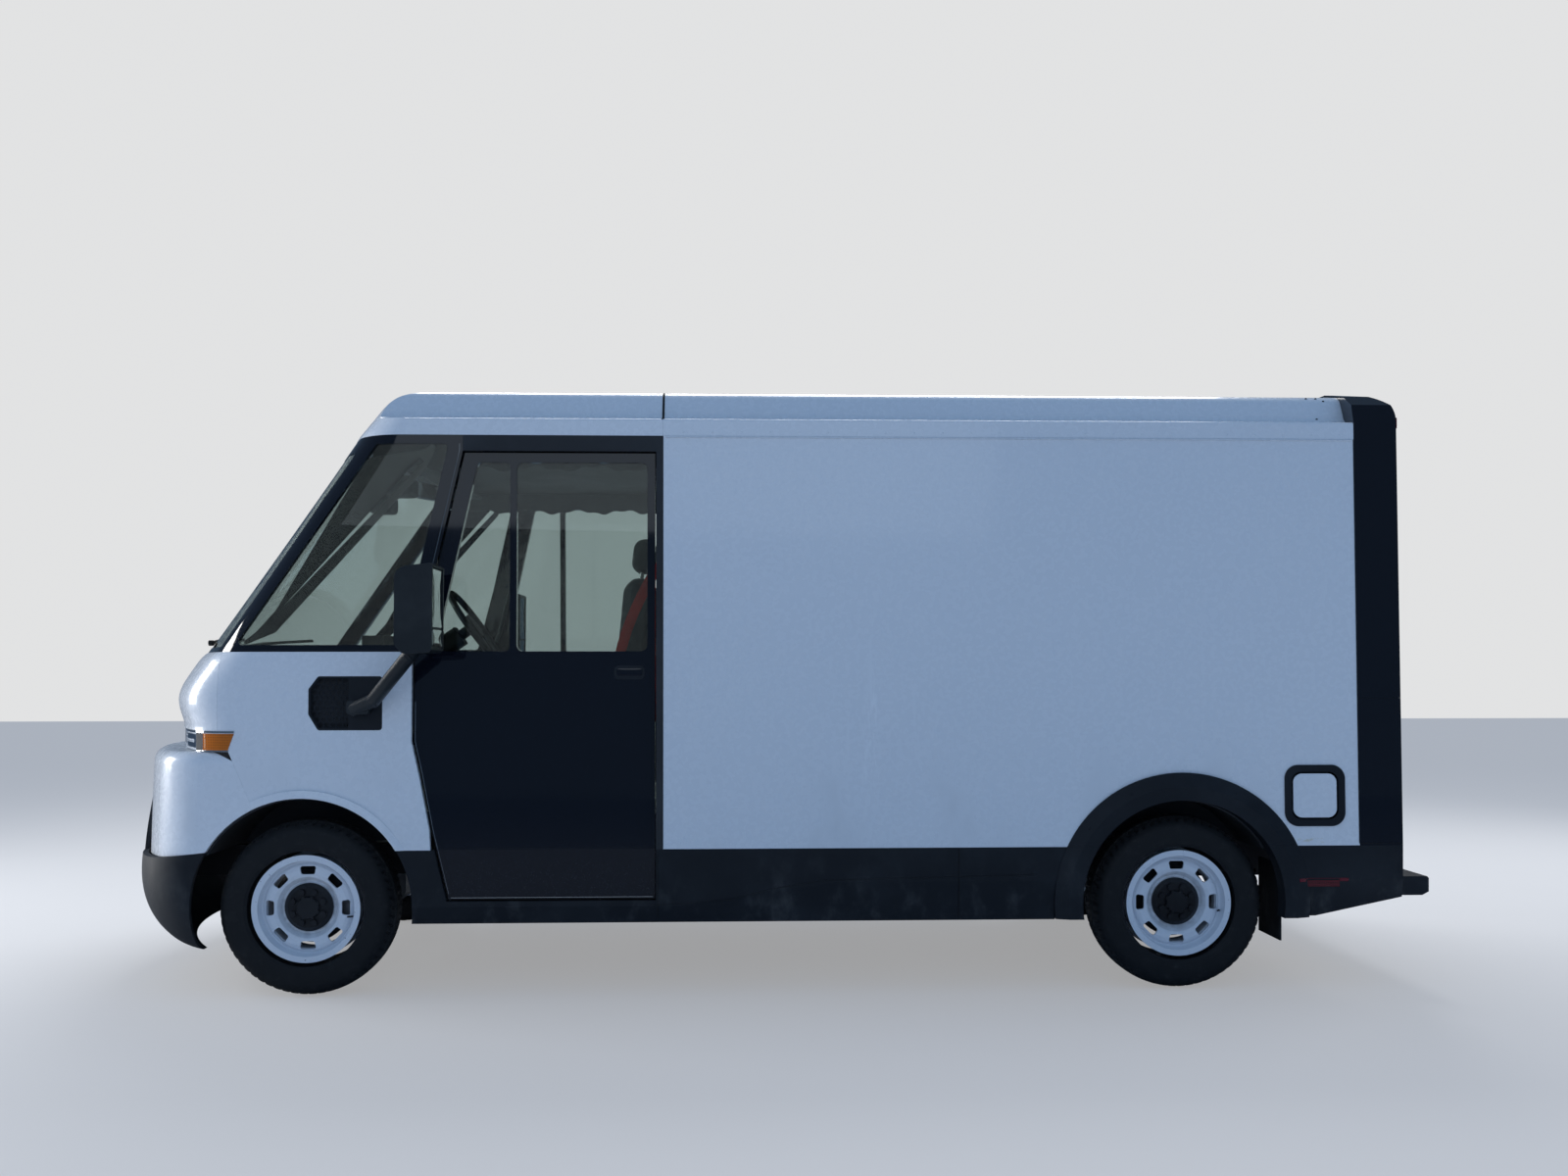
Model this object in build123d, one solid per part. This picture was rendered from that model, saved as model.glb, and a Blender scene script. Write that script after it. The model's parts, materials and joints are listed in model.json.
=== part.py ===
"""Electric delivery van, modelled piece by piece in millimetres.

Frame: +X to the rear, driver's side at -Y, +Z up.  The origin lies on the ground
below the middle of the van.  Every piece is written to parts/NAME.step.
"""
from build123d import *
import math
import os

# ---------------------------------------------------------------- driving sizes
WHEELBASE = 3886.0
FRONT_OVERHANG = 976.0             # bumper nose ahead of the front axle
REAR_OVERHANG = 1134.0             # step edge behind the rear axle
HALF_WIDTH = 1050.0                # at the foot of the side panels
TUMBLEHOME = 60.0                  # how far a side leans in over its height
PANEL_BOTTOM_Z = 650.0
PANEL_TOP_Z = 2480.0
ROOF_Z = 2750.0
BELT_Z = 1520.0
SKIRT_Z = 325.0                    # lower edge of the skirts
FLOOR_Z = 800.0                    # walking level of cab and load space
DOOR_BOTTOM_Z = 430.0

OVERALL_LENGTH = FRONT_OVERHANG + WHEELBASE + REAR_OVERHANG
FRONT_AXLE_X = FRONT_OVERHANG - OVERALL_LENGTH / 2
REAR_AXLE_X = FRONT_AXLE_X + WHEELBASE
REAR_FACE_X = REAR_AXLE_X + 999.0  # closing plane of the body

# walls, counted inboard from the outer face of a side
OUTER_SKIN = 20.0
DOOR_DEPTH = 27.0
DOOR_THICKNESS = 40.0
LINER_DEPTH = 74.0
LINER_THICKNESS = 16.0
WALL_DEPTH = LINER_DEPTH + LINER_THICKNESS
ROOF_THICKNESS = 30.0
SHELL = 25.0                       # fascia, fender and bumper mouldings
GLASS = 6.0

# clearances
SEAT_GAP = 0.3                     # between pieces that rest on each other
PANEL_GAP = 0.5                    # between neighbouring fixed panels
RUN_GAP = 7.0                      # around anything that moves

# wheels
TYRE_RADIUS = 388.0
TYRE_WIDTH = 250.0
WHEEL_MID_Y = 890.0
RIM_RADIUS = 237.5                 # flange
BEAD_RADIUS = 216.0
RIM_LIP_INSET = 22.0               # flange inboard of the tyre's side
WHEEL_WINDOWS = 8
HUB_BORE = 60.0
CAP_RADIUS = 107.0
DISC_RADIUS = 165.0
KINGPIN_Y = 830.0
STEER_ARM = 100.0                  # kingpin to tie rod eye
FRONT_ARCH_RADIUS = 480.0
FRONT_ARCH_X = FRONT_AXLE_X - 5.0
FRONT_ARCH_Z = 400.0
REAR_ARCH_RADIUS = 455.0
REAR_FLARE_RADIUS = 576.0
REAR_ARCH_Z = 402.0

# running gear
RAIL_INNER_Y = 440.0
RAIL_WIDTH = 70.0
RAIL_BOTTOM_Z = 470.0
RAIL_HEIGHT = 140.0
RAIL_WEB = 6.0
FLOOR_THICKNESS = 30.0
BATTERY_BOTTOM_Z = 320.0

# cab
DOOR_FRONT_X = FRONT_AXLE_X + 476.0
DOOR_REAR_X = FRONT_AXLE_X + 1535.0
DOOR_TOP_Z = 2410.0
CARGO_FRONT_X = FRONT_AXLE_X + 1571.0
CARGO_REAR_X = REAR_AXLE_X + 802.0
DRIVER_Y = -430.0
REAR_POST_LENGTH = 120.0           # rear posts, along the van
SEAM_X = FRONT_AXLE_X - 373.0      # fascia meets fender
NOSE_RADIUS = 1750.0               # plan curve of the nose, up to the belt
HEADER_RADIUS = 2200.0             # and at the head of the windshield
NOSE_CORNER = 240.0
LAMP_HALF_GAP = 430.0              # between the middle and the inner end of a headlamp
LAMP_BOTTOM_Z = 1083.0
LAMP_TOP_Z = 1177.0
LAMP_REAR_X = FRONT_AXLE_X - 292.0
BUMPER_FORM = (                    # (height, nose behind the foremost plane)
    (212.0, 226.0), (260.0, 110.0), (355.0, 34.0), (540.0, 0.0), (660.0, 12.0))
PAD_FORM = ((540.0, 0.0), (600.0, 4.0), (700.0, 16.0), (836.0, 40.0))
LOWER_FORM = ((560.0, 40.0), (700.0, 45.0), (836.0, 50.0), (LAMP_BOTTOM_Z, 62.0))
LAMP_FORM = ((LAMP_BOTTOM_Z, 194.0), (LAMP_TOP_Z, 194.0))
UPPER_FORM = (
    (LAMP_TOP_Z, 194.0), (1293.0, 170.0), (1366.0, 186.0), (1411.0, 213.0),
    (1474.0, 257.0), (BELT_Z, 305.0))
SCREEN_FORM = ((BELT_Z, 305.0), (PANEL_TOP_Z, 1007.0))
ROOF_FORM = (
    (PANEL_TOP_Z, 1007.0), (2531.0, 1044.0), (2586.0, 1091.0), (2640.0, 1140.0),
    (2698.0, 1291.0), (2735.0, 1466.0), (ROOF_Z, 1680.0))

os.makedirs("parts", exist_ok=True)


# ---------------------------------------------------------------- helpers
def wall_y(z, depth=0.0):
    """Distance of a side wall from the middle plane at height z."""
    lean = TUMBLEHOME * max(0.0, z - PANEL_BOTTOM_Z) / (PANEL_TOP_Z - PANEL_BOTTOM_Z)
    return HALF_WIDTH - lean - depth


def outline(points):
    """Closed face through straight edges."""
    return make_face(Polyline(*points, close=True))


def along_x(points, x0, x1):
    """Solid with a (Y, Z) section, from x0 to x1."""
    return extrude(Plane.YZ.offset(x0) * outline(points), amount=x1 - x0)


def along_y(face, y0, y1):
    """Solid with an (X, Z) face, from y0 to y1."""
    return extrude(Plane.XZ.offset(-y1) * face, amount=y1 - y0)


def box(x0, x1, y0, y1, z0, z1):
    """Block between six planes."""
    centre = Location(((x0 + x1) / 2, (y0 + y1) / 2, (z0 + z1) / 2))
    return centre * Box(x1 - x0, y1 - y0, z1 - z0)


def rod_y(x, z, radius, y0, y1):
    """Cylinder along Y."""
    return along_y(Pos(x, z) * Circle(radius), y0, y1)


def rod_z(x, y, radius, z0, z1):
    """Cylinder along Z."""
    return Pos(x, y, z0) * extrude(Circle(radius), amount=z1 - z0)


def mirrored(shape):
    """The same piece on the other side of the van."""
    return mirror(shape, about=Plane.XZ)


def pair(right):
    """Right and left copies of a piece, as a list of solids."""
    return right.solids() + mirrored(right).solids()


def wall(z0, z1, depth, thickness, x0, x1):
    """Upright slab of the right wall, leaning with the tumblehome."""
    levels = [z0, PANEL_BOTTOM_Z, z1] if z0 < PANEL_BOTTOM_Z < z1 else [z0, z1]
    outer = [(wall_y(z, depth), z) for z in levels]
    inner = [(wall_y(z, depth + thickness), z) for z in reversed(levels)]
    return along_x(outer + inner, x0, x1)


LEAN = math.degrees(math.atan2(TUMBLEHOME, PANEL_TOP_Z - PANEL_BOTTOM_Z))


def leaned(shape, z, side):
    """Tilt a piece built square at height z on one side (+1 right) into the wall's plane."""
    y = side * wall_y(z)
    return Pos(0, y, z) * Rot(side * LEAN, 0, 0) * Pos(0, -y, -z) * shape


def save(name, shapes):
    """Write one node."""
    solids = shapes if isinstance(shapes, list) else shapes.solids()
    body = solids[0] if len(solids) == 1 else Compound(children=solids)
    body.label = name
    export_step(body, os.path.join("parts", name + ".step"))


# ---------------------------------------------------------------- nose form
def nose_x(setback):
    """Middle of the nose in X."""
    return FRONT_AXLE_X - FRONT_OVERHANG + setback


def nose_outline(z, setback, inset, back_x):
    """Plan of the nose at height z: a wide front arc turning into straight sides."""
    flatness = max(0.0, z - BELT_Z) / (PANEL_TOP_Z - BELT_Z)
    radius = NOSE_RADIUS + flatness * (HEADER_RADIUS - NOSE_RADIUS) - inset
    tip = nose_x(setback) + inset
    disc = Pos(tip + radius, 0) * Circle(radius)
    strip = Pos((tip + back_x) / 2, 0) * Rectangle(back_x - tip, 2 * wall_y(z, inset))
    plan = disc & strip
    corners = plan.vertices().sort_by(Axis.X)[:2]
    return Pos(0, 0, z) * fillet(corners, NOSE_CORNER - inset)


def nose_solid(form, inset, back_x, ruled=False):
    """Solid of the nose through the outlines of a form."""
    return loft([nose_outline(z, s, inset, back_x) for z, s in form], ruled=ruled)


def nose_shell(form, thickness, back_x, ruled=False):
    """Moulding of the nose, open behind, above and below."""
    outer = nose_solid(form, 0.0, back_x, ruled)
    return outer - nose_solid(form, thickness, back_x + thickness, ruled)


def whole_side(x0, x1, z0, z1):
    """Block across the whole width of the van, used to cut a piece out of a shell."""
    return box(x0, x1, -2 * HALF_WIDTH, 2 * HALF_WIDTH, z0, z1)


def front_arch():
    """Round opening over the front wheels, through both sides."""
    return rod_y(FRONT_ARCH_X, FRONT_ARCH_Z, FRONT_ARCH_RADIUS, -2 * HALF_WIDTH, 2 * HALF_WIDTH)


def rear_arch(radius):
    """Round opening over the rear wheels, through both sides."""
    return rod_y(REAR_AXLE_X, REAR_ARCH_Z, radius, -2 * HALF_WIDTH, 2 * HALF_WIDTH)


# ---------------------------------------------------------------- side outlines
# front edge of the sliding door, from sill to header: (behind the front axle, height)
DOOR_EDGE = (
    (630.0, DOOR_BOTTOM_Z), (590.0, 597.0), (556.0, 738.0), (510.0, 974.0),
    (476.0, 1125.0), (476.0, BELT_Z), (576.0, 1893.0), (694.0, DOOR_TOP_Z))
DOOR_EDGE_GAP = 6.0
SEAM_FOOT = ((-322.0, LAMP_BOTTOM_Z), (-222.0, 850.0), (-222.0, 560.0))


def door_edge(shift, z0, z1):
    """Points of the door's front edge between two heights, moved along X."""
    return [(FRONT_AXLE_X + x + shift, z) for x, z in DOOR_EDGE if z0 <= z <= z1]


def through(face):
    """An (X, Z) face pushed through the whole width."""
    return along_y(face, -2 * HALF_WIDTH, 2 * HALF_WIDTH)


# ---------------------------------------------------------------- nose and fenders
def front_region(seam_side):
    """Region of the side ahead of (-1) or behind (+1) the fascia seam."""
    far = nose_x(0.0) - 100.0 if seam_side < 0 else FRONT_AXLE_X + 1000.0
    gap = seam_side * PANEL_GAP / 2
    seam = [(SEAM_X + gap, BELT_Z + 10.0), (SEAM_X + gap, LAMP_TOP_Z), (LAMP_REAR_X + gap, LAMP_TOP_Z)]
    seam += [(FRONT_AXLE_X + x + gap, z) for x, z in SEAM_FOOT]
    return through(outline(seam + [(far, SEAM_FOOT[-1][1]), (far, BELT_Z + 10.0)]))


def bumper_split(side):
    """Region above (+1) or below (-1) the sloping line where the bumper ends."""
    x0 = nose_x(-100.0)
    x1 = FRONT_AXLE_X
    z0 = 572.0 + side * PANEL_GAP / 2
    z1 = 692.0 + side * PANEL_GAP / 2
    far = 1200.0 if side > 0 else 100.0
    return through(outline([(x0, z0), (x1, z1), (x1, far), (x0, far)]))


def front_fascia():
    """White upper nose: rounded brow below the screen, band between the lamps."""
    brow = nose_shell(UPPER_FORM, SHELL, FRONT_AXLE_X + 200) & front_region(-1)
    band = nose_shell(LAMP_FORM, SHELL, FRONT_AXLE_X) & box(
        nose_x(0), SEAM_X, -LAMP_HALF_GAP, LAMP_HALF_GAP, LAMP_BOTTOM_Z, LAMP_TOP_Z)
    return brow + Pos(0, 0, SEAT_GAP) * band


def lower_fascia():
    """White lower nose with its shelf below the lamps."""
    back = FRONT_AXLE_X
    outer = nose_solid(LOWER_FORM, 0.0, back)
    top_edges = outer.faces().sort_by(Axis.Z)[-1].edges().sort_by(Axis.X)[:3]
    outer = fillet(top_edges, 60.0)
    core = LOWER_FORM[:-1] + ((LAMP_BOTTOM_Z - SHELL, LOWER_FORM[-1][1]),)
    hollow = nose_solid(core, SHELL, back + SHELL)
    behind_lamps = nose_outline(LAMP_BOTTOM_Z - 2 * SHELL, LAMP_FORM[0][1] + 2 * SHELL, 0.0, back + SHELL)
    shaft = extrude(behind_lamps, amount=4 * SHELL)
    skin = outer - hollow - shaft
    return skin & front_region(-1) & bumper_split(1) - front_arch()


def front_bumper():
    """Black bumper with a raised pad in the middle."""
    skin = nose_shell(BUMPER_FORM, SHELL, FRONT_AXLE_X) & bumper_split(-1)
    pad = nose_shell(PAD_FORM, 20.0, FRONT_AXLE_X) & box(
        nose_x(-10), FRONT_AXLE_X, -480.0, 480.0, 540.0, 836.0)
    clear = nose_solid(LOWER_FORM, -SEAT_GAP, FRONT_AXLE_X) & bumper_split(1)
    return skin - front_arch() + (pad - clear)


def front_fenders():
    """White fenders from the fascia seam to the door."""
    back = FRONT_AXLE_X + 700.0
    skin = nose_shell(LOWER_FORM, SHELL, back)
    skin = skin + nose_shell(LAMP_FORM, SHELL, back)
    skin = skin + nose_shell(UPPER_FORM, SHELL, back)
    rear = door_edge(-DOOR_EDGE_GAP, PANEL_BOTTOM_Z, BELT_Z)
    rear = [(rear[0][0] + 5.0, PANEL_BOTTOM_Z)] + rear
    far = nose_x(0.0)
    ahead = through(outline(rear + [(far, BELT_Z), (far, PANEL_BOTTOM_Z)]))
    lip = along_y(Pos(FRONT_ARCH_X, FRONT_ARCH_Z) * Circle(FRONT_ARCH_RADIUS + 34.0),
                  wall_y(900) - 20.0, wall_y(700) + 9.0)
    lip = chamfer(lip.edges().filter_by(GeomType.CIRCLE).sort_by(Axis.Y)[-1], 8.0, 26.0)
    shape = skin + lip + mirrored(lip)
    return ((shape - front_arch()) & ahead & front_region(1)) - through(vent_face(0.0))


VENT_INSET = 1.0                   # vent face behind the fender's surface
VENT_DEPTH = 12.0
VENT_POCKET = 8.0                  # mesh behind the vent's face
VENT_CELL = 13.0                   # corner radius of a mesh cell
VENT_PITCH = 27.0
VENT_RIM = 9.0                     # plain edge round the mesh
VENT_BOTTOM_Z = 1176.0
VENT_TOP_Z = 1413.0
VENT_BAR_X = FRONT_AXLE_X + 196.0  # rear end of the mesh, where the mirror's mounting face begins


def vent_face(margin):
    """Side view of a fender vent, shrunk all round by a margin."""
    x = FRONT_AXLE_X
    face = outline([
        (x + 22.0, 1246.0), (x + 22.0, 1357.0), (x + 64.0, VENT_TOP_Z), (x + 343.0, VENT_TOP_Z),
        (x + 343.0, VENT_BOTTOM_Z), (x + 64.0, VENT_BOTTOM_Z)])
    face = fillet(face.vertices(), 14.0)
    return offset(face, -margin) if margin else face


def fender_vents():
    """Black vents with a honeycomb mesh in front and a plain face for the mirror behind."""
    front_half = Pos(VENT_BAR_X - 300.0, MIRROR_HINGE_Z) * Rectangle(600.0, 600.0)
    mesh_zone = vent_face(SEAT_GAP + VENT_RIM) & front_half
    mid_z = (VENT_BOTTOM_Z + VENT_TOP_Z) / 2
    row_height = VENT_PITCH * math.sqrt(3) / 2
    cells = []
    for row in range(-6, 7):
        for column in range(-1, 9):
            shift = VENT_PITCH / 2 if row % 2 else 0.0
            centre = Pos(FRONT_AXLE_X + 20.0 + column * VENT_PITCH + shift, mid_z + row * row_height)
            cells.append(centre * RegularPolygon(VENT_CELL, 6, rotation=30))
    holes = (Sketch() + cells) & offset(mesh_zone, -VENT_RIM / 3)
    low, high = VENT_BOTTOM_Z - 6.0, VENT_TOP_Z + 6.0
    x0, x1 = FRONT_AXLE_X, FRONT_AXLE_X + 360.0
    plate = wall(low, high, VENT_INSET, VENT_DEPTH, x0, x1) & through(vent_face(SEAT_GAP))
    pocket = wall(low, high, 0.0, VENT_INSET + VENT_POCKET, x0, x1) & through(mesh_zone)
    return pair(plate - pocket - through(holes))


# ---------------------------------------------------------------- greenhouse
HEADER_Z = 2440.0                  # upper edge of the screen opening
SCREEN_FRAME = 34.0                # black frame outside the screen
PILLAR_WIDTH = 70.0                # from quarter window to door


def screen_line(shift):
    """Line where the screen ends and the side begins, seen from the side."""
    foot = FRONT_AXLE_X - 374.0 + shift
    head = FRONT_AXLE_X + 288.0 + shift
    return (foot, BELT_Z), (head, PANEL_TOP_Z)


def screen_zone(margin):
    """Region ahead of the screen line, inside the frame by a margin."""
    low, high = screen_line(-margin)
    slope = (high[0] - low[0]) / (high[1] - low[1])
    z0, z1 = BELT_Z + 0.6 * margin, HEADER_Z - margin
    x0 = low[0] + slope * (z0 - BELT_Z)
    x1 = low[0] + slope * (z1 - BELT_Z)
    return through(outline([(x0, z0), (x1, z1), (nose_x(0.0), z1), (nose_x(0.0), z0)]))


def quarter_zone(margin):
    """Region of the quarter window between screen line and front pillar."""
    low, high = screen_line(46.0 + margin)
    slope = (high[0] - low[0]) / (high[1] - low[1])
    z0, z1 = BELT_Z + 30.0 + margin, HEADER_Z - margin
    pillar = door_edge(-DOOR_EDGE_GAP - PILLAR_WIDTH - margin, BELT_Z, DOOR_TOP_Z)
    (xa, za), (xb, zb), (xc, zc) = pillar
    lean = (xc - xb) / (zc - zb)
    front = [(low[0] + slope * (z - BELT_Z), z) for z in (z1, z0)]
    rear = [(xa + (xb - xa) * (z0 - za) / (zb - za), z0), (xb, zb), (xc + lean * (z1 - zc), z1)]
    return through(fillet(outline(front + rear).vertices(), 18.0))


def screen_shell(inset, thickness):
    """Wall of the cab between belt and header, inboard of the outer face by an inset."""
    back = FRONT_AXLE_X + 1000.0
    outer = nose_solid(SCREEN_FORM, inset, back, ruled=True)
    return outer - nose_solid(SCREEN_FORM, inset + thickness, back + thickness + inset, ruled=True)


def ahead_of_door():
    """Region ahead of the door's front edge, from belt to header."""
    rear = door_edge(-DOOR_EDGE_GAP, BELT_Z, DOOR_TOP_Z)
    rear += [(rear[-1][0], PANEL_TOP_Z), (nose_x(0.0), PANEL_TOP_Z), (nose_x(0.0), BELT_Z)]
    return through(outline(rear))


def windshield_surround():
    """Black frame of the screen with both front pillars."""
    frame = screen_shell(0.0, SCREEN_FRAME) & ahead_of_door()
    height = whole_side(nose_x(0), CARGO_FRONT_X, BELT_Z + SEAT_GAP, PANEL_TOP_Z - SEAT_GAP)
    return (frame - screen_zone(SCREEN_FRAME) - quarter_zone(0.0)) & height


def windshield():
    """Curved laminated screen, set just inside its frame."""
    return screen_shell(3.0, GLASS) & screen_zone(SCREEN_FRAME + SEAT_GAP)


def quarter_windows():
    """Fixed side windows ahead of the doors."""
    return screen_shell(3.0, GLASS) & quarter_zone(SEAT_GAP)


# ---------------------------------------------------------------- sliding doors
TRACK_Z = 2436.0                   # running face of the door track
ROLLER_RADIUS = 12.0
DOOR_TRAVEL = 880.0
WINDOW_SILL_Z = 1522.0
WINDOW_TOP_Z = 2362.0


def door_frames():
    """Header over each door, the post behind it and the track it hangs from."""
    header = wall(DOOR_TOP_Z, PANEL_TOP_Z - SEAT_GAP, 0.0, OUTER_SKIN,
                  FRONT_AXLE_X + DOOR_EDGE[-1][0] - DOOR_EDGE_GAP + PANEL_GAP, CARGO_FRONT_X - PANEL_GAP)
    post = wall(PANEL_BOTTOM_Z + SEAT_GAP, DOOR_TOP_Z, 0.0, OUTER_SKIN,
                DOOR_REAR_X + DOOR_EDGE_GAP, CARGO_FRONT_X - PANEL_GAP)
    z0, z1, top = TRACK_Z - 6.0, TRACK_Z, PANEL_TOP_Z - SEAT_GAP
    track_front = FRONT_AXLE_X + DOOR_EDGE[-1][0] + 40.0
    track_rear = DOOR_REAR_X + DOOR_TRAVEL + 30.0
    hood = [
        (wall_y(top - 6.0, OUTER_SKIN), top - 6.0), (wall_y(top, OUTER_SKIN), top),
        (wall_y(top, WALL_DEPTH), top), (wall_y(z0, WALL_DEPTH), z0),
        (wall_y(z0, 48.0), z0), (wall_y(z1, 48.0), z1),
        (wall_y(z1, LINER_DEPTH), z1), (wall_y(top - 6.0, LINER_DEPTH), top - 6.0)]
    return pair(header + post + along_x(hood, track_front, track_rear))


def door_outline():
    """Side view of a sliding door."""
    top = DOOR_TOP_Z - DOOR_EDGE_GAP
    return outline(door_edge(0.0, DOOR_BOTTOM_Z, DOOR_TOP_Z)[:-1] + [
        (FRONT_AXLE_X + 692.0, top), (DOOR_REAR_X, top), (DOOR_REAR_X, DOOR_BOTTOM_Z)])


def door_apertures(margin):
    """Front and rear window openings of a door."""
    x0 = FRONT_AXLE_X + 590.0 + margin
    xm = FRONT_AXLE_X + 750.0 + margin
    z0, z1 = WINDOW_SILL_Z + margin, WINDOW_TOP_Z - margin
    post = FRONT_AXLE_X + 893.0
    front = outline([(x0, z0), (x0 + 4, 1660.0), (xm, z1), (post - margin, z1), (post - margin, z0)])
    rear = Pos(*mid(post + 30.0, DOOR_REAR_X - 34.0, z0, z1)) * RectangleRounded(
        DOOR_REAR_X - 64.0 - post - 2 * margin, z1 - z0, 30.0 - margin)
    return fillet(front.vertices(), 24.0 - margin), rear


def mid(x0, x1, z0, z1):
    """Centre of a rectangle."""
    return (x0 + x1) / 2, (z0 + z1) / 2


def door():
    """Right sliding door: one panel with two windows, hung on two rollers."""
    panel = wall(DOOR_BOTTOM_Z, DOOR_TOP_Z, DOOR_DEPTH, DOOR_THICKNESS, DOOR_FRONT_X - 100.0, DOOR_REAR_X)
    panel = panel & through(door_outline())
    for face in door_apertures(0.0):
        panel = panel - through(face)
    for x in (FRONT_AXLE_X + 800.0, DOOR_REAR_X - 100.0):
        z = TRACK_Z + SEAT_GAP + ROLLER_RADIUS
        y = wall_y(z, 40.0)
        hanger = wall(DOOR_TOP_Z - 10.0, z + 4.0, 32.0, 8.0, x - 30.0, x + 30.0)
        roller = rod_y(x, z, ROLLER_RADIUS, y - 22.0, y)
        panel = panel + hanger + roller
    return panel


def door_glass():
    """Panes of the right door."""
    z0, z1 = WINDOW_SILL_Z - 50.0, WINDOW_TOP_Z + 50.0
    pane = wall(z0, z1, DOOR_DEPTH + 4.0, GLASS, DOOR_FRONT_X - 100.0, DOOR_REAR_X)
    panes = [pane & through(face) for face in door_apertures(SEAT_GAP)]
    return [solid for cut in panes for solid in cut.solids()]


# ---------------------------------------------------------------- roofs
COVE_FOOT = 73.0                   # band height above the side panels


def roof_section():
    """Half section of the roof as a closed face: side band, ledge, cove and crown."""
    z0 = PANEL_TOP_Z + SEAT_GAP
    ridge = PANEL_TOP_Z + COVE_FOOT
    band = wall_y(ridge)
    ledge, foot, brow = (band - 58.0, ridge + 8.0), (band - 107.0, ridge + 56.0), (band - 130.0, ridge + 102.0)
    shoulder = (band - 186.0, ridge + 150.0)
    lines = [
        Line((0.0, z0), (wall_y(z0), z0)), Line((wall_y(z0), z0), (band, ridge - 6.0)),
        ThreePointArc((band, ridge - 6.0), (band - 3.0, ridge + 1.0), (band - 10.0, ridge + 4.0)),
        Line((band - 10.0, ridge + 4.0), ledge), ThreePointArc(ledge, (band - 88.0, ridge + 23.0), foot),
        Line(foot, brow), ThreePointArc(brow, (band - 152.0, ridge + 133.0), shoulder),
        ThreePointArc(shoulder, (shoulder[0] / 2, ROOF_Z - 13.0), (0.0, ROOF_Z)),
        Line((0.0, ROOF_Z), (0.0, z0))]
    return make_face(lines)


def roof_hollow():
    """Half section of the space under the roof skin."""
    z0 = PANEL_TOP_Z - 1.0
    ridge = PANEL_TOP_Z + COVE_FOOT
    band = wall_y(ridge)
    inner = ROOF_THICKNESS
    shoulder = (band - 196.0, ridge + 146.0 - inner)
    points = [
        (-1.0, z0), (wall_y(z0, inner), z0), (wall_y(z0, inner), ridge - inner),
        (band - 84.0 - inner, ridge), (band - 122.0 - inner, ridge + 92.0), shoulder]
    crown = ThreePointArc(shoulder, (shoulder[0] / 2, ROOF_Z - 13.0 - inner), (-1.0, ROOF_Z - inner))
    return make_face([*Polyline(*points).edges(), crown, Line((-1.0, ROOF_Z - inner), (-1.0, z0))])


def roof_run(x0, x1):
    """Roof skin of constant section, both halves."""
    half = extrude(Plane.YZ.offset(x0) * (roof_section() - roof_hollow()), amount=x1 - x0)
    return half + mirrored(half)


def cargo_roof():
    """Long roof over the load space."""
    return roof_run(CARGO_FRONT_X + PANEL_GAP / 2, CARGO_REAR_X - PANEL_GAP / 2)


def cab_roof():
    """Roof of the cab: the same section, rounded down to the screen at the front."""
    x1 = CARGO_FRONT_X - PANEL_GAP / 2
    x0 = nose_x(0.0)
    block = extrude(Plane.YZ.offset(x0) * roof_section(), amount=x1 - x0)
    hollow = extrude(Plane.YZ.offset(x0) * roof_hollow(), amount=x1 - x0)
    back = x1 + 100.0
    brow = loft([nose_outline(z, s, 0.0, back) for z, s in ROOF_FORM])
    inner_form = [(z - ROOF_THICKNESS, s + ROOF_THICKNESS) for z, s in ROOF_FORM]
    under = loft([nose_outline(z, s, 0.0, back + 50.0) for z, s in inner_form])
    outer = (block + mirrored(block)) & brow
    return outer - ((hollow + mirrored(hollow)) & under)


# ---------------------------------------------------------------- load space
CHARGE_X = REAR_AXLE_X + 600.0     # middle of the charge lid
CHARGE_Z = 874.0
CHARGE_RING = 274.0                # outer size of the black ring
CHARGE_OPENING = 212.0             # square opening in the ring
CHARGE_LID = 196.0
FLARE_GAP_RADIUS = REAR_FLARE_RADIUS + PANEL_GAP


def cargo_side_panels():
    """White outer skins, cut round the rear flares and the charge port."""
    skin = wall(PANEL_BOTTOM_Z + PANEL_GAP, PANEL_TOP_Z - SEAT_GAP, 0.0, OUTER_SKIN,
                CARGO_FRONT_X + PANEL_GAP / 2, CARGO_REAR_X - PANEL_GAP / 2)
    skin = skin - rear_arch(FLARE_GAP_RADIUS)
    port = through(Pos(CHARGE_X, CHARGE_Z) * RectangleRounded(CHARGE_RING - 24.0, CHARGE_RING - 24.0, 50.0))
    left = mirrored(skin) - port
    return skin.solids() + left.solids()


def cargo_liners():
    """Inner walls of the load space, inboard of the door pockets."""
    sheet = wall(FLOOR_Z, TRACK_Z - 6.0 - SEAT_GAP, LINER_DEPTH, LINER_THICKNESS,
                 CARGO_FRONT_X - 20.0, REAR_FACE_X - REAR_POST_LENGTH)
    sill = box(DOOR_REAR_X + DOOR_TRAVEL + 60.0, REAR_FACE_X - REAR_POST_LENGTH,
               wall_y(FLOOR_Z + 40.0, LINER_DEPTH) - 1.0, wall_y(FLOOR_Z + 40.0, OUTER_SKIN + SEAT_GAP),
               FLOOR_Z + 470.0, FLOOR_Z + 510.0)
    rib = wall(FLOOR_Z + 100.0, TRACK_Z - 60.0, OUTER_SKIN + SEAT_GAP, LINER_DEPTH - OUTER_SKIN - SEAT_GAP,
               DOOR_REAR_X + DOOR_TRAVEL + 60.0, DOOR_REAR_X + DOOR_TRAVEL + 90.0)
    return pair((sheet + rib) - rear_arch(REAR_ARCH_RADIUS + 2 * SEAT_GAP + 8.0))


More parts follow.
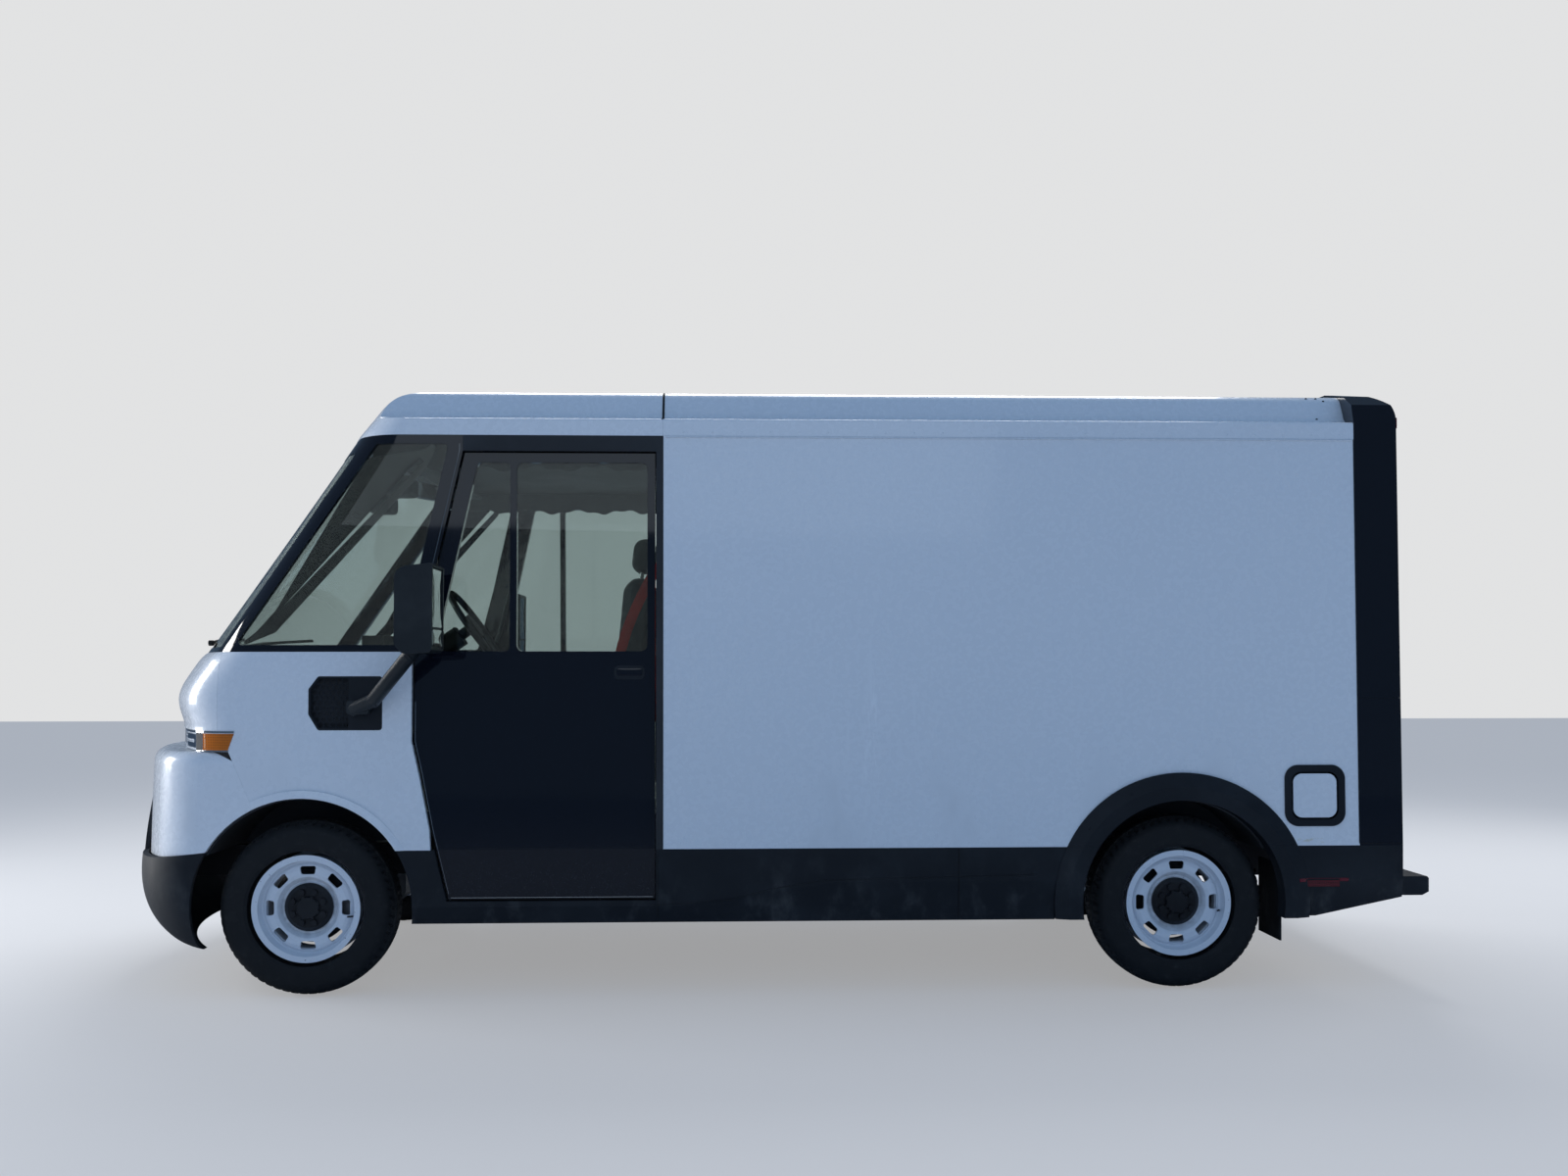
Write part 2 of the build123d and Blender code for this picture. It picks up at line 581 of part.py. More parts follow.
TUB_INNER_Y = 640.0
STEP_TREAD_Y = 700.0
FLOOR_FRONT_X = FRONT_AXLE_X + 486.0
DASH_UNDERSIDE_Z = 1060.0
LOAD_DECK_HALF = 600.0             # raised deck between the wheel boxes
LOAD_DECK_HEIGHT = 5.0


def floor():
    """Floor from cab to rear door, a raised load deck and a step inside each cab door."""
    z0 = FLOOR_Z - FLOOR_THICKNESS
    tread = DOOR_BOTTOM_Z - 5.0
    edge = wall_y(FLOOR_Z, WALL_DEPTH + SEAT_GAP)
    riser = STEP_TREAD_Y + 14.0
    half = [
        (0.0, FLOOR_Z), (riser, FLOOR_Z), (riser, tread), (edge - 5.0, tread), (edge - 5.0, tread - 14.0),
        (STEP_TREAD_Y, tread - 14.0), (STEP_TREAD_Y, z0), (0.0, z0)]
    cab = along_x(half, FLOOR_FRONT_X, DOOR_REAR_X)
    rear_x = REAR_FACE_X - REAR_POST_LENGTH
    hold = along_x([(0.0, FLOOR_Z), (edge, FLOOR_Z), (edge, z0), (0.0, z0)], DOOR_REAR_X, rear_x)
    closing = box(DOOR_REAR_X, DOOR_REAR_X + 14.0, STEP_TREAD_Y, edge - 5.0, tread - 14.0, z0)
    front = box(FLOOR_FRONT_X, FLOOR_FRONT_X + 14.0, STEP_TREAD_Y, edge - 60.0, tread - 14.0, FLOOR_Z)
    edge_y = wall_y(FLOOR_Z, SHELL + 60.0)
    toe_board = box(FLOOR_FRONT_X - 16.0, FLOOR_FRONT_X, 0.0, edge_y, z0, DASH_UNDERSIDE_Z + 100.0)
    half_floor = cab + hold + closing + front + toe_board
    deck_front_x = CARGO_FRONT_X + 40.0 + BULKHEAD_THICKNESS + 60.0
    load_deck = box(deck_front_x, rear_x, -LOAD_DECK_HALF, LOAD_DECK_HALF, FLOOR_Z, FLOOR_Z + LOAD_DECK_HEIGHT)
    deck = half_floor + mirrored(half_floor) + load_deck
    tub_top = rear_arch(REAR_ARCH_RADIUS + SEAT_GAP) & (
        box(REAR_AXLE_X - 600, REAR_AXLE_X + 600, TUB_INNER_Y - SEAT_GAP, HALF_WIDTH, 0, ROOF_Z))
    return deck - tub_top - mirrored(tub_top)


def wheel_liners():
    """Inner arches: open shells over the front and rear wheels."""
    def tub(x, z, radius, y0, y1, low):
        """One arch shell with its inner wall."""
        shell = rod_y(x, z, radius - SEAT_GAP, y0, y1) - rod_y(x, z, radius - 8.0, y0 + 8.0, y1 + 1)
        return shell & box(x - radius, x + radius, y0 - 1, y1 + 1, low, z + radius)

    above_rail = RAIL_BOTTOM_Z + RAIL_HEIGHT + 20.0
    rear_y = wall_y(PANEL_BOTTOM_Z) - FLARE_DEPTH - 1.0
    rear = tub(REAR_AXLE_X, REAR_ARCH_Z, REAR_ARCH_RADIUS, TUB_INNER_Y, rear_y, above_rail)
    front = tub(FRONT_ARCH_X, FRONT_ARCH_Z, FRONT_ARCH_RADIUS, RAIL_INNER_Y + RAIL_WIDTH + 6.0,
                HALF_WIDTH - SHELL - 6.0, above_rail)
    return pair(rear) + pair(front)


BULKHEAD_THICKNESS = 24.0
PASSAGE_HALF = 330.0
PASSAGE_TOP_Z = 2300.0
INNER_DOOR_OVERLAP = 20.0


def bulkhead():
    """Wall between cab and load space with a middle passage and a door track."""
    x0 = CARGO_FRONT_X + 40.0
    top = TRACK_Z - 6.0 - SEAT_GAP
    low_y = wall_y(FLOOR_Z, WALL_DEPTH + SEAT_GAP)
    top_y = wall_y(top, WALL_DEPTH + SEAT_GAP)
    z0 = FLOOR_Z + SEAT_GAP
    plate = along_x([(-low_y, z0), (low_y, z0), (top_y, top), (-top_y, top)], x0, x0 + BULKHEAD_THICKNESS)
    upper = box(x0, x0 + BULKHEAD_THICKNESS, -top_y + 4.0, top_y - 4.0, top, PANEL_TOP_Z + 40.0)
    passage = box(x0 - 1, x0 + 60, -PASSAGE_HALF, PASSAGE_HALF, FLOOR_Z, PASSAGE_TOP_Z)
    rail_z = PASSAGE_TOP_Z + 50.0
    rail = box(x0 + BULKHEAD_THICKNESS, x0 + BULKHEAD_THICKNESS + 34.0, -PASSAGE_HALF - 30.0, top_y - 6.0,
               rail_z, rail_z + 8.0)
    return plate + upper - passage + rail


def bulkhead_door():
    """Panel that slides behind the bulkhead, hung on its rail."""
    x0 = CARGO_FRONT_X + 40.0 + BULKHEAD_THICKNESS + RUN_GAP
    half = PASSAGE_HALF + INNER_DOOR_OVERLAP - 14.0
    rail_z = PASSAGE_TOP_Z + 50.0
    leaf = box(x0, x0 + 18.0, -half, half, FLOOR_Z + RUN_GAP, rail_z - RUN_GAP)
    window = box(x0 - 1, x0 + 19.0, -160.0, 160.0, FLOOR_Z + 800.0, FLOOR_Z + 1300.0)
    door_body = leaf - window
    for y in (-half + 60.0, half - 60.0):
        hook = box(x0 + 30.0, x0 + 36.0, y - 25.0, y + 25.0, rail_z - 60.0, rail_z + 40.0)
        foot = box(x0 + 18.0, x0 + 36.0, y - 25.0, y + 25.0, rail_z - 60.0, rail_z - 40.0)
        wheel = Pos(x0 + 22.0, y, rail_z + 8.0 + SEAT_GAP + 12.0) * Rot(0, 90, 0) * Cylinder(12.0, 16.0)
        door_body = door_body + hook + foot + wheel
    return door_body


# ---------------------------------------------------------------- skirts and rear
CREASE_FRONT_Z = 400.0
CREASE_REAR_Z = 500.0
SKIRT_TUCK = 24.0                  # lower edge inboard of the crease
SKIRT_THICKNESS = 26.0
SKIRT_SEAM_X = FRONT_AXLE_X + 2883.0
FLARE_PROUD = 24.0
FLARE_DEPTH = 60.0                 # ring behind the outer face


def skirt_section(crease_z, bottom=SKIRT_Z):
    """(Y, Z) section of a skirt with its crease at a given height."""
    y, t = HALF_WIDTH, SKIRT_THICKNESS
    return [
        (y, PANEL_BOTTOM_Z), (y, crease_z), (y - SKIRT_TUCK, bottom), (y - SKIRT_TUCK - t, bottom),
        (y - t, crease_z), (y - t, PANEL_BOTTOM_Z)]


def side_skirts():
    """Black skirts between the wheels, their crease rising behind the door."""
    x_rise, x_top = CARGO_FRONT_X + 60.0, CARGO_FRONT_X + 760.0
    x_end = REAR_AXLE_X - 470.0
    low, high = skirt_section(CREASE_FRONT_Z), skirt_section(CREASE_REAR_Z)
    ramp = loft([Plane.YZ.offset(x_rise) * outline(low), Plane.YZ.offset(x_top) * outline(high)], ruled=True)
    skirt = along_x(low, FRONT_AXLE_X + 300.0, x_rise) + ramp + along_x(high, x_top, x_end)
    front_edge = door_edge(-DOOR_EDGE_GAP, DOOR_BOTTOM_Z, PANEL_BOTTOM_Z)
    low_z, high_z = DOOR_BOTTOM_Z - 5.0, PANEL_BOTTOM_Z + 10.0
    rear_edge_x = DOOR_REAR_X + DOOR_EDGE_GAP
    opening = [(front_edge[0][0], low_z)] + front_edge + [
        (FRONT_AXLE_X + 576.0 - DOOR_EDGE_GAP, high_z), (rear_edge_x, high_z), (rear_edge_x, low_z)]
    skirt = skirt - front_arch() - rear_arch(FLARE_GAP_RADIUS) - through(outline(opening))
    ledge_y = wall_y(FLOOR_Z, WALL_DEPTH) - 5.0
    ledge = box(FRONT_AXLE_X + 640.0, DOOR_REAR_X, ledge_y, HALF_WIDTH - SKIRT_THICKNESS,
                DOOR_BOTTOM_Z - 21.0, DOOR_BOTTOM_Z - RUN_GAP)
    pocket_y = HALF_WIDTH - DOOR_DEPTH + RUN_GAP - 1.0
    pocket = box(DOOR_REAR_X - 1.0, DOOR_REAR_X + DOOR_TRAVEL + RUN_GAP, 0, pocket_y,
                 DOOR_BOTTOM_Z - RUN_GAP, PANEL_BOTTOM_Z + 1.0)
    seam = box(SKIRT_SEAM_X - PANEL_GAP / 2, SKIRT_SEAM_X + PANEL_GAP / 2, 0, 2 * HALF_WIDTH, 0, 1000)
    return pair((skirt + ledge) - pocket - seam)


def flare_ring():
    """Moulded ring over a rear wheel, bevelled at its outer rim."""
    y0, y1 = HALF_WIDTH - FLARE_DEPTH, HALF_WIDTH + FLARE_PROUD
    ring = rod_y(REAR_AXLE_X, REAR_ARCH_Z, REAR_FLARE_RADIUS, y0, y1)
    rim = ring.edges().filter_by(GeomType.CIRCLE).sort_by(Axis.Y)[-1]
    ring = chamfer(rim, 22.0, 60.0)
    return ring - rear_arch(REAR_ARCH_RADIUS)


def rear_flares():
    """Black flares above the skirt line."""
    above = box(REAR_AXLE_X - 700, REAR_AXLE_X + 700, 0, 2 * HALF_WIDTH, PANEL_BOTTOM_Z + 6.0, 1200)
    return pair(flare_ring() & above)


def rear_skirts():
    """Black quarters behind and just ahead of the rear wheels, below the flares."""
    rear_low = [
        (REAR_AXLE_X + 300.0, 329.0), (REAR_AXLE_X + 610.0, 333.0), (REAR_AXLE_X + 850.0, 385.0),
        (REAR_FACE_X, 417.0), (REAR_FACE_X, PANEL_BOTTOM_Z), (REAR_AXLE_X + 300.0, PANEL_BOTTOM_Z)]
    quarter = along_x(skirt_section(CREASE_REAR_Z, 329.0), REAR_AXLE_X + 300.0, REAR_FACE_X)
    quarter = quarter & through(outline(rear_low))
    quarter = quarter - rear_arch(FLARE_GAP_RADIUS)
    below = box(REAR_AXLE_X - 700, REAR_AXLE_X + 700, 0, 2 * HALF_WIDTH, 330.0, PANEL_BOTTOM_Z + 5.5)
    ahead = box(REAR_AXLE_X - 700, REAR_AXLE_X, 0, 2 * HALF_WIDTH, 0, 1000)
    foot = (flare_ring() & below) - ahead
    front_foot = (flare_ring() & below) & ahead
    marker = box(CHARGE_X - 130.0, CHARGE_X + 110.0, HALF_WIDTH - 9.0, HALF_WIDTH + 5.0, 466.0, 496.0)
    return pair(quarter + foot - marker) + pair(front_foot)


# ---------------------------------------------------------------- rear end
REAR_OPENING_TOP_Z = 2330.0
REAR_POST = 120.0                  # width of a rear post, inboard from the outer face
SHUTTER_X = REAR_FACE_X - 70.0     # outer plane of the shutter
SLAT_BULGE = 7.0
CAP_SEAM_Z = 1310.0
SHOULDER_Z = 2560.0                # where the cap starts to round over


def rear_side_profile():
    """(X, Z) outline of the rear cap: upright face, round shoulder, sloping top."""
    x0, x1 = CARGO_REAR_X + PANEL_GAP / 2, REAR_FACE_X
    z0 = PANEL_BOTTOM_Z + PANEL_GAP
    top = ROOF_Z + 6.0
    lines = [
        Line((x0, z0), (x1, z0)),
        Line((x1, z0), (x1, SHOULDER_Z)),
        ThreePointArc((x1, SHOULDER_Z), (x1 - 14.0, 2640.0), (x1 - 60.0, 2686.0)),
        Line((x1 - 60.0, 2686.0), (x0, top)),
        Line((x0, top), (x0, z0))]
    return make_face(lines)


def rear_frame():
    """Black portal round the rear door, in one upper bow and two lower posts."""
    z0 = PANEL_BOTTOM_Z + PANEL_GAP
    brow = wall_y(SHOULDER_Z)
    body = Plane.YZ.offset(CARGO_REAR_X) * outline([
        (0.0, z0), (wall_y(z0), z0), (brow, SHOULDER_Z), (brow - 22.0, 2640.0),
        (brow - 110.0, ROOF_Z - 56.0), (brow - 300.0, ROOF_Z - 14.0), (0.0, ROOF_Z + 6.0)])
    half = extrude(body, amount=400.0) & through(rear_side_profile())
    clear_y = wall_y(REAR_OPENING_TOP_Z, REAR_POST)
    door_hole = box(CARGO_REAR_X - 1, REAR_FACE_X + 1, -1.0, clear_y, z0 - 1, REAR_OPENING_TOP_Z)
    attic = along_x([
        (-1.0, REAR_OPENING_TOP_Z - 1), (clear_y, REAR_OPENING_TOP_Z - 1), (clear_y, 2530.0),
        (700.0, 2670.0), (-1.0, 2700.0)],
        CARGO_REAR_X - 1, SHUTTER_X + SLAT_BULGE + SEAT_GAP)
    low, high = z0 - 1, TRACK_Z - 5.0
    pocket = along_x([
        (wall_y(low, OUTER_SKIN), low), (clear_y - 1, low), (clear_y - 1, high), (wall_y(high, OUTER_SKIN), high)],
        CARGO_REAR_X - 1, REAR_FACE_X - REAR_POST_LENGTH + SEAT_GAP)
    half = half - door_hole - attic - pocket
    guide = box(SHUTTER_X - 40.0, SHUTTER_X - 32.0, clear_y - 30.0, clear_y + 1.0,
                FLOOR_Z + SEAT_GAP, REAR_OPENING_TOP_Z)
    half = half + guide
    seam = box(CARGO_REAR_X, REAR_FACE_X + 10, 0, 2 * HALF_WIDTH, CAP_SEAM_Z, CAP_SEAM_Z + PANEL_GAP)
    return (half + mirrored(half)) - seam - mirrored(seam)


SLATS = 22


def roll_up_door():
    """Shutter of hinged slats, closed, with its bottom bar and lifting handle."""
    x = SHUTTER_X
    z0 = FLOOR_Z + SEAT_GAP
    top = REAR_OPENING_TOP_Z + 30.0
    pitch = (top - z0) / SLATS
    thick = 16.0
    lines = []
    for n in range(SLATS):
        low, high = z0 + n * pitch, z0 + (n + 1) * pitch
        lines.append(ThreePointArc((x, low), (x + SLAT_BULGE, (low + high) / 2), (x, high)))
    back = x - thick
    lines += [Line((x, top), (back, top)), Line((back, top), (back, z0)), Line((back, z0), (x, z0))]
    half = wall_y(REAR_OPENING_TOP_Z, REAR_POST) - SEAT_GAP
    curtain = along_y(make_face(lines), -half, half)
    handle = box(x - 2, x + 30.0, -90.0, 90.0, z0 + 70.0, z0 + 84.0) - box(
        x + 9.0, x + 22.0, -74.0, 74.0, z0 + 60.0, z0 + 90.0)
    bar = box(back, x + 12.0, -half, half, z0, z0 + 40.0)
    return curtain + handle + bar


def rear_lamps():
    """Upright tail lamps on the posts, a high brake lamp and the side markers."""
    x = REAR_FACE_X + SEAT_GAP
    lamp = wall(900.0, 1230.0, 30.0, 66.0, x, x + 14.0)
    high = box(x, x + 12.0, -220.0, 220.0, 2470.0, 2500.0)
    marker = box(CHARGE_X - 129.5, CHARGE_X + 109.5, HALF_WIDTH - 8.5, HALF_WIDTH + 1.5, 466.5, 495.5)
    return pair(lamp) + high.solids() + pair(marker)


STEP_TOP_Z = 505.0


def rear_step():
    """Black step bumper the full width of the van."""
    x0, x1 = REAR_FACE_X + SEAT_GAP, REAR_AXLE_X + REAR_OVERHANG
    top = STEP_TOP_Z
    profile = outline([
        (x0 - 60.0, 420.0), (x1 - 30.0, 420.0), (x1, 436.0), (x1, top - 8.0), (x1 - 8.0, top), (x0, top),
        (x0, PANEL_BOTTOM_Z - 6.0), (x0 - 30.0, PANEL_BOTTOM_Z - 6.0), (x0 - 30.0, 452.0), (x0 - 60.0, 452.0)])
    deck = along_y(profile, -HALF_WIDTH + 34.0, HALF_WIDTH - 34.0)
    notch = box(x0 - 80.0, x0, HALF_WIDTH - 60.0, HALF_WIDTH, 300.0, 700.0)
    clear_y = wall_y(REAR_OPENING_TOP_Z, REAR_POST) - SEAT_GAP
    sill_top = FLOOR_Z - FLOOR_THICKNESS - SEAT_GAP
    sill = box(REAR_FACE_X - REAR_POST_LENGTH + 1.0, x0 - 30.0, -clear_y, clear_y, FLOOR_Z - 130.0, sill_top)
    web = box(x0 - 30.0, x0 - 4.0, -clear_y, clear_y, PANEL_BOTTOM_Z - 6.0, sill_top)
    return deck - notch - mirrored(notch) + sill + web


def mud_flaps():
    """Rubber flaps behind the rear wheels."""
    x = REAR_AXLE_X + REAR_ARCH_RADIUS + 7.0
    flap = box(x, x + 8.0, 740.0, HALF_WIDTH - 60.0 - SEAT_GAP, 215.0, 560.0)
    return pair(flap)


CHARGE_HINGE_X = CHARGE_X - CHARGE_LID / 2 + 36.0
CHARGE_HINGE_DEPTH = 12.0          # hinge pin behind the outer face
CHARGE_POCKET = 58.0
CHARGE_LUG_Z = 40.0


def rounded(size, radius):
    """Rounded square centred on the charge port."""
    return Pos(CHARGE_X, CHARGE_Z) * RectangleRounded(size, size, radius)


def charge_port():
    """Black ring, pocket, socket and hinge pin on the driver's side."""
    y = -wall_y(CHARGE_Z)
    lip = along_y(rounded(CHARGE_RING, 62.0) - rounded(CHARGE_OPENING, 44.0), y - 5.0, y - SEAT_GAP)
    neck = along_y(rounded(CHARGE_RING - 26.0, 49.0) - rounded(CHARGE_OPENING, 44.0), y - SEAT_GAP, y + 2.0)
    tub = along_y(rounded(CHARGE_RING - 26.0, 49.0), y + 2.0, y + CHARGE_POCKET + 8.0)
    tub = tub - along_y(rounded(CHARGE_OPENING + 14.0, 46.0), y + 2.0, y + CHARGE_POCKET)
    socket = rod_y(CHARGE_X + 10.0, CHARGE_Z + 6.0, 34.0, y + CHARGE_POCKET - 18.0, y + CHARGE_POCKET + 1.0)
    for dx, dz in ((-12.0, 8.0), (12.0, 8.0), (0.0, -12.0)):
        socket = socket - rod_y(CHARGE_X + 10.0 + dx, CHARGE_Z + 6.0 + dz, 6.0, y, y + CHARGE_POCKET - 4.0)
    pin_y = y + CHARGE_HINGE_DEPTH
    pin = rod_z(CHARGE_HINGE_X, pin_y, 3.0, CHARGE_Z - 108.0, CHARGE_Z + 108.0)
    port = lip + neck + tub + socket + pin
    x0, x1 = CHARGE_HINGE_X - 4.0, CHARGE_HINGE_X + 4.0
    for z in (CHARGE_Z - 108.0, CHARGE_Z + 102.0):
        port = port + box(x0, x1, pin_y - 4.0, y + CHARGE_POCKET + 1.0, z, z + 6.0)
    return leaned(port, CHARGE_Z, -1)


def charge_lid():
    """White lid of the charge port with two lugs on the hinge pin."""
    y = -wall_y(CHARGE_Z)
    lid = along_y(rounded(CHARGE_LID, 40.0), y - 4.0, y + 4.0)
    pin_y = y + CHARGE_HINGE_DEPTH
    for z in (CHARGE_Z - CHARGE_LUG_Z, CHARGE_Z + CHARGE_LUG_Z - 8.0):
        lug = box(CHARGE_HINGE_X - 6.0, CHARGE_HINGE_X + 6.0, y + 3.0, pin_y, z, z + 8.0)
        lid = lid + lug + rod_z(CHARGE_HINGE_X, pin_y, 6.0, z, z + 8.0)
    bore = rod_z(CHARGE_HINGE_X, pin_y, 3.0 + SEAT_GAP, CHARGE_Z - 110.0, CHARGE_Z + 110.0)
    return leaned(lid - bore, CHARGE_Z, -1)


def headlamps():
    """Wrap-round headlamps between the two parts of the nose."""
    setback = LAMP_FORM[0][1] + 6.0
    form = ((LAMP_BOTTOM_Z + SEAT_GAP, setback), (LAMP_TOP_Z - SEAT_GAP, setback))
    shell = nose_shell(form, 60.0, FRONT_AXLE_X + 100)
    zone = box(nose_x(0), FRONT_AXLE_X, LAMP_HALF_GAP + SEAT_GAP, 2 * HALF_WIDTH, 0, 2000)
    return pair(shell & zone & front_region(-1))


# ---------------------------------------------------------------- mirrors
MIRROR_X = FRONT_AXLE_X + 550.0
MIRROR_Z = 1695.0
MIRROR_Y = 1260.0                  # middle of the head
MIRROR_HINGE_X = FRONT_AXLE_X + 250.0
MIRROR_HINGE_Y = HALF_WIDTH + 20.0
MIRROR_HINGE_Z = 1275.0


def wing_mirror():
    """Right mirror: foot on the fender, bent arm and head."""
    y = wall_y(MIRROR_HINGE_Z)
    foot_face = Pos(MIRROR_HINGE_X, MIRROR_HINGE_Z) * RectangleRounded(96.0, 58.0, 14.0)
    foot = leaned(along_y(foot_face, y - VENT_INSET + SEAT_GAP, y + 60.0), MIRROR_HINGE_Z, 1)
    bends = [
        Vector(MIRROR_HINGE_X - 20.0, y + 34.0, MIRROR_HINGE_Z - 4.0),
        Vector(MIRROR_HINGE_X + 70.0, y + 62.0, MIRROR_HINGE_Z + 34.0),
        Vector(MIRROR_X - 40.0, MIRROR_Y - 20.0, MIRROR_Z - 190.0),
        Vector(MIRROR_X, MIRROR_Y, MIRROR_Z - 120.0)]
    arm = foot
    for start, end in zip(bends, bends[1:]):
        along = (end - start).normalized()
        section = Plane(origin=start - along * 12.0, z_dir=along) * RectangleRounded(60.0, 60.0, 22.0)
        arm = arm + extrude(section, amount=(end - start).length + 24.0)
    head_face = Pos(MIRROR_X, MIRROR_Z) * outline([
        (-75.0, -150.0), (-40.0, -188.0), (80.0, -180.0), (84.0, 192.0), (-40.0, 176.0), (-72.0, 150.0)])
    head = along_y(head_face, MIRROR_Y - 125.0, MIRROR_Y + 125.0)
    head = chamfer(head.edges().filter_by(Axis.Y), 10.0)
    glass_seat = box(MIRROR_X + 76.0, MIRROR_X + 100.0, MIRROR_Y - 108.0, MIRROR_Y + 108.0,
                     MIRROR_Z - 165.0, MIRROR_Z + 175.0)
    return (arm + head) - glass_seat


# ---------------------------------------------------------------- wheels
WHEEL_OUTER_Y = WHEEL_MID_Y + TYRE_WIDTH / 2
RIM_OUTER_Y = WHEEL_OUTER_Y - RIM_LIP_INSET
RIM_INNER_Y = WHEEL_MID_Y - TYRE_WIDTH / 2 + RIM_LIP_INSET
FACE_Y = RIM_OUTER_Y - 58.0        # mounting face of the wheel disc
DISC_RIM = BEAD_RADIUS - 19.0      # where the disc is welded into the barrel
DISC_BACK = 9.0                    # thickness at the mounting face
BARREL_INNER_RADIUS = BEAD_RADIUS - 32.0
HUB_FACE_Y = FACE_Y - DISC_BACK - SEAT_GAP
HUB_BACK_Y = HUB_FACE_Y - 66.0
BRAKE_Y = (HUB_FACE_Y - 62.0, HUB_FACE_Y - 40.0)   # inner and outer face of the brake disc


def turned(lines):
    """Body of revolution about the wheel axle from (Y, radius) lines."""
    face = make_face(lines)
    return revolve(Plane.YZ * face, axis=Axis.Y)


def tyre():
    """Tyre at the origin, axle along Y, outer side at WHEEL_OUTER_Y."""
    y1 = WHEEL_OUTER_Y
    bead = BEAD_RADIUS + SEAT_GAP
    belly = (bead + TYRE_RADIUS) / 2 - 10.0
    half_tread = TYRE_WIDTH / 2 - 22.0
    m = WHEEL_MID_Y
    side = [
        (RIM_OUTER_Y - 16.0, bead), (RIM_OUTER_Y - 8.0, bead + 24.0), (y1 - 3.0, belly - 34.0),
        (y1, belly + 6.0), (y1 - 7.0, TYRE_RADIUS - 34.0), (m + half_tread, TYRE_RADIUS - 10.0),
        (m + half_tread - 22.0, TYRE_RADIUS)]
    other = [(2 * m - y, r) for y, r in reversed(side)]
    return turned(Polyline(*side, *other, close=True).edges())


def wheel():
    """White steel wheel: barrel, dished disc and eight rounded windows."""
    outer = [
        (RIM_OUTER_Y - 60.0, BEAD_RADIUS - 22.0), (RIM_OUTER_Y - 44.0, BEAD_RADIUS - 2.0),
        (RIM_OUTER_Y - 11.0, BEAD_RADIUS), (RIM_OUTER_Y - 8.0, RIM_RADIUS), (RIM_OUTER_Y, RIM_RADIUS),
        (RIM_OUTER_Y - 2.0, BEAD_RADIUS - 4.0), (RIM_OUTER_Y - 42.0, BEAD_RADIUS - 12.0),
        (RIM_OUTER_Y - 60.0, BARREL_INNER_RADIUS)]
    inner = [(2 * WHEEL_MID_Y - y, r) for y, r in reversed(outer)]
    barrel = turned(Polyline(*outer, *inner, close=True).edges())
    front = [
        (HUB_BORE, 0.0), (118.0, 0.0), (136.0, 22.0), (152.0, 27.0), (172.0, 27.0), (187.0, 21.0),
        (DISC_RIM, 10.0)]
    back = [
        (DISC_RIM, 2.0), (181.0, 17.0), (160.0, 18.0), (141.0, 14.0), (122.0, -DISC_BACK), (HUB_BORE, -DISC_BACK)]
    disc = turned(Polyline(*[(FACE_Y + y, r) for r, y in front + back], close=True).edges())
    window = outline([(-30.0, 148.0), (30.0, 148.0), (36.0, 184.0), (-36.0, 184.0)])
    window = fillet(window.vertices(), 10.0)
    cutter = along_y(window, FACE_Y - 40.0, FACE_Y + 60.0)
    for n in range(WHEEL_WINDOWS):
        disc = disc - Rot(0, 360.0 / WHEEL_WINDOWS * n, 0) * cutter
    return barrel + disc


def hub():
    """Hub with brake disc behind the wheel and the faceted black cap in front."""
    cap_y = FACE_Y + SEAT_GAP
    cap = turned(Polyline(
        (cap_y, 0), (cap_y, CAP_RADIUS), (cap_y + 9.0, CAP_RADIUS), (cap_y + 20.0, CAP_RADIUS - 17.0),
        (cap_y + 20.0, 52.0), (cap_y + 36.0, 46.0), (cap_y + 36.0, 0), close=True).edges())
    nut = Plane.XZ.offset(-cap_y - 34.0) * (Pos(0, 72.0) * RegularPolygon(15.0, 6))
    nut = extrude(nut, amount=16.0)
    for n in range(WHEEL_WINDOWS):
        cap = cap + Rot(0, 360.0 / WHEEL_WINDOWS * (n + 0.5), 0) * nut
    spigot = HUB_BORE - SEAT_GAP
    disc_in, disc_out = BRAKE_Y
    core = turned(Polyline(
        (cap_y + 1, 0), (cap_y + 1, spigot), (HUB_FACE_Y, spigot), (HUB_FACE_Y, 84.0),
        (HUB_FACE_Y - 12.0, 84.0), (HUB_FACE_Y - 12.0, 76.0), (disc_out, 76.0),
        (disc_out, DISC_RADIUS), (disc_in, DISC_RADIUS),
        (disc_in, 70.0), (HUB_BACK_Y, 70.0), (HUB_BACK_Y, 0), close=True).edges())
    return cap + core


def placed(shape, axle_x, side):
    """A wheel piece at one of the four corners; side is +1 right, -1 left."""
    piece = shape if side > 0 else mirrored(shape)
    return Pos(axle_x, 0, TYRE_RADIUS) * piece


# ---------------------------------------------------------------- running gear
KNUCKLE_TOP_Z = TYRE_RADIUS + 128.0
KNUCKLE_FOOT_Z = TYRE_RADIUS - 128.0
ARM_THICKNESS = 16.0
RACK_Z = TYRE_RADIUS - 38.0
ARM_TOP_Z = TYRE_RADIUS - 62.0     # steering arm, under the tie rod's ball
BRAKE_GAP = 5.0                    # caliper and bracket around the brake disc


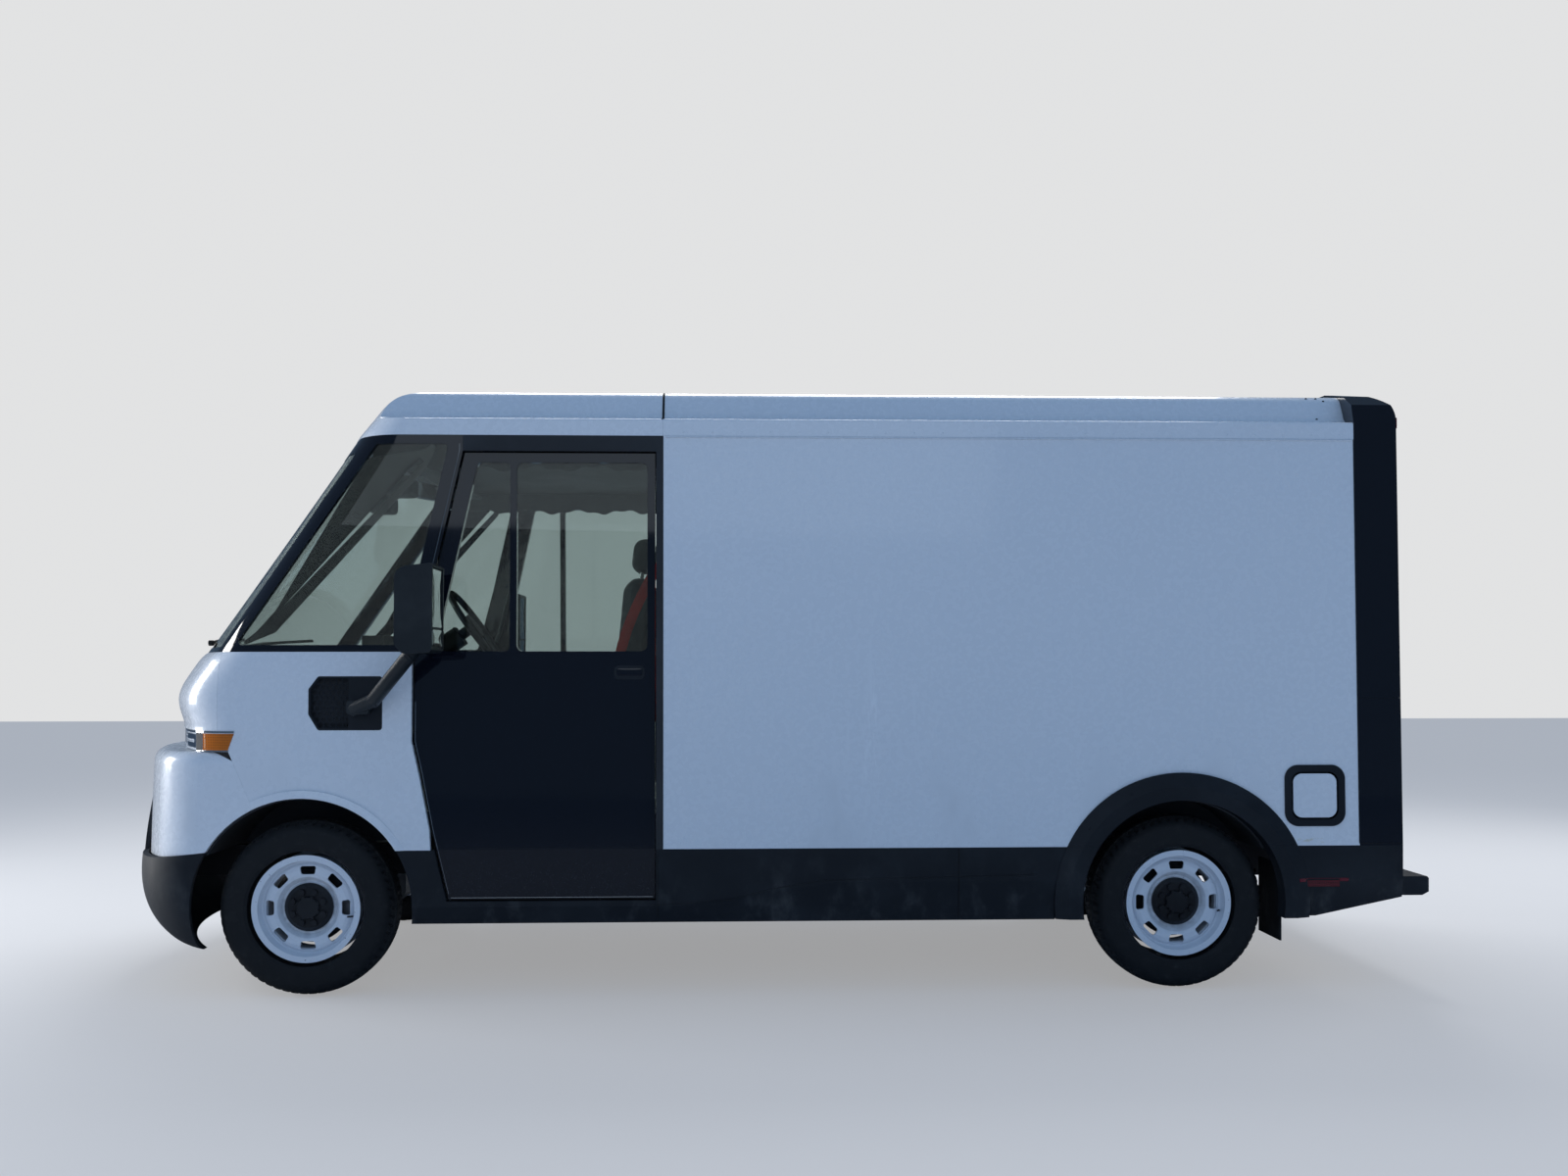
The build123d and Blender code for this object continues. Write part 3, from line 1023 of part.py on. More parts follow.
def caliper(axle_x):
    """Right brake caliper behind an axle, straddling the disc, with its bracket."""
    y0, y1 = HUB_BACK_Y - 12.0, BRAKE_Y[1] + 18.0
    block = box(axle_x + 96.0, axle_x + 186.0, y0, y1, TYRE_RADIUS - 75.0, TYRE_RADIUS + 75.0)
    slot_y0, slot_y1 = BRAKE_Y[0] - BRAKE_GAP, BRAKE_Y[1] + BRAKE_GAP
    slot = rod_y(axle_x, TYRE_RADIUS, DISC_RADIUS + BRAKE_GAP, slot_y0, slot_y1)
    block = (block - slot) & rod_y(axle_x, TYRE_RADIUS, BARREL_INNER_RADIUS - RUN_GAP, 0, 2 * HALF_WIDTH)
    bridge = box(axle_x + 20.0, axle_x + 120.0, y0 - 10.0, y0 + 8.0, TYRE_RADIUS - 30.0, TYRE_RADIUS + 30.0)
    return block + bridge


def knuckle():
    """Right front knuckle with its spindle plate, steering arm and brake caliper."""
    x = FRONT_AXLE_X
    post = rod_z(x, KINGPIN_Y, 24.0, KNUCKLE_FOOT_Z, KNUCKLE_TOP_Z)
    carrier = rod_y(x, TYRE_RADIUS, 62.0, KINGPIN_Y - 22.0, HUB_BACK_Y - SEAT_GAP)
    arm = box(x - STEER_ARM, x, KINGPIN_Y - 14.0, KINGPIN_Y + 14.0, ARM_TOP_Z - 18.0, ARM_TOP_Z)
    eye = rod_z(x - STEER_ARM, KINGPIN_Y, 18.0, ARM_TOP_Z - 18.0, ARM_TOP_Z)
    return post + carrier + arm + eye + caliper(x)


def tie_rod():
    """Rack bar across the van with a ball end above each steering arm."""
    x = FRONT_AXLE_X - STEER_ARM
    bar = rod_y(x, RACK_Z, 13.0, -KINGPIN_Y, KINGPIN_Y)
    ball = rod_z(x, KINGPIN_Y, 15.0, ARM_TOP_Z + SEAT_GAP, RACK_Z + 16.0)
    return bar + ball + mirrored(ball)


def front_subframe():
    """Crossmember with upper and lower arms, rack housing and dampers."""
    x = FRONT_AXLE_X
    beam = box(x - 60.0, x + 60.0, -RAIL_INNER_Y - RAIL_WIDTH, RAIL_INNER_Y + RAIL_WIDTH, 236.0, 262.0)
    inner = RAIL_INNER_Y + RAIL_WIDTH
    web = box(x - 50.0, x + 50.0, RAIL_INNER_Y + 10.0, inner, 262.0, RAIL_BOTTOM_Z - SEAT_GAP)
    web = web - rod_y(x, TYRE_RADIUS, 34.0, 0.0, HALF_WIDTH)
    low_z = KNUCKLE_FOOT_Z - SEAT_GAP
    high_z = KNUCKLE_TOP_Z + SEAT_GAP

    def arm_plan(root_y):
        """Plan of a suspension arm from its root to the ball joint."""
        tip_y = KINGPIN_Y + 20.0
        plan = outline([(x - 60.0, root_y), (x + 60.0, root_y), (x + 28.0, tip_y), (x - 28.0, tip_y)])
        return fillet(plan.vertices().sort_by(Axis.Y)[-2:], 18.0)

    low = Pos(0, 0, low_z - ARM_THICKNESS) * extrude(arm_plan(inner - 20.0), amount=ARM_THICKNESS)
    high = Pos(0, 0, high_z) * extrude(arm_plan(inner + SEAT_GAP), amount=ARM_THICKNESS)
    half = web + low + high
    housing = rod_y(x - STEER_ARM, RACK_Z, 30.0, -320.0, 320.0)
    housing = housing - rod_y(x - STEER_ARM, RACK_Z, 14.0, -321.0, 321.0)
    brackets = box(x - STEER_ARM - 14.0, x - 50.0, -300.0, -260.0, 250.0, TYRE_RADIUS - 60.0)
    arms = half + mirrored(half)
    return beam + arms + housing + brackets + mirrored(brackets)


def chassis_frame():
    """Ladder frame: two rails, crossmembers, floor bearers and body mounts."""
    x0 = nose_x(0.0) + 250.0
    x1 = REAR_FACE_X - 100.0
    y0, y1 = RAIL_INNER_Y, RAIL_INNER_Y + RAIL_WIDTH
    z0, z1 = RAIL_BOTTOM_Z, RAIL_BOTTOM_Z + RAIL_HEIGHT
    rail = box(x0, x1, y0, y1, z0, z1) - box(
        x0 - 1, x1 + 1, y0 - 1, y1 - RAIL_WEB, z0 + RAIL_WEB, z1 - RAIL_WEB)
    frame = rail + mirrored(rail)
    for x in (x0, FRONT_AXLE_X + 420.0, REAR_AXLE_X - 480.0, REAR_AXLE_X + 520.0, x1 - 60.0):
        frame = frame + box(x, x + 60.0, -y1 + 3.0, y1 - 3.0, z0 + 20.0, z1 - 20.0)
    bearer_top = FLOOR_Z - FLOOR_THICKNESS - SEAT_GAP
    count = 7
    first, last = FLOOR_FRONT_X + 30.0, REAR_FACE_X - 180.0
    for n in range(count):
        x = first + (last - first) * n / (count - 1)
        frame = frame + box(x - 25.0, x + 25.0, -620.0, 620.0, z1 - 3.0, bearer_top)
    bracket = box(x0, x0 + 60.0, y0, y1, z0, LAMP_BOTTOM_Z - 300.0)
    crash = box(x0 - 60.0, x0, -620.0, 620.0, z0 + 10.0, z1 - 10.0)
    return frame + bracket + mirrored(bracket) + crash


def battery_pack():
    """Closed battery tray hung between the rails."""
    x0, x1 = FRONT_AXLE_X + 560.0, REAR_AXLE_X - 560.0
    top = RAIL_BOTTOM_Z + RAIL_HEIGHT - 40.0
    tray = box(x0, x1, -RAIL_INNER_Y + 10.0, RAIL_INNER_Y - 10.0, BATTERY_BOTTOM_Z, top)
    tray = chamfer(tray.edges().filter_by(Axis.X).sort_by(Axis.Z)[:2], 30.0)
    flange = box(x0 + 60.0, x1 - 60.0, -RAIL_INNER_Y - RAIL_WIDTH, RAIL_INNER_Y + RAIL_WIDTH,
                 RAIL_BOTTOM_Z - 12.0, RAIL_BOTTOM_Z - SEAT_GAP)
    return tray + flange


def drive_unit():
    """Motor and gearbox at the front axle with its two drive shafts."""
    x = FRONT_AXLE_X
    case = box(x - 62.0, x + 270.0, -250.0, 250.0, 290.0, 560.0)
    case = fillet(case.edges().filter_by(Axis.Y), 60.0)
    shaft = rod_y(x, TYRE_RADIUS, 20.0, -KINGPIN_Y + 76.0, KINGPIN_Y - 76.0)
    boots = rod_y(x, TYRE_RADIUS, 44.0, -330.0, 330.0)
    reach = RAIL_INNER_Y + RAIL_WIDTH - RAIL_WEB - SEAT_GAP
    mounts = box(x + 150.0, x + 210.0, -reach, reach, 500.0, 540.0)
    return case + shaft + boots + mounts


SPRING_SEAT = 48.0                 # spring above the rear axle's middle


def rear_axle():
    """Beam axle with spring seats, spindles and brake calipers."""
    x = REAR_AXLE_X
    end = HUB_BACK_Y - SEAT_GAP
    beam = rod_y(x, TYRE_RADIUS, 42.0, -end, end)
    seat = box(x - 60.0, x + 60.0, RAIL_INNER_Y - 5.0, RAIL_INNER_Y + RAIL_WIDTH + 5.0,
               TYRE_RADIUS, TYRE_RADIUS + SPRING_SEAT)
    flange = rod_y(x, TYRE_RADIUS, 62.0, end - 22.0, end)
    half = seat + flange + caliper(x)
    return beam + half + mirrored(half)


def leaf_springs():
    """One leaf pack on each side, with its hangers."""
    x, z = REAR_AXLE_X, TYRE_RADIUS + SPRING_SEAT + SEAT_GAP
    y0, y1 = RAIL_INNER_Y, RAIL_INNER_Y + RAIL_WIDTH
    reach = 560.0
    spring = box(x - reach, x + reach, y0, y1, z + 2.0, z + 14.0)
    spring = spring + box(x - 300.0, x + 300.0, y0, y1, z, z + 20.0)
    for end_x in (x - reach, x + reach):
        spring = spring + box(end_x - 20.0, end_x + 20.0, y0, y1, z + 2.0, RAIL_BOTTOM_Z)
    return pair(spring)


# ---------------------------------------------------------------- cab interior
STEERING_TILT = 35.0               # column above the level
STEERING_WHEEL_RADIUS = 190.0
STEERING_X = FRONT_AXLE_X + 640.0
STEERING_Z = 1650.0
SEAT_FRONT_X = FRONT_AXLE_X + 900.0
SEAT_WIDTH = 500.0
CUSHION_Z = 1110.0


def dashboard():
    """Moulded dash across the cab, below the screen."""
    x = FRONT_AXLE_X
    profile = outline([
        (x - 640.0, 1460.0), (x - 80.0, 1506.0), (x + 215.0, 1506.0), (x + 290.0, 1462.0), (x + 285.0, 1350.0),
        (x + 190.0, 1230.0), (x + 150.0, DASH_UNDERSIDE_Z), (x + 70.0, DASH_UNDERSIDE_Z), (x + 40.0, 1200.0),
        (x - 640.0, 1240.0)])
    bar = along_y(profile, -HALF_WIDTH, HALF_WIDTH)
    plan = nose_outline(DASH_UNDERSIDE_Z - 10.0, UPPER_FORM[-1][1], SHELL + 14.0, x + 400.0)
    narrow = extrude(plan, amount=600.0)
    reach = wall_y(BELT_Z, SHELL + SEAT_GAP)
    side = box(x - 900.0, x + 500.0, -reach, reach, 0, 2000)
    binnacle = box(x + 150.0, x + 250.0, DRIVER_Y - 190.0, DRIVER_Y + 190.0, 1480.0, 1600.0)
    legs = box(x + 150.0, FLOOR_FRONT_X - 16.0 - SEAT_GAP, -120.0, 120.0,
               DASH_UNDERSIDE_Z, DASH_UNDERSIDE_Z + 60.0)
    return (bar & narrow & side) + binnacle + legs


def steering_plane(offset=0.0):
    """Plane across the steering column, offset from the wheel's middle."""
    tilt = math.radians(STEERING_TILT)
    origin = (STEERING_X, DRIVER_Y, STEERING_Z)
    plane = Plane(origin=origin, x_dir=(0, 1, 0), z_dir=(math.cos(tilt), 0, math.sin(tilt)))
    return plane.offset(offset)


def steering_column():
    """Column from the dash up to the steering wheel."""
    shaft = extrude(steering_plane(-440.0) * Circle(26.0), amount=440.0 - 22.0)
    shroud = extrude(steering_plane(-440.0) * RectangleRounded(110.0, 96.0, 24.0), amount=360.0)
    dash = Pos(SEAT_GAP, 0, 0) * dashboard()
    return shaft + shroud - dash


def steering_wheel():
    """Rim, boss and three spokes."""
    plane = steering_plane()
    section = Plane.XZ * (Pos(STEERING_WHEEL_RADIUS, 0) * RegularPolygon(15.0, 8))
    rim = plane * revolve(section, axis=Axis.Z)
    boss = extrude(steering_plane(-21.5) * Circle(62.0), amount=30.0)
    wheel_body = rim + boss
    for angle in (0.0, 180.0, 270.0):
        spoke = Pos(STEERING_WHEEL_RADIUS / 2, 0, -6.0) * Box(STEERING_WHEEL_RADIUS - 10.0, 34.0, 10.0)
        wheel_body = wheel_body + plane * (Rot(0, 0, angle) * spoke)
    return wheel_body


def seat_base():
    """Pedestal and seat frame, with the rear shell."""
    x0, x1 = SEAT_FRONT_X + 90.0, SEAT_FRONT_X + 430.0
    pedestal = box(x0, x1, DRIVER_Y - 180.0, DRIVER_Y + 180.0, FLOOR_Z + SEAT_GAP, CUSHION_Z - 40.0)
    x = SEAT_FRONT_X
    pan = box(x + 20.0, x + 520.0, DRIVER_Y - 230.0, DRIVER_Y + 230.0, CUSHION_Z - 40.0, CUSHION_Z)
    shell = along_y(outline([
        (x + 500.0, CUSHION_Z - 40.0), (x + 530.0, CUSHION_Z - 40.0), (x + 640.0, CUSHION_Z + 640.0),
        (x + 620.0, CUSHION_Z + 640.0)]), DRIVER_Y - 215.0, DRIVER_Y + 215.0)
    return pedestal + pan + shell


def seat_cushion():
    """Plain soft solid of the seat cushion."""
    cushion = box(SEAT_FRONT_X, SEAT_FRONT_X + 480.0, DRIVER_Y - SEAT_WIDTH / 2, DRIVER_Y + SEAT_WIDTH / 2,
                  CUSHION_Z + SEAT_GAP, CUSHION_Z + 120.0)
    return chamfer(cushion.edges().filter_by(Axis.Y), 30.0)


def seat_back():
    """Plain soft solid of the backrest with its headrest."""
    x = SEAT_FRONT_X
    lean = 120.0 / 680.0
    z0, z1 = CUSHION_Z + 130.0, CUSHION_Z + 700.0
    base = x + 500.0 - SEAT_GAP
    rear = [(base + lean * (z0 - CUSHION_Z + 40.0), z0), (base + lean * (z1 - CUSHION_Z + 40.0), z1)]
    rest = along_y(outline([(rear[0][0] - 110.0, z0), rear[0], rear[1], (rear[1][0] - 90.0, z1)]),
                   DRIVER_Y - 235.0, DRIVER_Y + 235.0)
    rest = chamfer(rest.edges().filter_by(Axis.Y), 24.0)
    top = z1 + 190.0
    head_x = rear[1][0] - 60.0
    head = box(head_x - 40.0, head_x + 60.0, DRIVER_Y - 130.0, DRIVER_Y + 130.0, z1 + 24.0, top)
    head = chamfer(head.edges().filter_by(Axis.Y), 24.0)
    stalks = box(head_x - 6.0, head_x + 8.0, DRIVER_Y - 60.0, DRIVER_Y - 48.0, z1 - 20.0, z1 + 40.0)
    other = box(head_x - 6.0, head_x + 8.0, DRIVER_Y + 48.0, DRIVER_Y + 60.0, z1 - 20.0, z1 + 40.0)
    return rest + head + stalks + other


# ---------------------------------------------------------------- write all pieces
def main():
    """Build and write every node."""
    right_door = door()
    panes = door_glass()
    right_knuckle = knuckle()
    pieces = {
        "chassis_frame": chassis_frame(), "battery_pack": battery_pack(), "drive_unit": drive_unit(),
        "front_subframe": front_subframe(), "rear_axle": rear_axle(), "leaf_springs": leaf_springs(),
        "knuckle_right": right_knuckle, "knuckle_left": mirrored(right_knuckle), "tie_rod": tie_rod(),
        "front_fascia": front_fascia(), "lower_fascia": lower_fascia(), "front_bumper": front_bumper(),
        "front_fenders": front_fenders(), "wheel_liners": wheel_liners(), "windshield": windshield(),
        "windshield_surround": windshield_surround(), "quarter_windows": quarter_windows(),
        "door_frames": door_frames(), "door_right": right_door, "door_left": mirrored(right_door),
        "door_windows_right": panes, "door_windows_left": [mirrored(p) for p in panes],
        "cab_roof": cab_roof(), "cargo_roof": cargo_roof(), "cargo_side_panels": cargo_side_panels(),
        "cargo_liners": cargo_liners(), "floor": floor(),
        "bulkhead": bulkhead(), "bulkhead_door": bulkhead_door(),
        "side_skirts": side_skirts(), "rear_flares": rear_flares(), "rear_skirts": rear_skirts(),
        "rear_frame": rear_frame(), "roll_up_door": roll_up_door(),
        "rear_lamps": rear_lamps(), "rear_step": rear_step(), "mud_flaps": mud_flaps(),
        "charge_port": charge_port(), "charge_lid": charge_lid(), "headlamps": headlamps(),
        "fender_vents": fender_vents(), "mirrors": pair(wing_mirror()), "dashboard": dashboard(),
        "steering_column": steering_column(), "steering_wheel": steering_wheel(), "seat_base": seat_base(),
        "seat_cushion": seat_cushion(), "seat_back": seat_back(),
    }
    shapes = {"tyre": tyre(), "wheel": wheel(), "hub": hub()}
    for kind, shape in shapes.items():
        for end, axle_x in (("front", FRONT_AXLE_X), ("rear", REAR_AXLE_X)):
            for hand, side in (("left", -1), ("right", 1)):
                pieces[f"{kind}_{end}_{hand}"] = placed(shape, axle_x, side)
    for name, piece in pieces.items():
        save(name, piece)


if __name__ == "__main__":
    main()
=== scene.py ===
"""Electric delivery van: finishes, fittings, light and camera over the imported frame."""

import json
import logging
import math
from dataclasses import dataclass
from enum import Enum
from typing import Callable, Sequence

import bmesh
import bpy
import numpy as np
from mathutils import Matrix, Vector
from mathutils.bvhtree import BVHTree


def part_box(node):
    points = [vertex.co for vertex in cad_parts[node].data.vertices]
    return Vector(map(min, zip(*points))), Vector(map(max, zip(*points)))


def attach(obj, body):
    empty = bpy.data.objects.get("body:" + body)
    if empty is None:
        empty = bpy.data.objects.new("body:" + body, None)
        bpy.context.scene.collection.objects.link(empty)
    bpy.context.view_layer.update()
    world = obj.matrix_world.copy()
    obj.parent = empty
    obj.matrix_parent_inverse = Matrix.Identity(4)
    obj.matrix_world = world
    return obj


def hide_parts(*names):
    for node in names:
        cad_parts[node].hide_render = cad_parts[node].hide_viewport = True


LOG = logging.getLogger("van")
Colour = tuple[float, float, float]
Point = tuple[float, float, float]

FRONT_AXLE_X = -2.022
REAR_AXLE_X = 1.864
AXLE_Z = 0.388
SMOOTH_BELOW = math.radians(35.0)  # edges sharper than this stay sharp
HALF_WIDTH = 1.050  # at the foot of the side panels
TUMBLEHOME = 0.060  # how far a side leans in over its height
PANEL_FOOT_Z = 0.650
PANEL_HEIGHT = 1.830
DRIVER_Y = -0.430

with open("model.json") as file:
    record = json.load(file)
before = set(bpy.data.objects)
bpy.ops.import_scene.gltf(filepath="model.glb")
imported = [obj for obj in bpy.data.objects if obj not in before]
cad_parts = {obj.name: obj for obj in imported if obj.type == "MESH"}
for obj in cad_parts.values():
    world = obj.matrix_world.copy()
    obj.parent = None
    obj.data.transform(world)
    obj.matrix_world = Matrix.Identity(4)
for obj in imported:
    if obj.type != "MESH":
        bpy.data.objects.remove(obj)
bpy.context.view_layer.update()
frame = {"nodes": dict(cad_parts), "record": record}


# ------------------------------------------------------------------ shader tools
class Value:
    """A shader socket that takes part in arithmetic on single numbers."""

    def __init__(self, shader: "Shader", socket: bpy.types.NodeSocket) -> None:
        """Keep the socket and the shader it belongs to."""
        self.shader = shader
        self.socket = socket

    def _math(self, operation: str, *operands: object, clamp: bool = False) -> "Value":
        """Add a Math node.

        Args:
            operation: the Math node's operation.
            operands: numbers or values, in socket order.
            clamp: whether the result is held between 0 and 1.

        Returns:
            The node's result.
        """
        node = self.shader.node("ShaderNodeMath", {"operation": operation, "use_clamp": clamp},
                                dict(enumerate(operands)))
        return Value(self.shader, node.outputs[0])

    def __add__(self, other: object) -> "Value":
        """Sum."""
        return self._math("ADD", self, other)

    def __radd__(self, other: object) -> "Value":
        """Sum with a number on the left."""
        return self._math("ADD", other, self)

    def __sub__(self, other: object) -> "Value":
        """Difference."""
        return self._math("SUBTRACT", self, other)

    def __rsub__(self, other: object) -> "Value":
        """Difference with a number on the left."""
        return self._math("SUBTRACT", other, self)

    def __mul__(self, other: object) -> "Value":
        """Product."""
        return self._math("MULTIPLY", self, other)

    def __rmul__(self, other: object) -> "Value":
        """Product with a number on the left."""
        return self._math("MULTIPLY", other, self)

    def __truediv__(self, other: object) -> "Value":
        """Quotient."""
        return self._math("DIVIDE", self, other)

    def __neg__(self) -> "Value":
        """Negative."""
        return self._math("MULTIPLY", self, -1.0)

    def __abs__(self) -> "Value":
        """Absolute value."""
        return self._math("ABSOLUTE", self)

    def sin(self) -> "Value":
        """Sine of an angle in radians."""
        return self._math("SINE", self)

    def least(self, other: object) -> "Value":
        """Smaller of two values."""
        return self._math("MINIMUM", self, other)

    def clamped(self) -> "Value":
        """Held between 0 and 1."""
        return self._math("ADD", self, 0.0, clamp=True)

    def rise(self, low: float, high: float) -> "Value":
        """Smooth step from 0 at low to 1 at high.

        Args:
            low: where the step starts.
            high: where it ends, which may be below low for a falling step.

        Returns:
            The step's height.
        """
        node = self.shader.node(
            "ShaderNodeMapRange", {"interpolation_type": "SMOOTHSTEP", "clamp": True},
            {"Value": self, "From Min": low, "From Max": high})
        return Value(self.shader, node.outputs[0])

    def within(self, low: float, high: float, soft: float = 0.002) -> "Value":
        """1 between two limits and 0 outside, with a soft edge."""
        return self.rise(low - soft, low + soft) * (1.0 - self.rise(high - soft, high + soft))


class Shader:
    """A material that is built node by node."""

    def __init__(self, name: str) -> None:
        """Start an empty material with this name."""
        self.material = bpy.data.materials.new(name)
        self.material.use_nodes = True
        self.tree = self.material.node_tree
        self.tree.nodes.clear()
        self.output = self.tree.nodes.new("ShaderNodeOutputMaterial")
        self._place: tuple[Value, Value, Value] | None = None

    def node(self, kind: str, settings: dict[str, object] | None = None,
             sockets: dict[object, object] | None = None) -> bpy.types.Node:
        """Add a node.

        Args:
            kind: the node's type.
            settings: properties, set first.
            sockets: values or links, by socket name or number.

        Returns:
            The new node.
        """
        made = self.tree.nodes.new(kind)
        for key, setting in (settings or {}).items():
            setattr(made, key, setting)
        for key, content in (sockets or {}).items():
            socket = made.inputs[key]
            if isinstance(content, Value):
                self.tree.links.new(content.socket, socket)
            elif isinstance(content, bpy.types.NodeSocket):
                self.tree.links.new(content, socket)
            elif isinstance(content, tuple) and len(content) == 3 and socket.type == "RGBA":
                socket.default_value = (*content, 1.0)
            else:
                socket.default_value = content
        return made

    def place(self) -> tuple[Value, Value, Value]:
        """Object coordinates along the van, across it and up, in metres."""
        if self._place is None:
            coords = self.node("ShaderNodeTexCoord")
            split = self.node("ShaderNodeSeparateXYZ", sockets={0: coords.outputs["Object"]})
            self._place = tuple(Value(self, socket) for socket in split.outputs)
        return self._place

    def point(self, x: object, y: object, z: object) -> bpy.types.NodeSocket:
        """Vector socket from three values."""
        return self.node("ShaderNodeCombineXYZ", sockets={0: x, 1: y, 2: z}).outputs[0]

    def stretched(self, stretch: Point, shift: Point = (0.0, 0.0, 0.0)) -> bpy.types.NodeSocket:
        """Object coordinates scaled along each axis, then moved."""
        x, y, z = self.place()
        return self.point(x * stretch[0] + shift[0], y * stretch[1] + shift[1], z * stretch[2] + shift[2])

    def noise(self, scale: float, detail: float = 2.0, rough: float = 0.5,
              stretch: Point = (1.0, 1.0, 1.0), shift: Point = (0.0, 0.0, 0.0)) -> Value:
        """Cloudy noise in object space, about 0.5 on average.

        Args:
            scale: cells per metre.
            detail: octaves.
            rough: weight of each finer octave.
            stretch: extra scale along each axis.
            shift: offset, so that two noises differ.

        Returns:
            The noise value.
        """
        made = self.node("ShaderNodeTexNoise", sockets={
            "Vector": self.stretched(stretch, shift), "Scale": scale, "Detail": detail, "Roughness": rough})
        return Value(self, made.outputs[0])

    def cells(self, scale: float, feature: str = "F1", stretch: Point = (1.0, 1.0, 1.0),
              randomness: float = 1.0) -> Value:
        """Distance in a field of scattered cells.

        Args:
            scale: cells per metre.
            feature: which distance is given, F1 or DISTANCE_TO_EDGE.
            stretch: extra scale along each axis.
            randomness: 0 for a grid, 1 for scattered cells.

        Returns:
            The distance.
        """
        made = self.node("ShaderNodeTexVoronoi", {"feature": feature}, {
            "Vector": self.stretched(stretch), "Scale": scale, "Randomness": randomness})
        return Value(self, made.outputs["Distance"])

    def mix(self, amount: object, first: object, second: object) -> bpy.types.NodeSocket:
        """Colour between two colours.

        Args:
            amount: 0 gives the first, 1 the second.
            first: colour or socket.
            second: colour or socket.

        Returns:
            The mixed colour's socket.
        """
        made = self.node("ShaderNodeMix", {"data_type": "RGBA"}, {0: amount, 6: first, 7: second})
        return made.outputs[2]

    def bump(self, height: Value, depth: float, strength: float = 1.0) -> bpy.types.NodeSocket:
        """Normal for a height map whose value 1 stands a depth in metres above 0."""
        made = self.node("ShaderNodeBump", sockets={"Strength": strength, "Distance": depth, "Height": height})
        return made.outputs[0]

    def surface(self, colour: object, roughness: object, normal: object | None = None,
                **constants: object) -> bpy.types.Node:
        """Add the Principled shader.

        Args:
            colour: base colour or socket.
            roughness: number, value or socket.
            normal: normal socket, or None.
            constants: other sockets by name, with _ for a space.

        Returns:
            The shader node.
        """
        sockets = {"Base Color": colour, "Roughness": roughness}
        sockets.update({key.replace("_", " "): content for key, content in constants.items()})
        if normal is not None:
            sockets["Normal"] = normal
        return self.node("ShaderNodeBsdfPrincipled", sockets=sockets)

    def done(self, shader: bpy.types.Node) -> bpy.types.Material:
        """Send a shader node to the output and give the material."""
        self.tree.links.new(shader.outputs[0], self.output.inputs["Surface"])
        return self.material


# ------------------------------------------------------------------ finishes
class Finish(Enum):
    """Finishes by name, as the record's slots and the new pieces use them."""

    WHITE_PAINT = "white_paint"
    BLACK_PANEL = "black_panel"
    DARK_PLASTIC = "dark_plastic"
    GLASS = "glass"
    WHEEL_PAINT = "wheel_paint"
    HUB_CAP = "hub_cap"
    TYRE = "tyre"
    CHASSIS_STEEL = "chassis_steel"
    MACHINED_STEEL = "machined_steel"
    FLOOR_ALLOY = "floor_alloy"
    BATTERY_CASE = "battery_case"
    WALL_BOARD = "wall_board"
    SHUTTER = "shutter"
    LAMP_CLEAR = "lamp_clear"
    LAMP_RED = "lamp_red"
    CAB_TRIM = "cab_trim"
    SEAT_FABRIC = "seat_fabric"
    RUBBER = "rubber"
    CHROME = "chrome"
    AMBER = "amber"
    SEAM = "seam"
    MIRROR_GLASS = "mirror_glass"
    BELT = "belt"
    SCREEN_FRIT = "screen_frit"
    SCREEN = "screen"
    MIRROR_ARM = "mirror_arm"
    RED_LENS = "red_lens"
    STAGE = "stage"


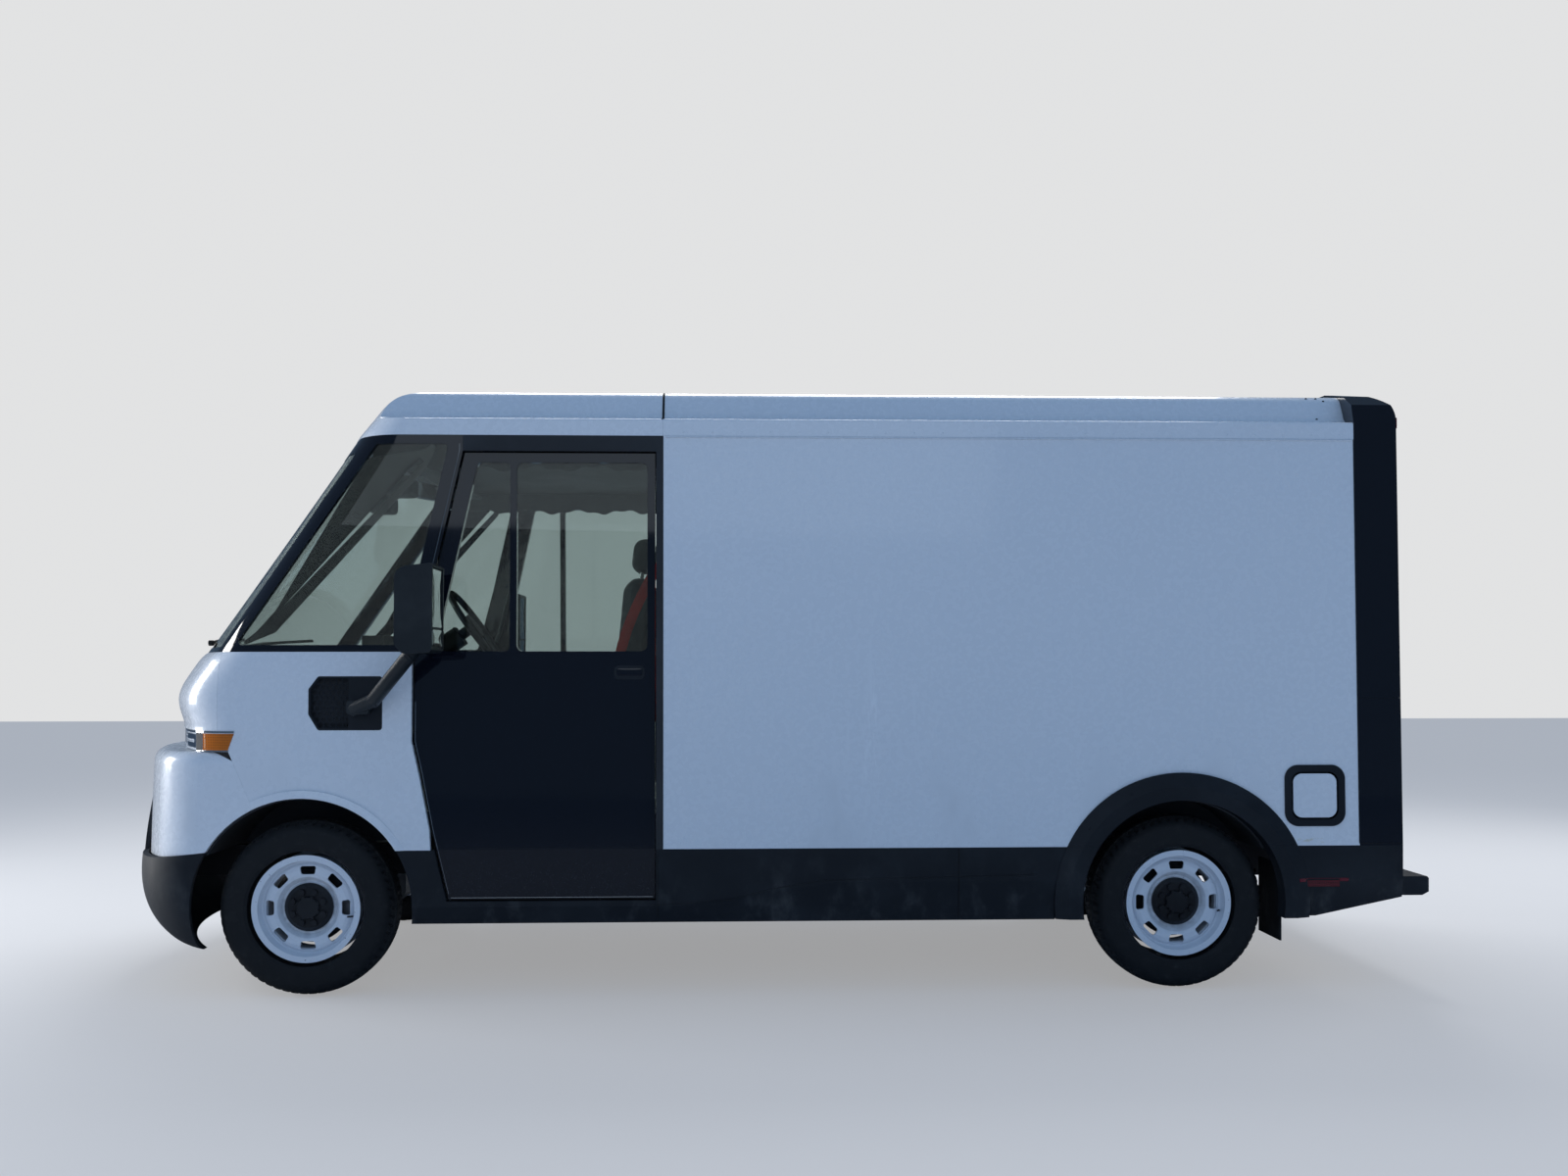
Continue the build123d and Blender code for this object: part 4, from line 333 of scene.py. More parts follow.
@dataclass(frozen=True)
class BodyPaint:
    """White gloss paint with orange peel, road film low down and fine marks."""

    name: str = "body_paint"
    white: Colour = (0.80, 0.825, 0.86)
    film: Colour = (0.52, 0.53, 0.54)
    peel_depth: float = 0.00002
    panel_marks: bool = False
    drops: bool = False

    def material(self) -> bpy.types.Material:
        """Build the paint."""
        s = Shader(self.name)
        _, _, z = s.place()
        low = 1.0 - z.rise(0.62, 1.25)
        film = (s.noise(5.0, 5.0, 0.62, (1.0, 1.0, 0.5)).rise(0.46, 0.78) * low * 0.35).clamped()
        broad = s.noise(0.9, 3.0, 0.5, (1.0, 1.0, 0.7), (3.1, 0.0, 1.7))
        colour = s.mix(broad.rise(0.35, 0.7) * 0.10, self.white, (0.70, 0.735, 0.79))
        colour = s.mix(film, colour, self.film)
        rough = 0.26 + film * 0.35 + s.noise(40.0, 3.0).rise(0.4, 0.8) * 0.06
        height = s.noise(230.0, 2.0) * 1.0
        if self.panel_marks:
            scrape = self.scrapes(s)
            colour = s.mix(scrape, colour, (0.95, 0.97, 1.0))
            rough = rough + scrape * 0.25
            worn = self.worn_patch(s)
            colour = s.mix(worn, colour, (0.62, 0.56, 0.40))
        if self.drops:
            bead = 1.0 - s.cells(95.0, "F1", (1.0, 1.0, 1.0)).rise(0.10, 0.24)
            where = s.noise(7.0, 2.0, 0.5, (1.0, 1.0, 1.6), (9.0, 2.0, 4.0)).rise(0.50, 0.62)
            bead = bead * where
            height = height + bead * 26.0
            colour = s.mix(bead * 0.25, colour, (0.92, 0.96, 1.0))
        normal = s.bump(height, self.peel_depth)
        return s.done(s.surface(colour, rough, normal, Coat_Weight=0.6, Coat_Roughness=0.06))

    def scrapes(self, s: Shader) -> Value:
        """Pale scrape marks down the driver's side panel, and faint vertical runs."""
        x, y, z = s.place()
        side = 1.0 - y.rise(-0.95, -0.9)
        grain = s.noise(60.0, 4.0, 0.7, (1.6, 1.0, 0.25)).rise(0.50, 0.72)
        centre = abs(x - 0.47 - (z - 1.1) * 0.03)
        streak = (1.0 - centre.rise(0.012, 0.05)) * z.within(0.86, 1.42, 0.12)
        runs = s.noise(14.0, 3.0, 0.6, (1.0, 1.0, 0.06), (2.0, 0.0, 5.0)).rise(0.56, 0.72)
        broad = (1.0 - abs(x - 0.52).rise(0.05, 0.28)) * z.within(0.75, 1.5, 0.2)
        return (side * (streak * grain * 0.7 + broad * runs * 0.18)).clamped()

    def worn_patch(self, s: Shader) -> Value:
        """Worn and yellowed trace under the charge door."""
        x, y, z = s.place()
        side = 1.0 - y.rise(-0.95, -0.9)
        zone = x.within(2.37, 2.52, 0.01) * z.within(0.664, 0.682, 0.006)
        return side * zone * s.noise(45.0, 3.0, 0.6, (0.5, 1.0, 1.0)).rise(0.52, 0.62) * 0.6


@dataclass(frozen=True)
class GlossBlack:
    """Deep blue-black gloss panel with a slightly wavy surface and a dusty lower part."""

    name: str = "gloss_black"
    black: Colour = (0.0045, 0.006, 0.011)

    def material(self) -> bpy.types.Material:
        """Build the panel's finish."""
        s = Shader(self.name)
        _, _, z = s.place()
        wave = s.noise(2.2, 1.0, 0.4, (1.0, 1.0, 0.6))
        dust = s.noise(160.0, 3.0, 0.6).rise(0.52, 0.75) * (1.0 - z.rise(0.5, 0.85)) * 0.12
        smear = s.noise(6.0, 4.0, 0.6, (1.0, 1.0, 0.3)).rise(0.5, 0.8)
        colour = s.mix(dust, self.black, (0.16, 0.17, 0.18))
        rough = 0.045 + dust * 0.8 + smear * 0.04
        normal = s.bump(wave, 0.004, 0.6)
        return s.done(s.surface(colour, rough, normal, Coat_Weight=0.5, Coat_Roughness=0.03))


@dataclass(frozen=True)
class GrainedPlastic:
    """Dark moulded plastic with a leather-like grain, sun-greyed patches and dust."""

    name: str = "grained_plastic"
    dark: Colour = (0.0085, 0.0130, 0.0200)
    pale: Colour = (0.026, 0.032, 0.040)
    grain: float = 620.0
    depth: float = 0.00018
    rough: float = 0.52
    dusty: bool = True

    def material(self) -> bpy.types.Material:
        """Build the plastic."""
        s = Shader(self.name)
        _, _, z = s.place()
        grain = s.cells(self.grain, "DISTANCE_TO_EDGE")
        fine = s.noise(self.grain * 1.7, 2.0)
        broad = s.noise(3.5, 4.0, 0.6).rise(0.42, 0.72)
        colour = s.mix(broad * 0.45, self.dark, self.pale)
        if self.dusty:
            dust = s.noise(9.0, 5.0, 0.65, (1.0, 1.0, 0.6)).rise(0.48, 0.8) * (1.0 - z.rise(0.33, 0.7)) * 0.35
            colour = s.mix(dust, colour, (0.16, 0.155, 0.145))
        height = grain.rise(0.0, 0.35) * 0.8 + fine * 0.3
        rough = self.rough + broad * 0.12
        return s.done(s.surface(colour, rough, s.bump(height, self.depth)))


@dataclass(frozen=True)
class Glazing:
    """Tinted glass that lets lamps through, with faint dust."""

    name: str = "tinted_glass"
    tint: Colour = (0.50, 0.575, 0.565)

    def material(self) -> bpy.types.Material:
        """Build the glass."""
        s = Shader(self.name)
        smear = s.noise(5.0, 4.0, 0.6, (1.0, 1.0, 0.5)).rise(0.5, 0.85)
        glass = s.surface(self.tint, smear * 0.02, Transmission_Weight=1.0, IOR=1.45)
        clear = s.node("ShaderNodeBsdfTransparent", sockets={0: self.tint})
        path = s.node("ShaderNodeLightPath")
        lamp = Value(s, path.outputs["Is Shadow Ray"])
        mixed = s.node("ShaderNodeMixShader", sockets={0: lamp, 1: glass.outputs[0], 2: clear.outputs[0]})
        return s.done(mixed)


def wheel_radius(x: Value, z: Value) -> Value:
    """Distance from the nearer axle, in the side view."""
    along = abs(x - FRONT_AXLE_X).least(abs(x - REAR_AXLE_X))
    square = (along * along) + (z - AXLE_Z) * (z - AXLE_Z)
    return square._math("SQRT", square)


@dataclass(frozen=True)
class WheelPaint:
    """White wheel paint with brake dust round the hub and chips at the rim."""

    name: str = "wheel_paint"
    white: Colour = (0.74, 0.775, 0.83)

    def material(self) -> bpy.types.Material:
        """Build the paint, with marks by distance from each axle."""
        s = Shader(self.name)
        x, _, z = s.place()
        radius = wheel_radius(x, z)
        dusty = (1.0 - radius.rise(0.105, 0.150)) * 0.45 + (1.0 - radius.rise(0.100, 0.2)) * 0.1
        dusty = dusty * s.noise(22.0, 4.0, 0.6).rise(0.3, 0.7)
        chip = s.noise(90.0, 3.0, 0.6).rise(0.70, 0.715) * radius.rise(0.20, 0.225)
        spatter = s.noise(160.0, 2.0, 0.6, shift=(4.0, 1.0, 2.0)).rise(0.71, 0.74) * 0.5
        colour = s.mix(dusty, self.white, (0.22, 0.22, 0.23))
        colour = s.mix((chip + spatter).clamped(), colour, (0.055, 0.045, 0.04))
        rough = 0.34 + dusty * 0.4 + chip * 0.3
        height = s.noise(300.0, 2.0) - chip * 3.0
        return s.done(s.surface(colour, rough, s.bump(height, 0.00003), Coat_Weight=0.25, Coat_Roughness=0.15))


@dataclass(frozen=True)
class TyreRubber:
    """Black rubber, greyer on the tread, with dried dirt and fine moulding lines."""

    name: str = "tyre_rubber"
    black: Colour = (0.011, 0.0125, 0.015)

    def material(self) -> bpy.types.Material:
        """Build the rubber."""
        s = Shader(self.name)
        x, _, z = s.place()
        radius = wheel_radius(x, z)
        tread = radius.rise(0.360, 0.386)
        dirt = s.noise(26.0, 6.0, 0.7).rise(0.52, 0.74)
        colour = s.mix(tread * 0.7, self.black, (0.034, 0.035, 0.036))
        colour = s.mix(dirt * (0.20 + tread * 0.35), colour, (0.095, 0.085, 0.072))
        wet = s.noise(16.0, 3.0, 0.6, shift=(1.0, 5.0, 3.0)).rise(0.60, 0.68)
        rings = (radius * 900.0).sin() * 0.5 * radius.within(0.243, 0.262, 0.002)
        height = s.noise(420.0, 3.0) * 0.5 + rings
        rough = 0.62 + dirt * 0.25 - wet * 0.28
        return s.done(s.surface(colour, rough, s.bump(height, 0.0003)))


@dataclass(frozen=True)
class CoatedMetal:
    """Painted, cast or bare metal whose tone, sheen and soiling vary."""

    name: str
    base: Colour
    soiled: Colour
    metallic: float = 0.0
    rough: float = 0.5
    grain: float = 90.0
    depth: float = 0.0002
    stretch: Point = (1.0, 1.0, 1.0)
    soil: float = 0.5

    def material(self) -> bpy.types.Material:
        """Build the metal."""
        s = Shader(self.name)
        fine = s.noise(self.grain, 3.0, 0.55, self.stretch)
        broad = s.noise(4.0, 5.0, 0.65).rise(0.45, 0.78)
        colour = s.mix(broad * self.soil, self.base, self.soiled)
        rough = self.rough + (fine - 0.5) * 0.18 + broad * 0.15
        return s.done(s.surface(colour, rough.clamped(), s.bump(fine, self.depth), Metallic=self.metallic))


@dataclass(frozen=True)
class TreadPlate:
    """Alloy floor with narrow ribs along the van, worn bright on top."""

    name: str = "ribbed_floor"
    alloy: Colour = (0.40, 0.41, 0.42)

    def material(self) -> bpy.types.Material:
        """Build the floor: ribs 30 mm apart, dirt between them."""
        s = Shader(self.name)
        _, y, _ = s.place()
        wave = ((y * (2.0 * math.pi / 0.030)).sin() * 0.5 + 0.5).rise(0.55, 0.85)
        dirt = s.noise(6.0, 6.0, 0.65).rise(0.42, 0.75)
        scratch = s.noise(30.0, 3.0, 0.6, (0.08, 1.0, 1.0)).rise(0.55, 0.75)
        colour = s.mix(dirt * (1.0 - wave * 0.6), self.alloy, (0.12, 0.115, 0.11))
        rough = 0.42 + dirt * 0.3 - scratch * 0.1
        height = wave + scratch * 0.04
        return s.done(s.surface(colour, rough, s.bump(height, 0.002), Metallic=0.75))


@dataclass(frozen=True)
class Lens:
    """Clear or coloured lamp cover with moulded flutes."""

    name: str
    tint: Colour
    flute: float = 0.008
    clear: float = 0.0
    rough: float = 0.08

    def material(self) -> bpy.types.Material:
        """Build the cover: flutes upright across the lamp."""
        s = Shader(self.name)
        x, y, z = s.place()
        wave = ((x + y) * (2.0 * math.pi / self.flute)).sin() * 0.5 + 0.5
        rows = (z * (2.0 * math.pi / (self.flute * 1.6))).sin() * 0.5 + 0.5
        depth = tuple(0.35 * c for c in self.tint)
        colour = s.mix((wave * rows) * 0.7, self.tint, depth)
        shader = s.surface(colour, self.rough, s.bump(wave * rows, 0.0006), Transmission_Weight=self.clear,
                           IOR=1.49, Coat_Weight=0.7, Coat_Roughness=0.03)
        return s.done(shader)


@dataclass(frozen=True)
class Bright:
    """Bright metal: chrome, mirror glass or reflector foil."""

    name: str
    base: Colour = (0.78, 0.79, 0.80)
    rough: float = 0.08
    ripple: float = 0.0004

    def material(self) -> bpy.types.Material:
        """Build the metal with a slight ripple and some haze."""
        s = Shader(self.name)
        haze = s.noise(18.0, 4.0, 0.6).rise(0.5, 0.85)
        colour = s.mix(haze * 0.3, self.base, tuple(0.6 * c for c in self.base))
        return s.done(s.surface(colour, self.rough + haze * 0.12, s.bump(s.noise(35.0, 2.0), self.ripple),
                                Metallic=1.0))


@dataclass(frozen=True)
class Weave:
    """Woven cloth or webbing on its own UV map, with threads, fuzz and wear."""

    name: str
    base: Colour
    thread: Colour
    pitch: float = 0.0022
    depth: float = 0.0005
    rib: float = 1.0

    def material(self) -> bpy.types.Material:
        """Build the cloth: over-and-under threads along and across."""
        s = Shader(self.name)
        x, y, z = s.place()
        k = 2.0 * math.pi / self.pitch
        warp = ((y * k).sin() * 0.5 + 0.5) * self.rib
        weft = ((z + x) * k).sin() * 0.5 + 0.5
        cloth = (warp * weft) + (1.0 - warp) * (1.0 - weft)
        fuzz = s.noise(900.0, 3.0, 0.6)
        worn = s.noise(7.0, 4.0, 0.6).rise(0.45, 0.75)
        colour = s.mix(cloth * 0.6, self.base, self.thread)
        colour = s.mix(worn * 0.2, colour, tuple(min(1.0, 1.7 * c + 0.01) for c in self.thread))
        height = cloth + fuzz * 0.4
        return s.done(s.surface(colour, 0.85, s.bump(height, self.depth), Sheen_Weight=0.25, Sheen_Roughness=0.5))


@dataclass(frozen=True)
class Board:
    """Smooth pale wall board with scuffs, low down and along its rub line."""

    name: str = "wall_board"
    pale: Colour = (0.55, 0.55, 0.53)

    def material(self) -> bpy.types.Material:
        """Build the board."""
        s = Shader(self.name)
        _, _, z = s.place()
        scuff = s.noise(12.0, 5.0, 0.7, (0.4, 1.0, 1.6)).rise(0.58, 0.72) * (1.0 - z.rise(1.0, 1.9))
        pebble = s.cells(260.0, "F1")
        colour = s.mix(scuff * 0.5, self.pale, (0.24, 0.235, 0.23))
        rough = 0.5 + scuff * 0.2
        return s.done(s.surface(colour, rough, s.bump(pebble, 0.0002)))


@dataclass(frozen=True)
class Ground:
    """Pale studio floor that shows pale to the camera and mostly dark in gloss."""

    name: str = "studio_floor"
    tone: Colour = (0.78, 0.785, 0.80)
    shown: Colour = (0.62, 0.62, 0.625)

    def material(self) -> bpy.types.Material:
        """Build the floor."""
        s = Shader(self.name)
        mottled = s.noise(2.0, 3.0).rise(0.35, 0.75) * 0.06
        colour = s.mix(mottled, self.tone, (0.70, 0.705, 0.72))
        lit = s.surface(colour, 0.75)
        path = s.node("ShaderNodeLightPath")
        even = s.node("ShaderNodeEmission", sockets={0: self.shown, 1: 1.0})
        dim = s.node("ShaderNodeBsdfDiffuse", sockets={0: (0.06, 0.065, 0.075)})
        share = Value(s, path.outputs["Is Camera Ray"]) * 0.55
        seen = s.node("ShaderNodeMixShader", sockets={0: share, 1: lit.outputs[0], 2: even.outputs[0]})
        mirrored = Value(s, path.outputs["Is Glossy Ray"]) - Value(s, path.outputs["Is Transmission Ray"])
        gloss = mirrored.clamped() * 0.8
        return s.done(s.node("ShaderNodeMixShader", sockets={0: gloss, 1: seen.outputs[0], 2: dim.outputs[0]}))


# ------------------------------------------------------------------ surfaces
@dataclass(frozen=True)
class Grid:
    """Points of a surface on a grid, with whether each direction closes on itself."""

    points: np.ndarray
    round_u: bool = False
    round_v: bool = False

    def faces(self) -> np.ndarray:
        """Quads between neighbouring rows u and columns v of the grid."""
        rows, columns = self.points.shape[:2]
        index = np.arange(rows * columns).reshape(rows, columns)
        u = rows if self.round_u else rows - 1
        v = columns if self.round_v else columns - 1
        i, j = np.meshgrid(np.arange(u), np.arange(v), indexing="ij")
        i2, j2 = (i + 1) % rows, (j + 1) % columns
        quads = np.stack([index[i, j], index[i2, j], index[i2, j2], index[i, j2]], axis=-1)
        return quads.reshape(-1, 4)


def mesh_piece(name: str, points: np.ndarray, faces: np.ndarray, smooth: bool = True) -> bpy.types.Object:
    """Make an object from points and faces, its normals pointing outwards.

    Args:
        name: the piece's name.
        points: array of points in metres.
        faces: array or list of faces.
        smooth: whether faces are shaded smooth, with sharp edges over 35 degrees.

    Returns:
        The new object at the origin.
    """
    mesh = bpy.data.meshes.new(name)
    mesh.from_pydata(np.asarray(points, dtype=float).reshape(-1, 3).tolist(), [], np.asarray(faces).tolist())
    mesh.validate()
    piece = bpy.data.objects.new(name, mesh)
    bpy.context.scene.collection.objects.link(piece)
    shell = bmesh.new()
    shell.from_mesh(mesh)
    bmesh.ops.remove_doubles(shell, verts=shell.verts, dist=1e-6)
    bmesh.ops.recalc_face_normals(shell, faces=shell.faces)
    shell.to_mesh(mesh)
    shell.free()
    mesh.polygons.foreach_set("use_smooth", [smooth] * len(mesh.polygons))
    if smooth:
        mesh.set_sharp_from_angle(angle=SMOOTH_BELOW)
    return piece


def grids_piece(name: str, grids: Sequence[Grid], smooth: bool = True) -> bpy.types.Object:
    """Join several grids into one object."""
    points, faces, start = [], [], 0
    for grid in grids:
        flat = grid.points.reshape(-1, 3)
        points.append(flat)
        faces.append(grid.faces() + start)
        start += len(flat)
    return mesh_piece(name, np.concatenate(points), np.concatenate(faces), smooth)


def frames_along(path: np.ndarray, up: Point, closed: bool = False) -> tuple[np.ndarray, np.ndarray]:
    """Side and upright directions at each point of a path.

    Args:
        path: points along the path.
        up: a direction that is never along the path.
        closed: whether the path returns to its start.

    Returns:
        Unit side and upright vectors: side is along times up, upright is side times along.
    """
    if closed:
        along = np.roll(path, -1, axis=0) - np.roll(path, 1, axis=0)
    else:
        along = np.gradient(path, axis=0)
    along = along / np.linalg.norm(along, axis=1, keepdims=True)
    side = np.cross(along, np.asarray(up, dtype=float))
    side = side / np.linalg.norm(side, axis=1, keepdims=True)
    return side, np.cross(side, along)


def swept(path: np.ndarray, profile: np.ndarray, up: Point, closed: bool = False, capped: bool = True) -> list[Grid]:
    """Carry a closed profile along a path.

    The point at step i and profile point j is path i plus the profile's first coordinate along the
    side direction plus its second along the upright direction.

    Args:
        path: points along the path.
        profile: closed outline of (side, upright) offsets, one for all steps or one per step.
        up: reference upright direction.
        closed: whether the path is a ring.
        capped: whether open ends are closed with a fan.

    Returns:
        The grids of the body and its end caps.
    """
    side, upright = frames_along(path, up, closed)
    outline = np.broadcast_to(profile, (len(path), *profile.shape[-2:]))
    body = (path[:, None, :] + outline[..., 0:1] * side[:, None, :] + outline[..., 1:2] * upright[:, None, :])
    grids = [Grid(body, round_u=closed, round_v=True)]
    if capped and not closed:
        for end in (0, -1):
            ring = body[end]
            middle = ring.mean(axis=0, keepdims=True).repeat(len(ring), axis=0)
            grids.append(Grid(np.stack([ring, middle]), round_v=True))
    return grids


def rounded_outline(width: float, height: float, radius: float, steps: int = 4) -> np.ndarray:
    """Rounded rectangle centred on the origin: quarter circles of the radius at its four corners."""
    radius = min(radius, 0.499 * width, 0.499 * height)
    corners = [(1, 1, 0.0), (-1, 1, 90.0), (-1, -1, 180.0), (1, -1, 270.0)]
    turn = np.radians(np.linspace(0.0, 90.0, steps + 1))
    arcs = []
    for sx, sy, start in corners:
        angle = turn + math.radians(start)
        arcs.append(np.stack([
            sx * (width / 2 - radius) + radius * np.cos(angle),
            sy * (height / 2 - radius) + radius * np.sin(angle)], axis=1))
    return np.concatenate(arcs)


def circle_outline(radius: float, steps: int = 16) -> np.ndarray:
    """Circle about the origin."""
    angle = np.linspace(0.0, 2.0 * math.pi, steps, endpoint=False)
    return np.stack([radius * np.cos(angle), radius * np.sin(angle)], axis=1)


def slab(outline: np.ndarray, place: Callable[[np.ndarray, float], np.ndarray], low: float, high: float,
         edge: float) -> list[Grid]:
    """Plate with rounded edges over a closed outline.

    Rings of the outline are shrunk and raised along a quarter circle at both faces, then closed to
    the middle.

    Args:
        outline: closed (a, b) outline, round its own middle.
        place: gives the points for an (n, 2) array of (a, b) at a height.
        low: height of the lower face.
        high: height of the upper face.
        edge: radius of the rounded edges.

    Returns:
        One grid, closed at both faces.
    """
    middle = outline.mean(axis=0)
    reach = np.abs(outline - middle).max(axis=0)
    turn = np.radians(np.linspace(0.0, 90.0, 4))
    rings = []
    for angle in turn:
        scale = 1.0 - edge * (1.0 - np.sin(angle)) / reach
        rings.append(place(middle + (outline - middle) * scale, low + edge * (1.0 - np.cos(angle))))
    for angle in turn[::-1]:
        scale = 1.0 - edge * (1.0 - np.sin(angle)) / reach
        rings.append(place(middle + (outline - middle) * scale, high - edge * (1.0 - np.cos(angle))))
    tip = np.repeat(middle[None, :], len(outline), axis=0)
    body = np.stack([place(tip, low), *rings, place(tip, high)])
    return [Grid(body, round_v=True)]


def along_axis(axis: str) -> Callable[[np.ndarray, float], np.ndarray]:
    """Placer for slab(): outline in the two other axes (in x, y, z order), height along this one."""
    order = {"x": (1, 2, 0), "y": (0, 2, 1), "z": (0, 1, 2)}[axis]

    def place(flat: np.ndarray, height: float) -> np.ndarray:
        """Put (a, b) and the height on their axes."""
        out = np.empty((len(flat), 3))
        out[:, order[0]] = flat[:, 0]
        out[:, order[1]] = flat[:, 1]
        out[:, order[2]] = height
        return out

    return place


def block(lo: Point, hi: Point, edge: float = 0.004, corner: float | None = None, axis: str = "z") -> list[Grid]:
    """Block between two corners, with rounded edges and corners.

    Args:
        lo: lowest corner.
        hi: highest corner.
        edge: radius at the two faces across the axis.
        corner: radius of the outline's corners, the same as edge if None.
        axis: axis that the outline is pushed along.

    Returns:
        The block's grids.
    """
    order = {"x": (1, 2, 0), "y": (0, 2, 1), "z": (0, 1, 2)}[axis]
    a, b, c = order
    size = [hi[k] - lo[k] for k in range(3)]
    centre = [(hi[k] + lo[k]) / 2 for k in range(3)]
    outline = rounded_outline(size[a], size[b], edge if corner is None else corner)
    outline = outline + np.array([centre[a], centre[b]])
    edge = min(edge, 0.49 * size[c])
    return slab(outline, along_axis(axis), lo[c], hi[c], edge)


def turned(profile: np.ndarray, centre: Point, axis: str = "y", steps: int = 32) -> list[Grid]:
    """Body of revolution.

    The point at angle t is the centre plus the profile's first coordinate along the axis plus its
    second times (cos t, sin t) in the two other axes.

    Args:
        profile: (along, radius) points; a radius of 0 closes an end.
        centre: a point on the axis.
        axis: name of the axis.
        steps: number of angles.

    Returns:
        One grid.
    """
    order = {"x": (0, 1, 2), "y": (1, 0, 2), "z": (2, 0, 1)}[axis]
    angle = np.linspace(0.0, 2.0 * math.pi, steps, endpoint=False)
    points = np.empty((len(profile), steps, 3))
    points[..., order[0]] = profile[:, 0:1] + centre[order[0]]
    points[..., order[1]] = profile[:, 1:2] * np.cos(angle) + centre[order[1]]
    points[..., order[2]] = profile[:, 1:2] * np.sin(angle) + centre[order[2]]
    return [Grid(points, round_v=True)]


def dome(centre: Point, out: Point, radius: float, rise: float, steps: int = 10) -> list[Grid]:
    """Low round head standing on a surface: a spherical cap about the outward direction."""
    normal = np.asarray(out, dtype=float)
    normal = normal / np.linalg.norm(normal)
    first = np.cross(normal, (0.0, 0.0, 1.0) if abs(normal[2]) < 0.9 else (1.0, 0.0, 0.0))
    first = first / np.linalg.norm(first)
    second = np.cross(normal, first)
    angle = np.linspace(0.0, 2.0 * math.pi, steps, endpoint=False)
    levels = np.radians(np.array([0.0, 35.0, 65.0, 90.0]))
    ring = np.cos(levels)[:, None, None] * radius * (
        np.cos(angle)[None, :, None] * first + np.sin(angle)[None, :, None] * second)
    points = np.asarray(centre) + ring + np.sin(levels)[:, None, None] * rise * normal
    foot = np.asarray(centre) - 0.2 * rise * normal + 0.0 * ring[:1]
    return [Grid(np.concatenate([foot, points]), round_v=True)]


def both_sides(grids: Sequence[Grid]) -> list[Grid]:
    """The grids and their mirror images across the van's middle plane."""
    flipped = [Grid(g.points * np.array([1.0, -1.0, 1.0]), g.round_u, g.round_v) for g in grids]
    return [*grids, *flipped]


def wall_y(z: np.ndarray | float, depth: float = 0.0) -> np.ndarray | float:
    """Distance of the side wall's outer face from the middle plane: it leans in above 0.65 m."""
    return HALF_WIDTH - TUMBLEHOME * np.maximum(0.0, np.asarray(z) - PANEL_FOOT_Z) / PANEL_HEIGHT - depth


def on_side(x: np.ndarray, z: np.ndarray, out: float, side: int = -1) -> np.ndarray:
    """Points on a side wall, standing out from it by a distance."""
    x, z = np.broadcast_arrays(np.asarray(x, dtype=float), np.asarray(z, dtype=float))
    return np.stack([x, side * (wall_y(z) + out), z], axis=-1)


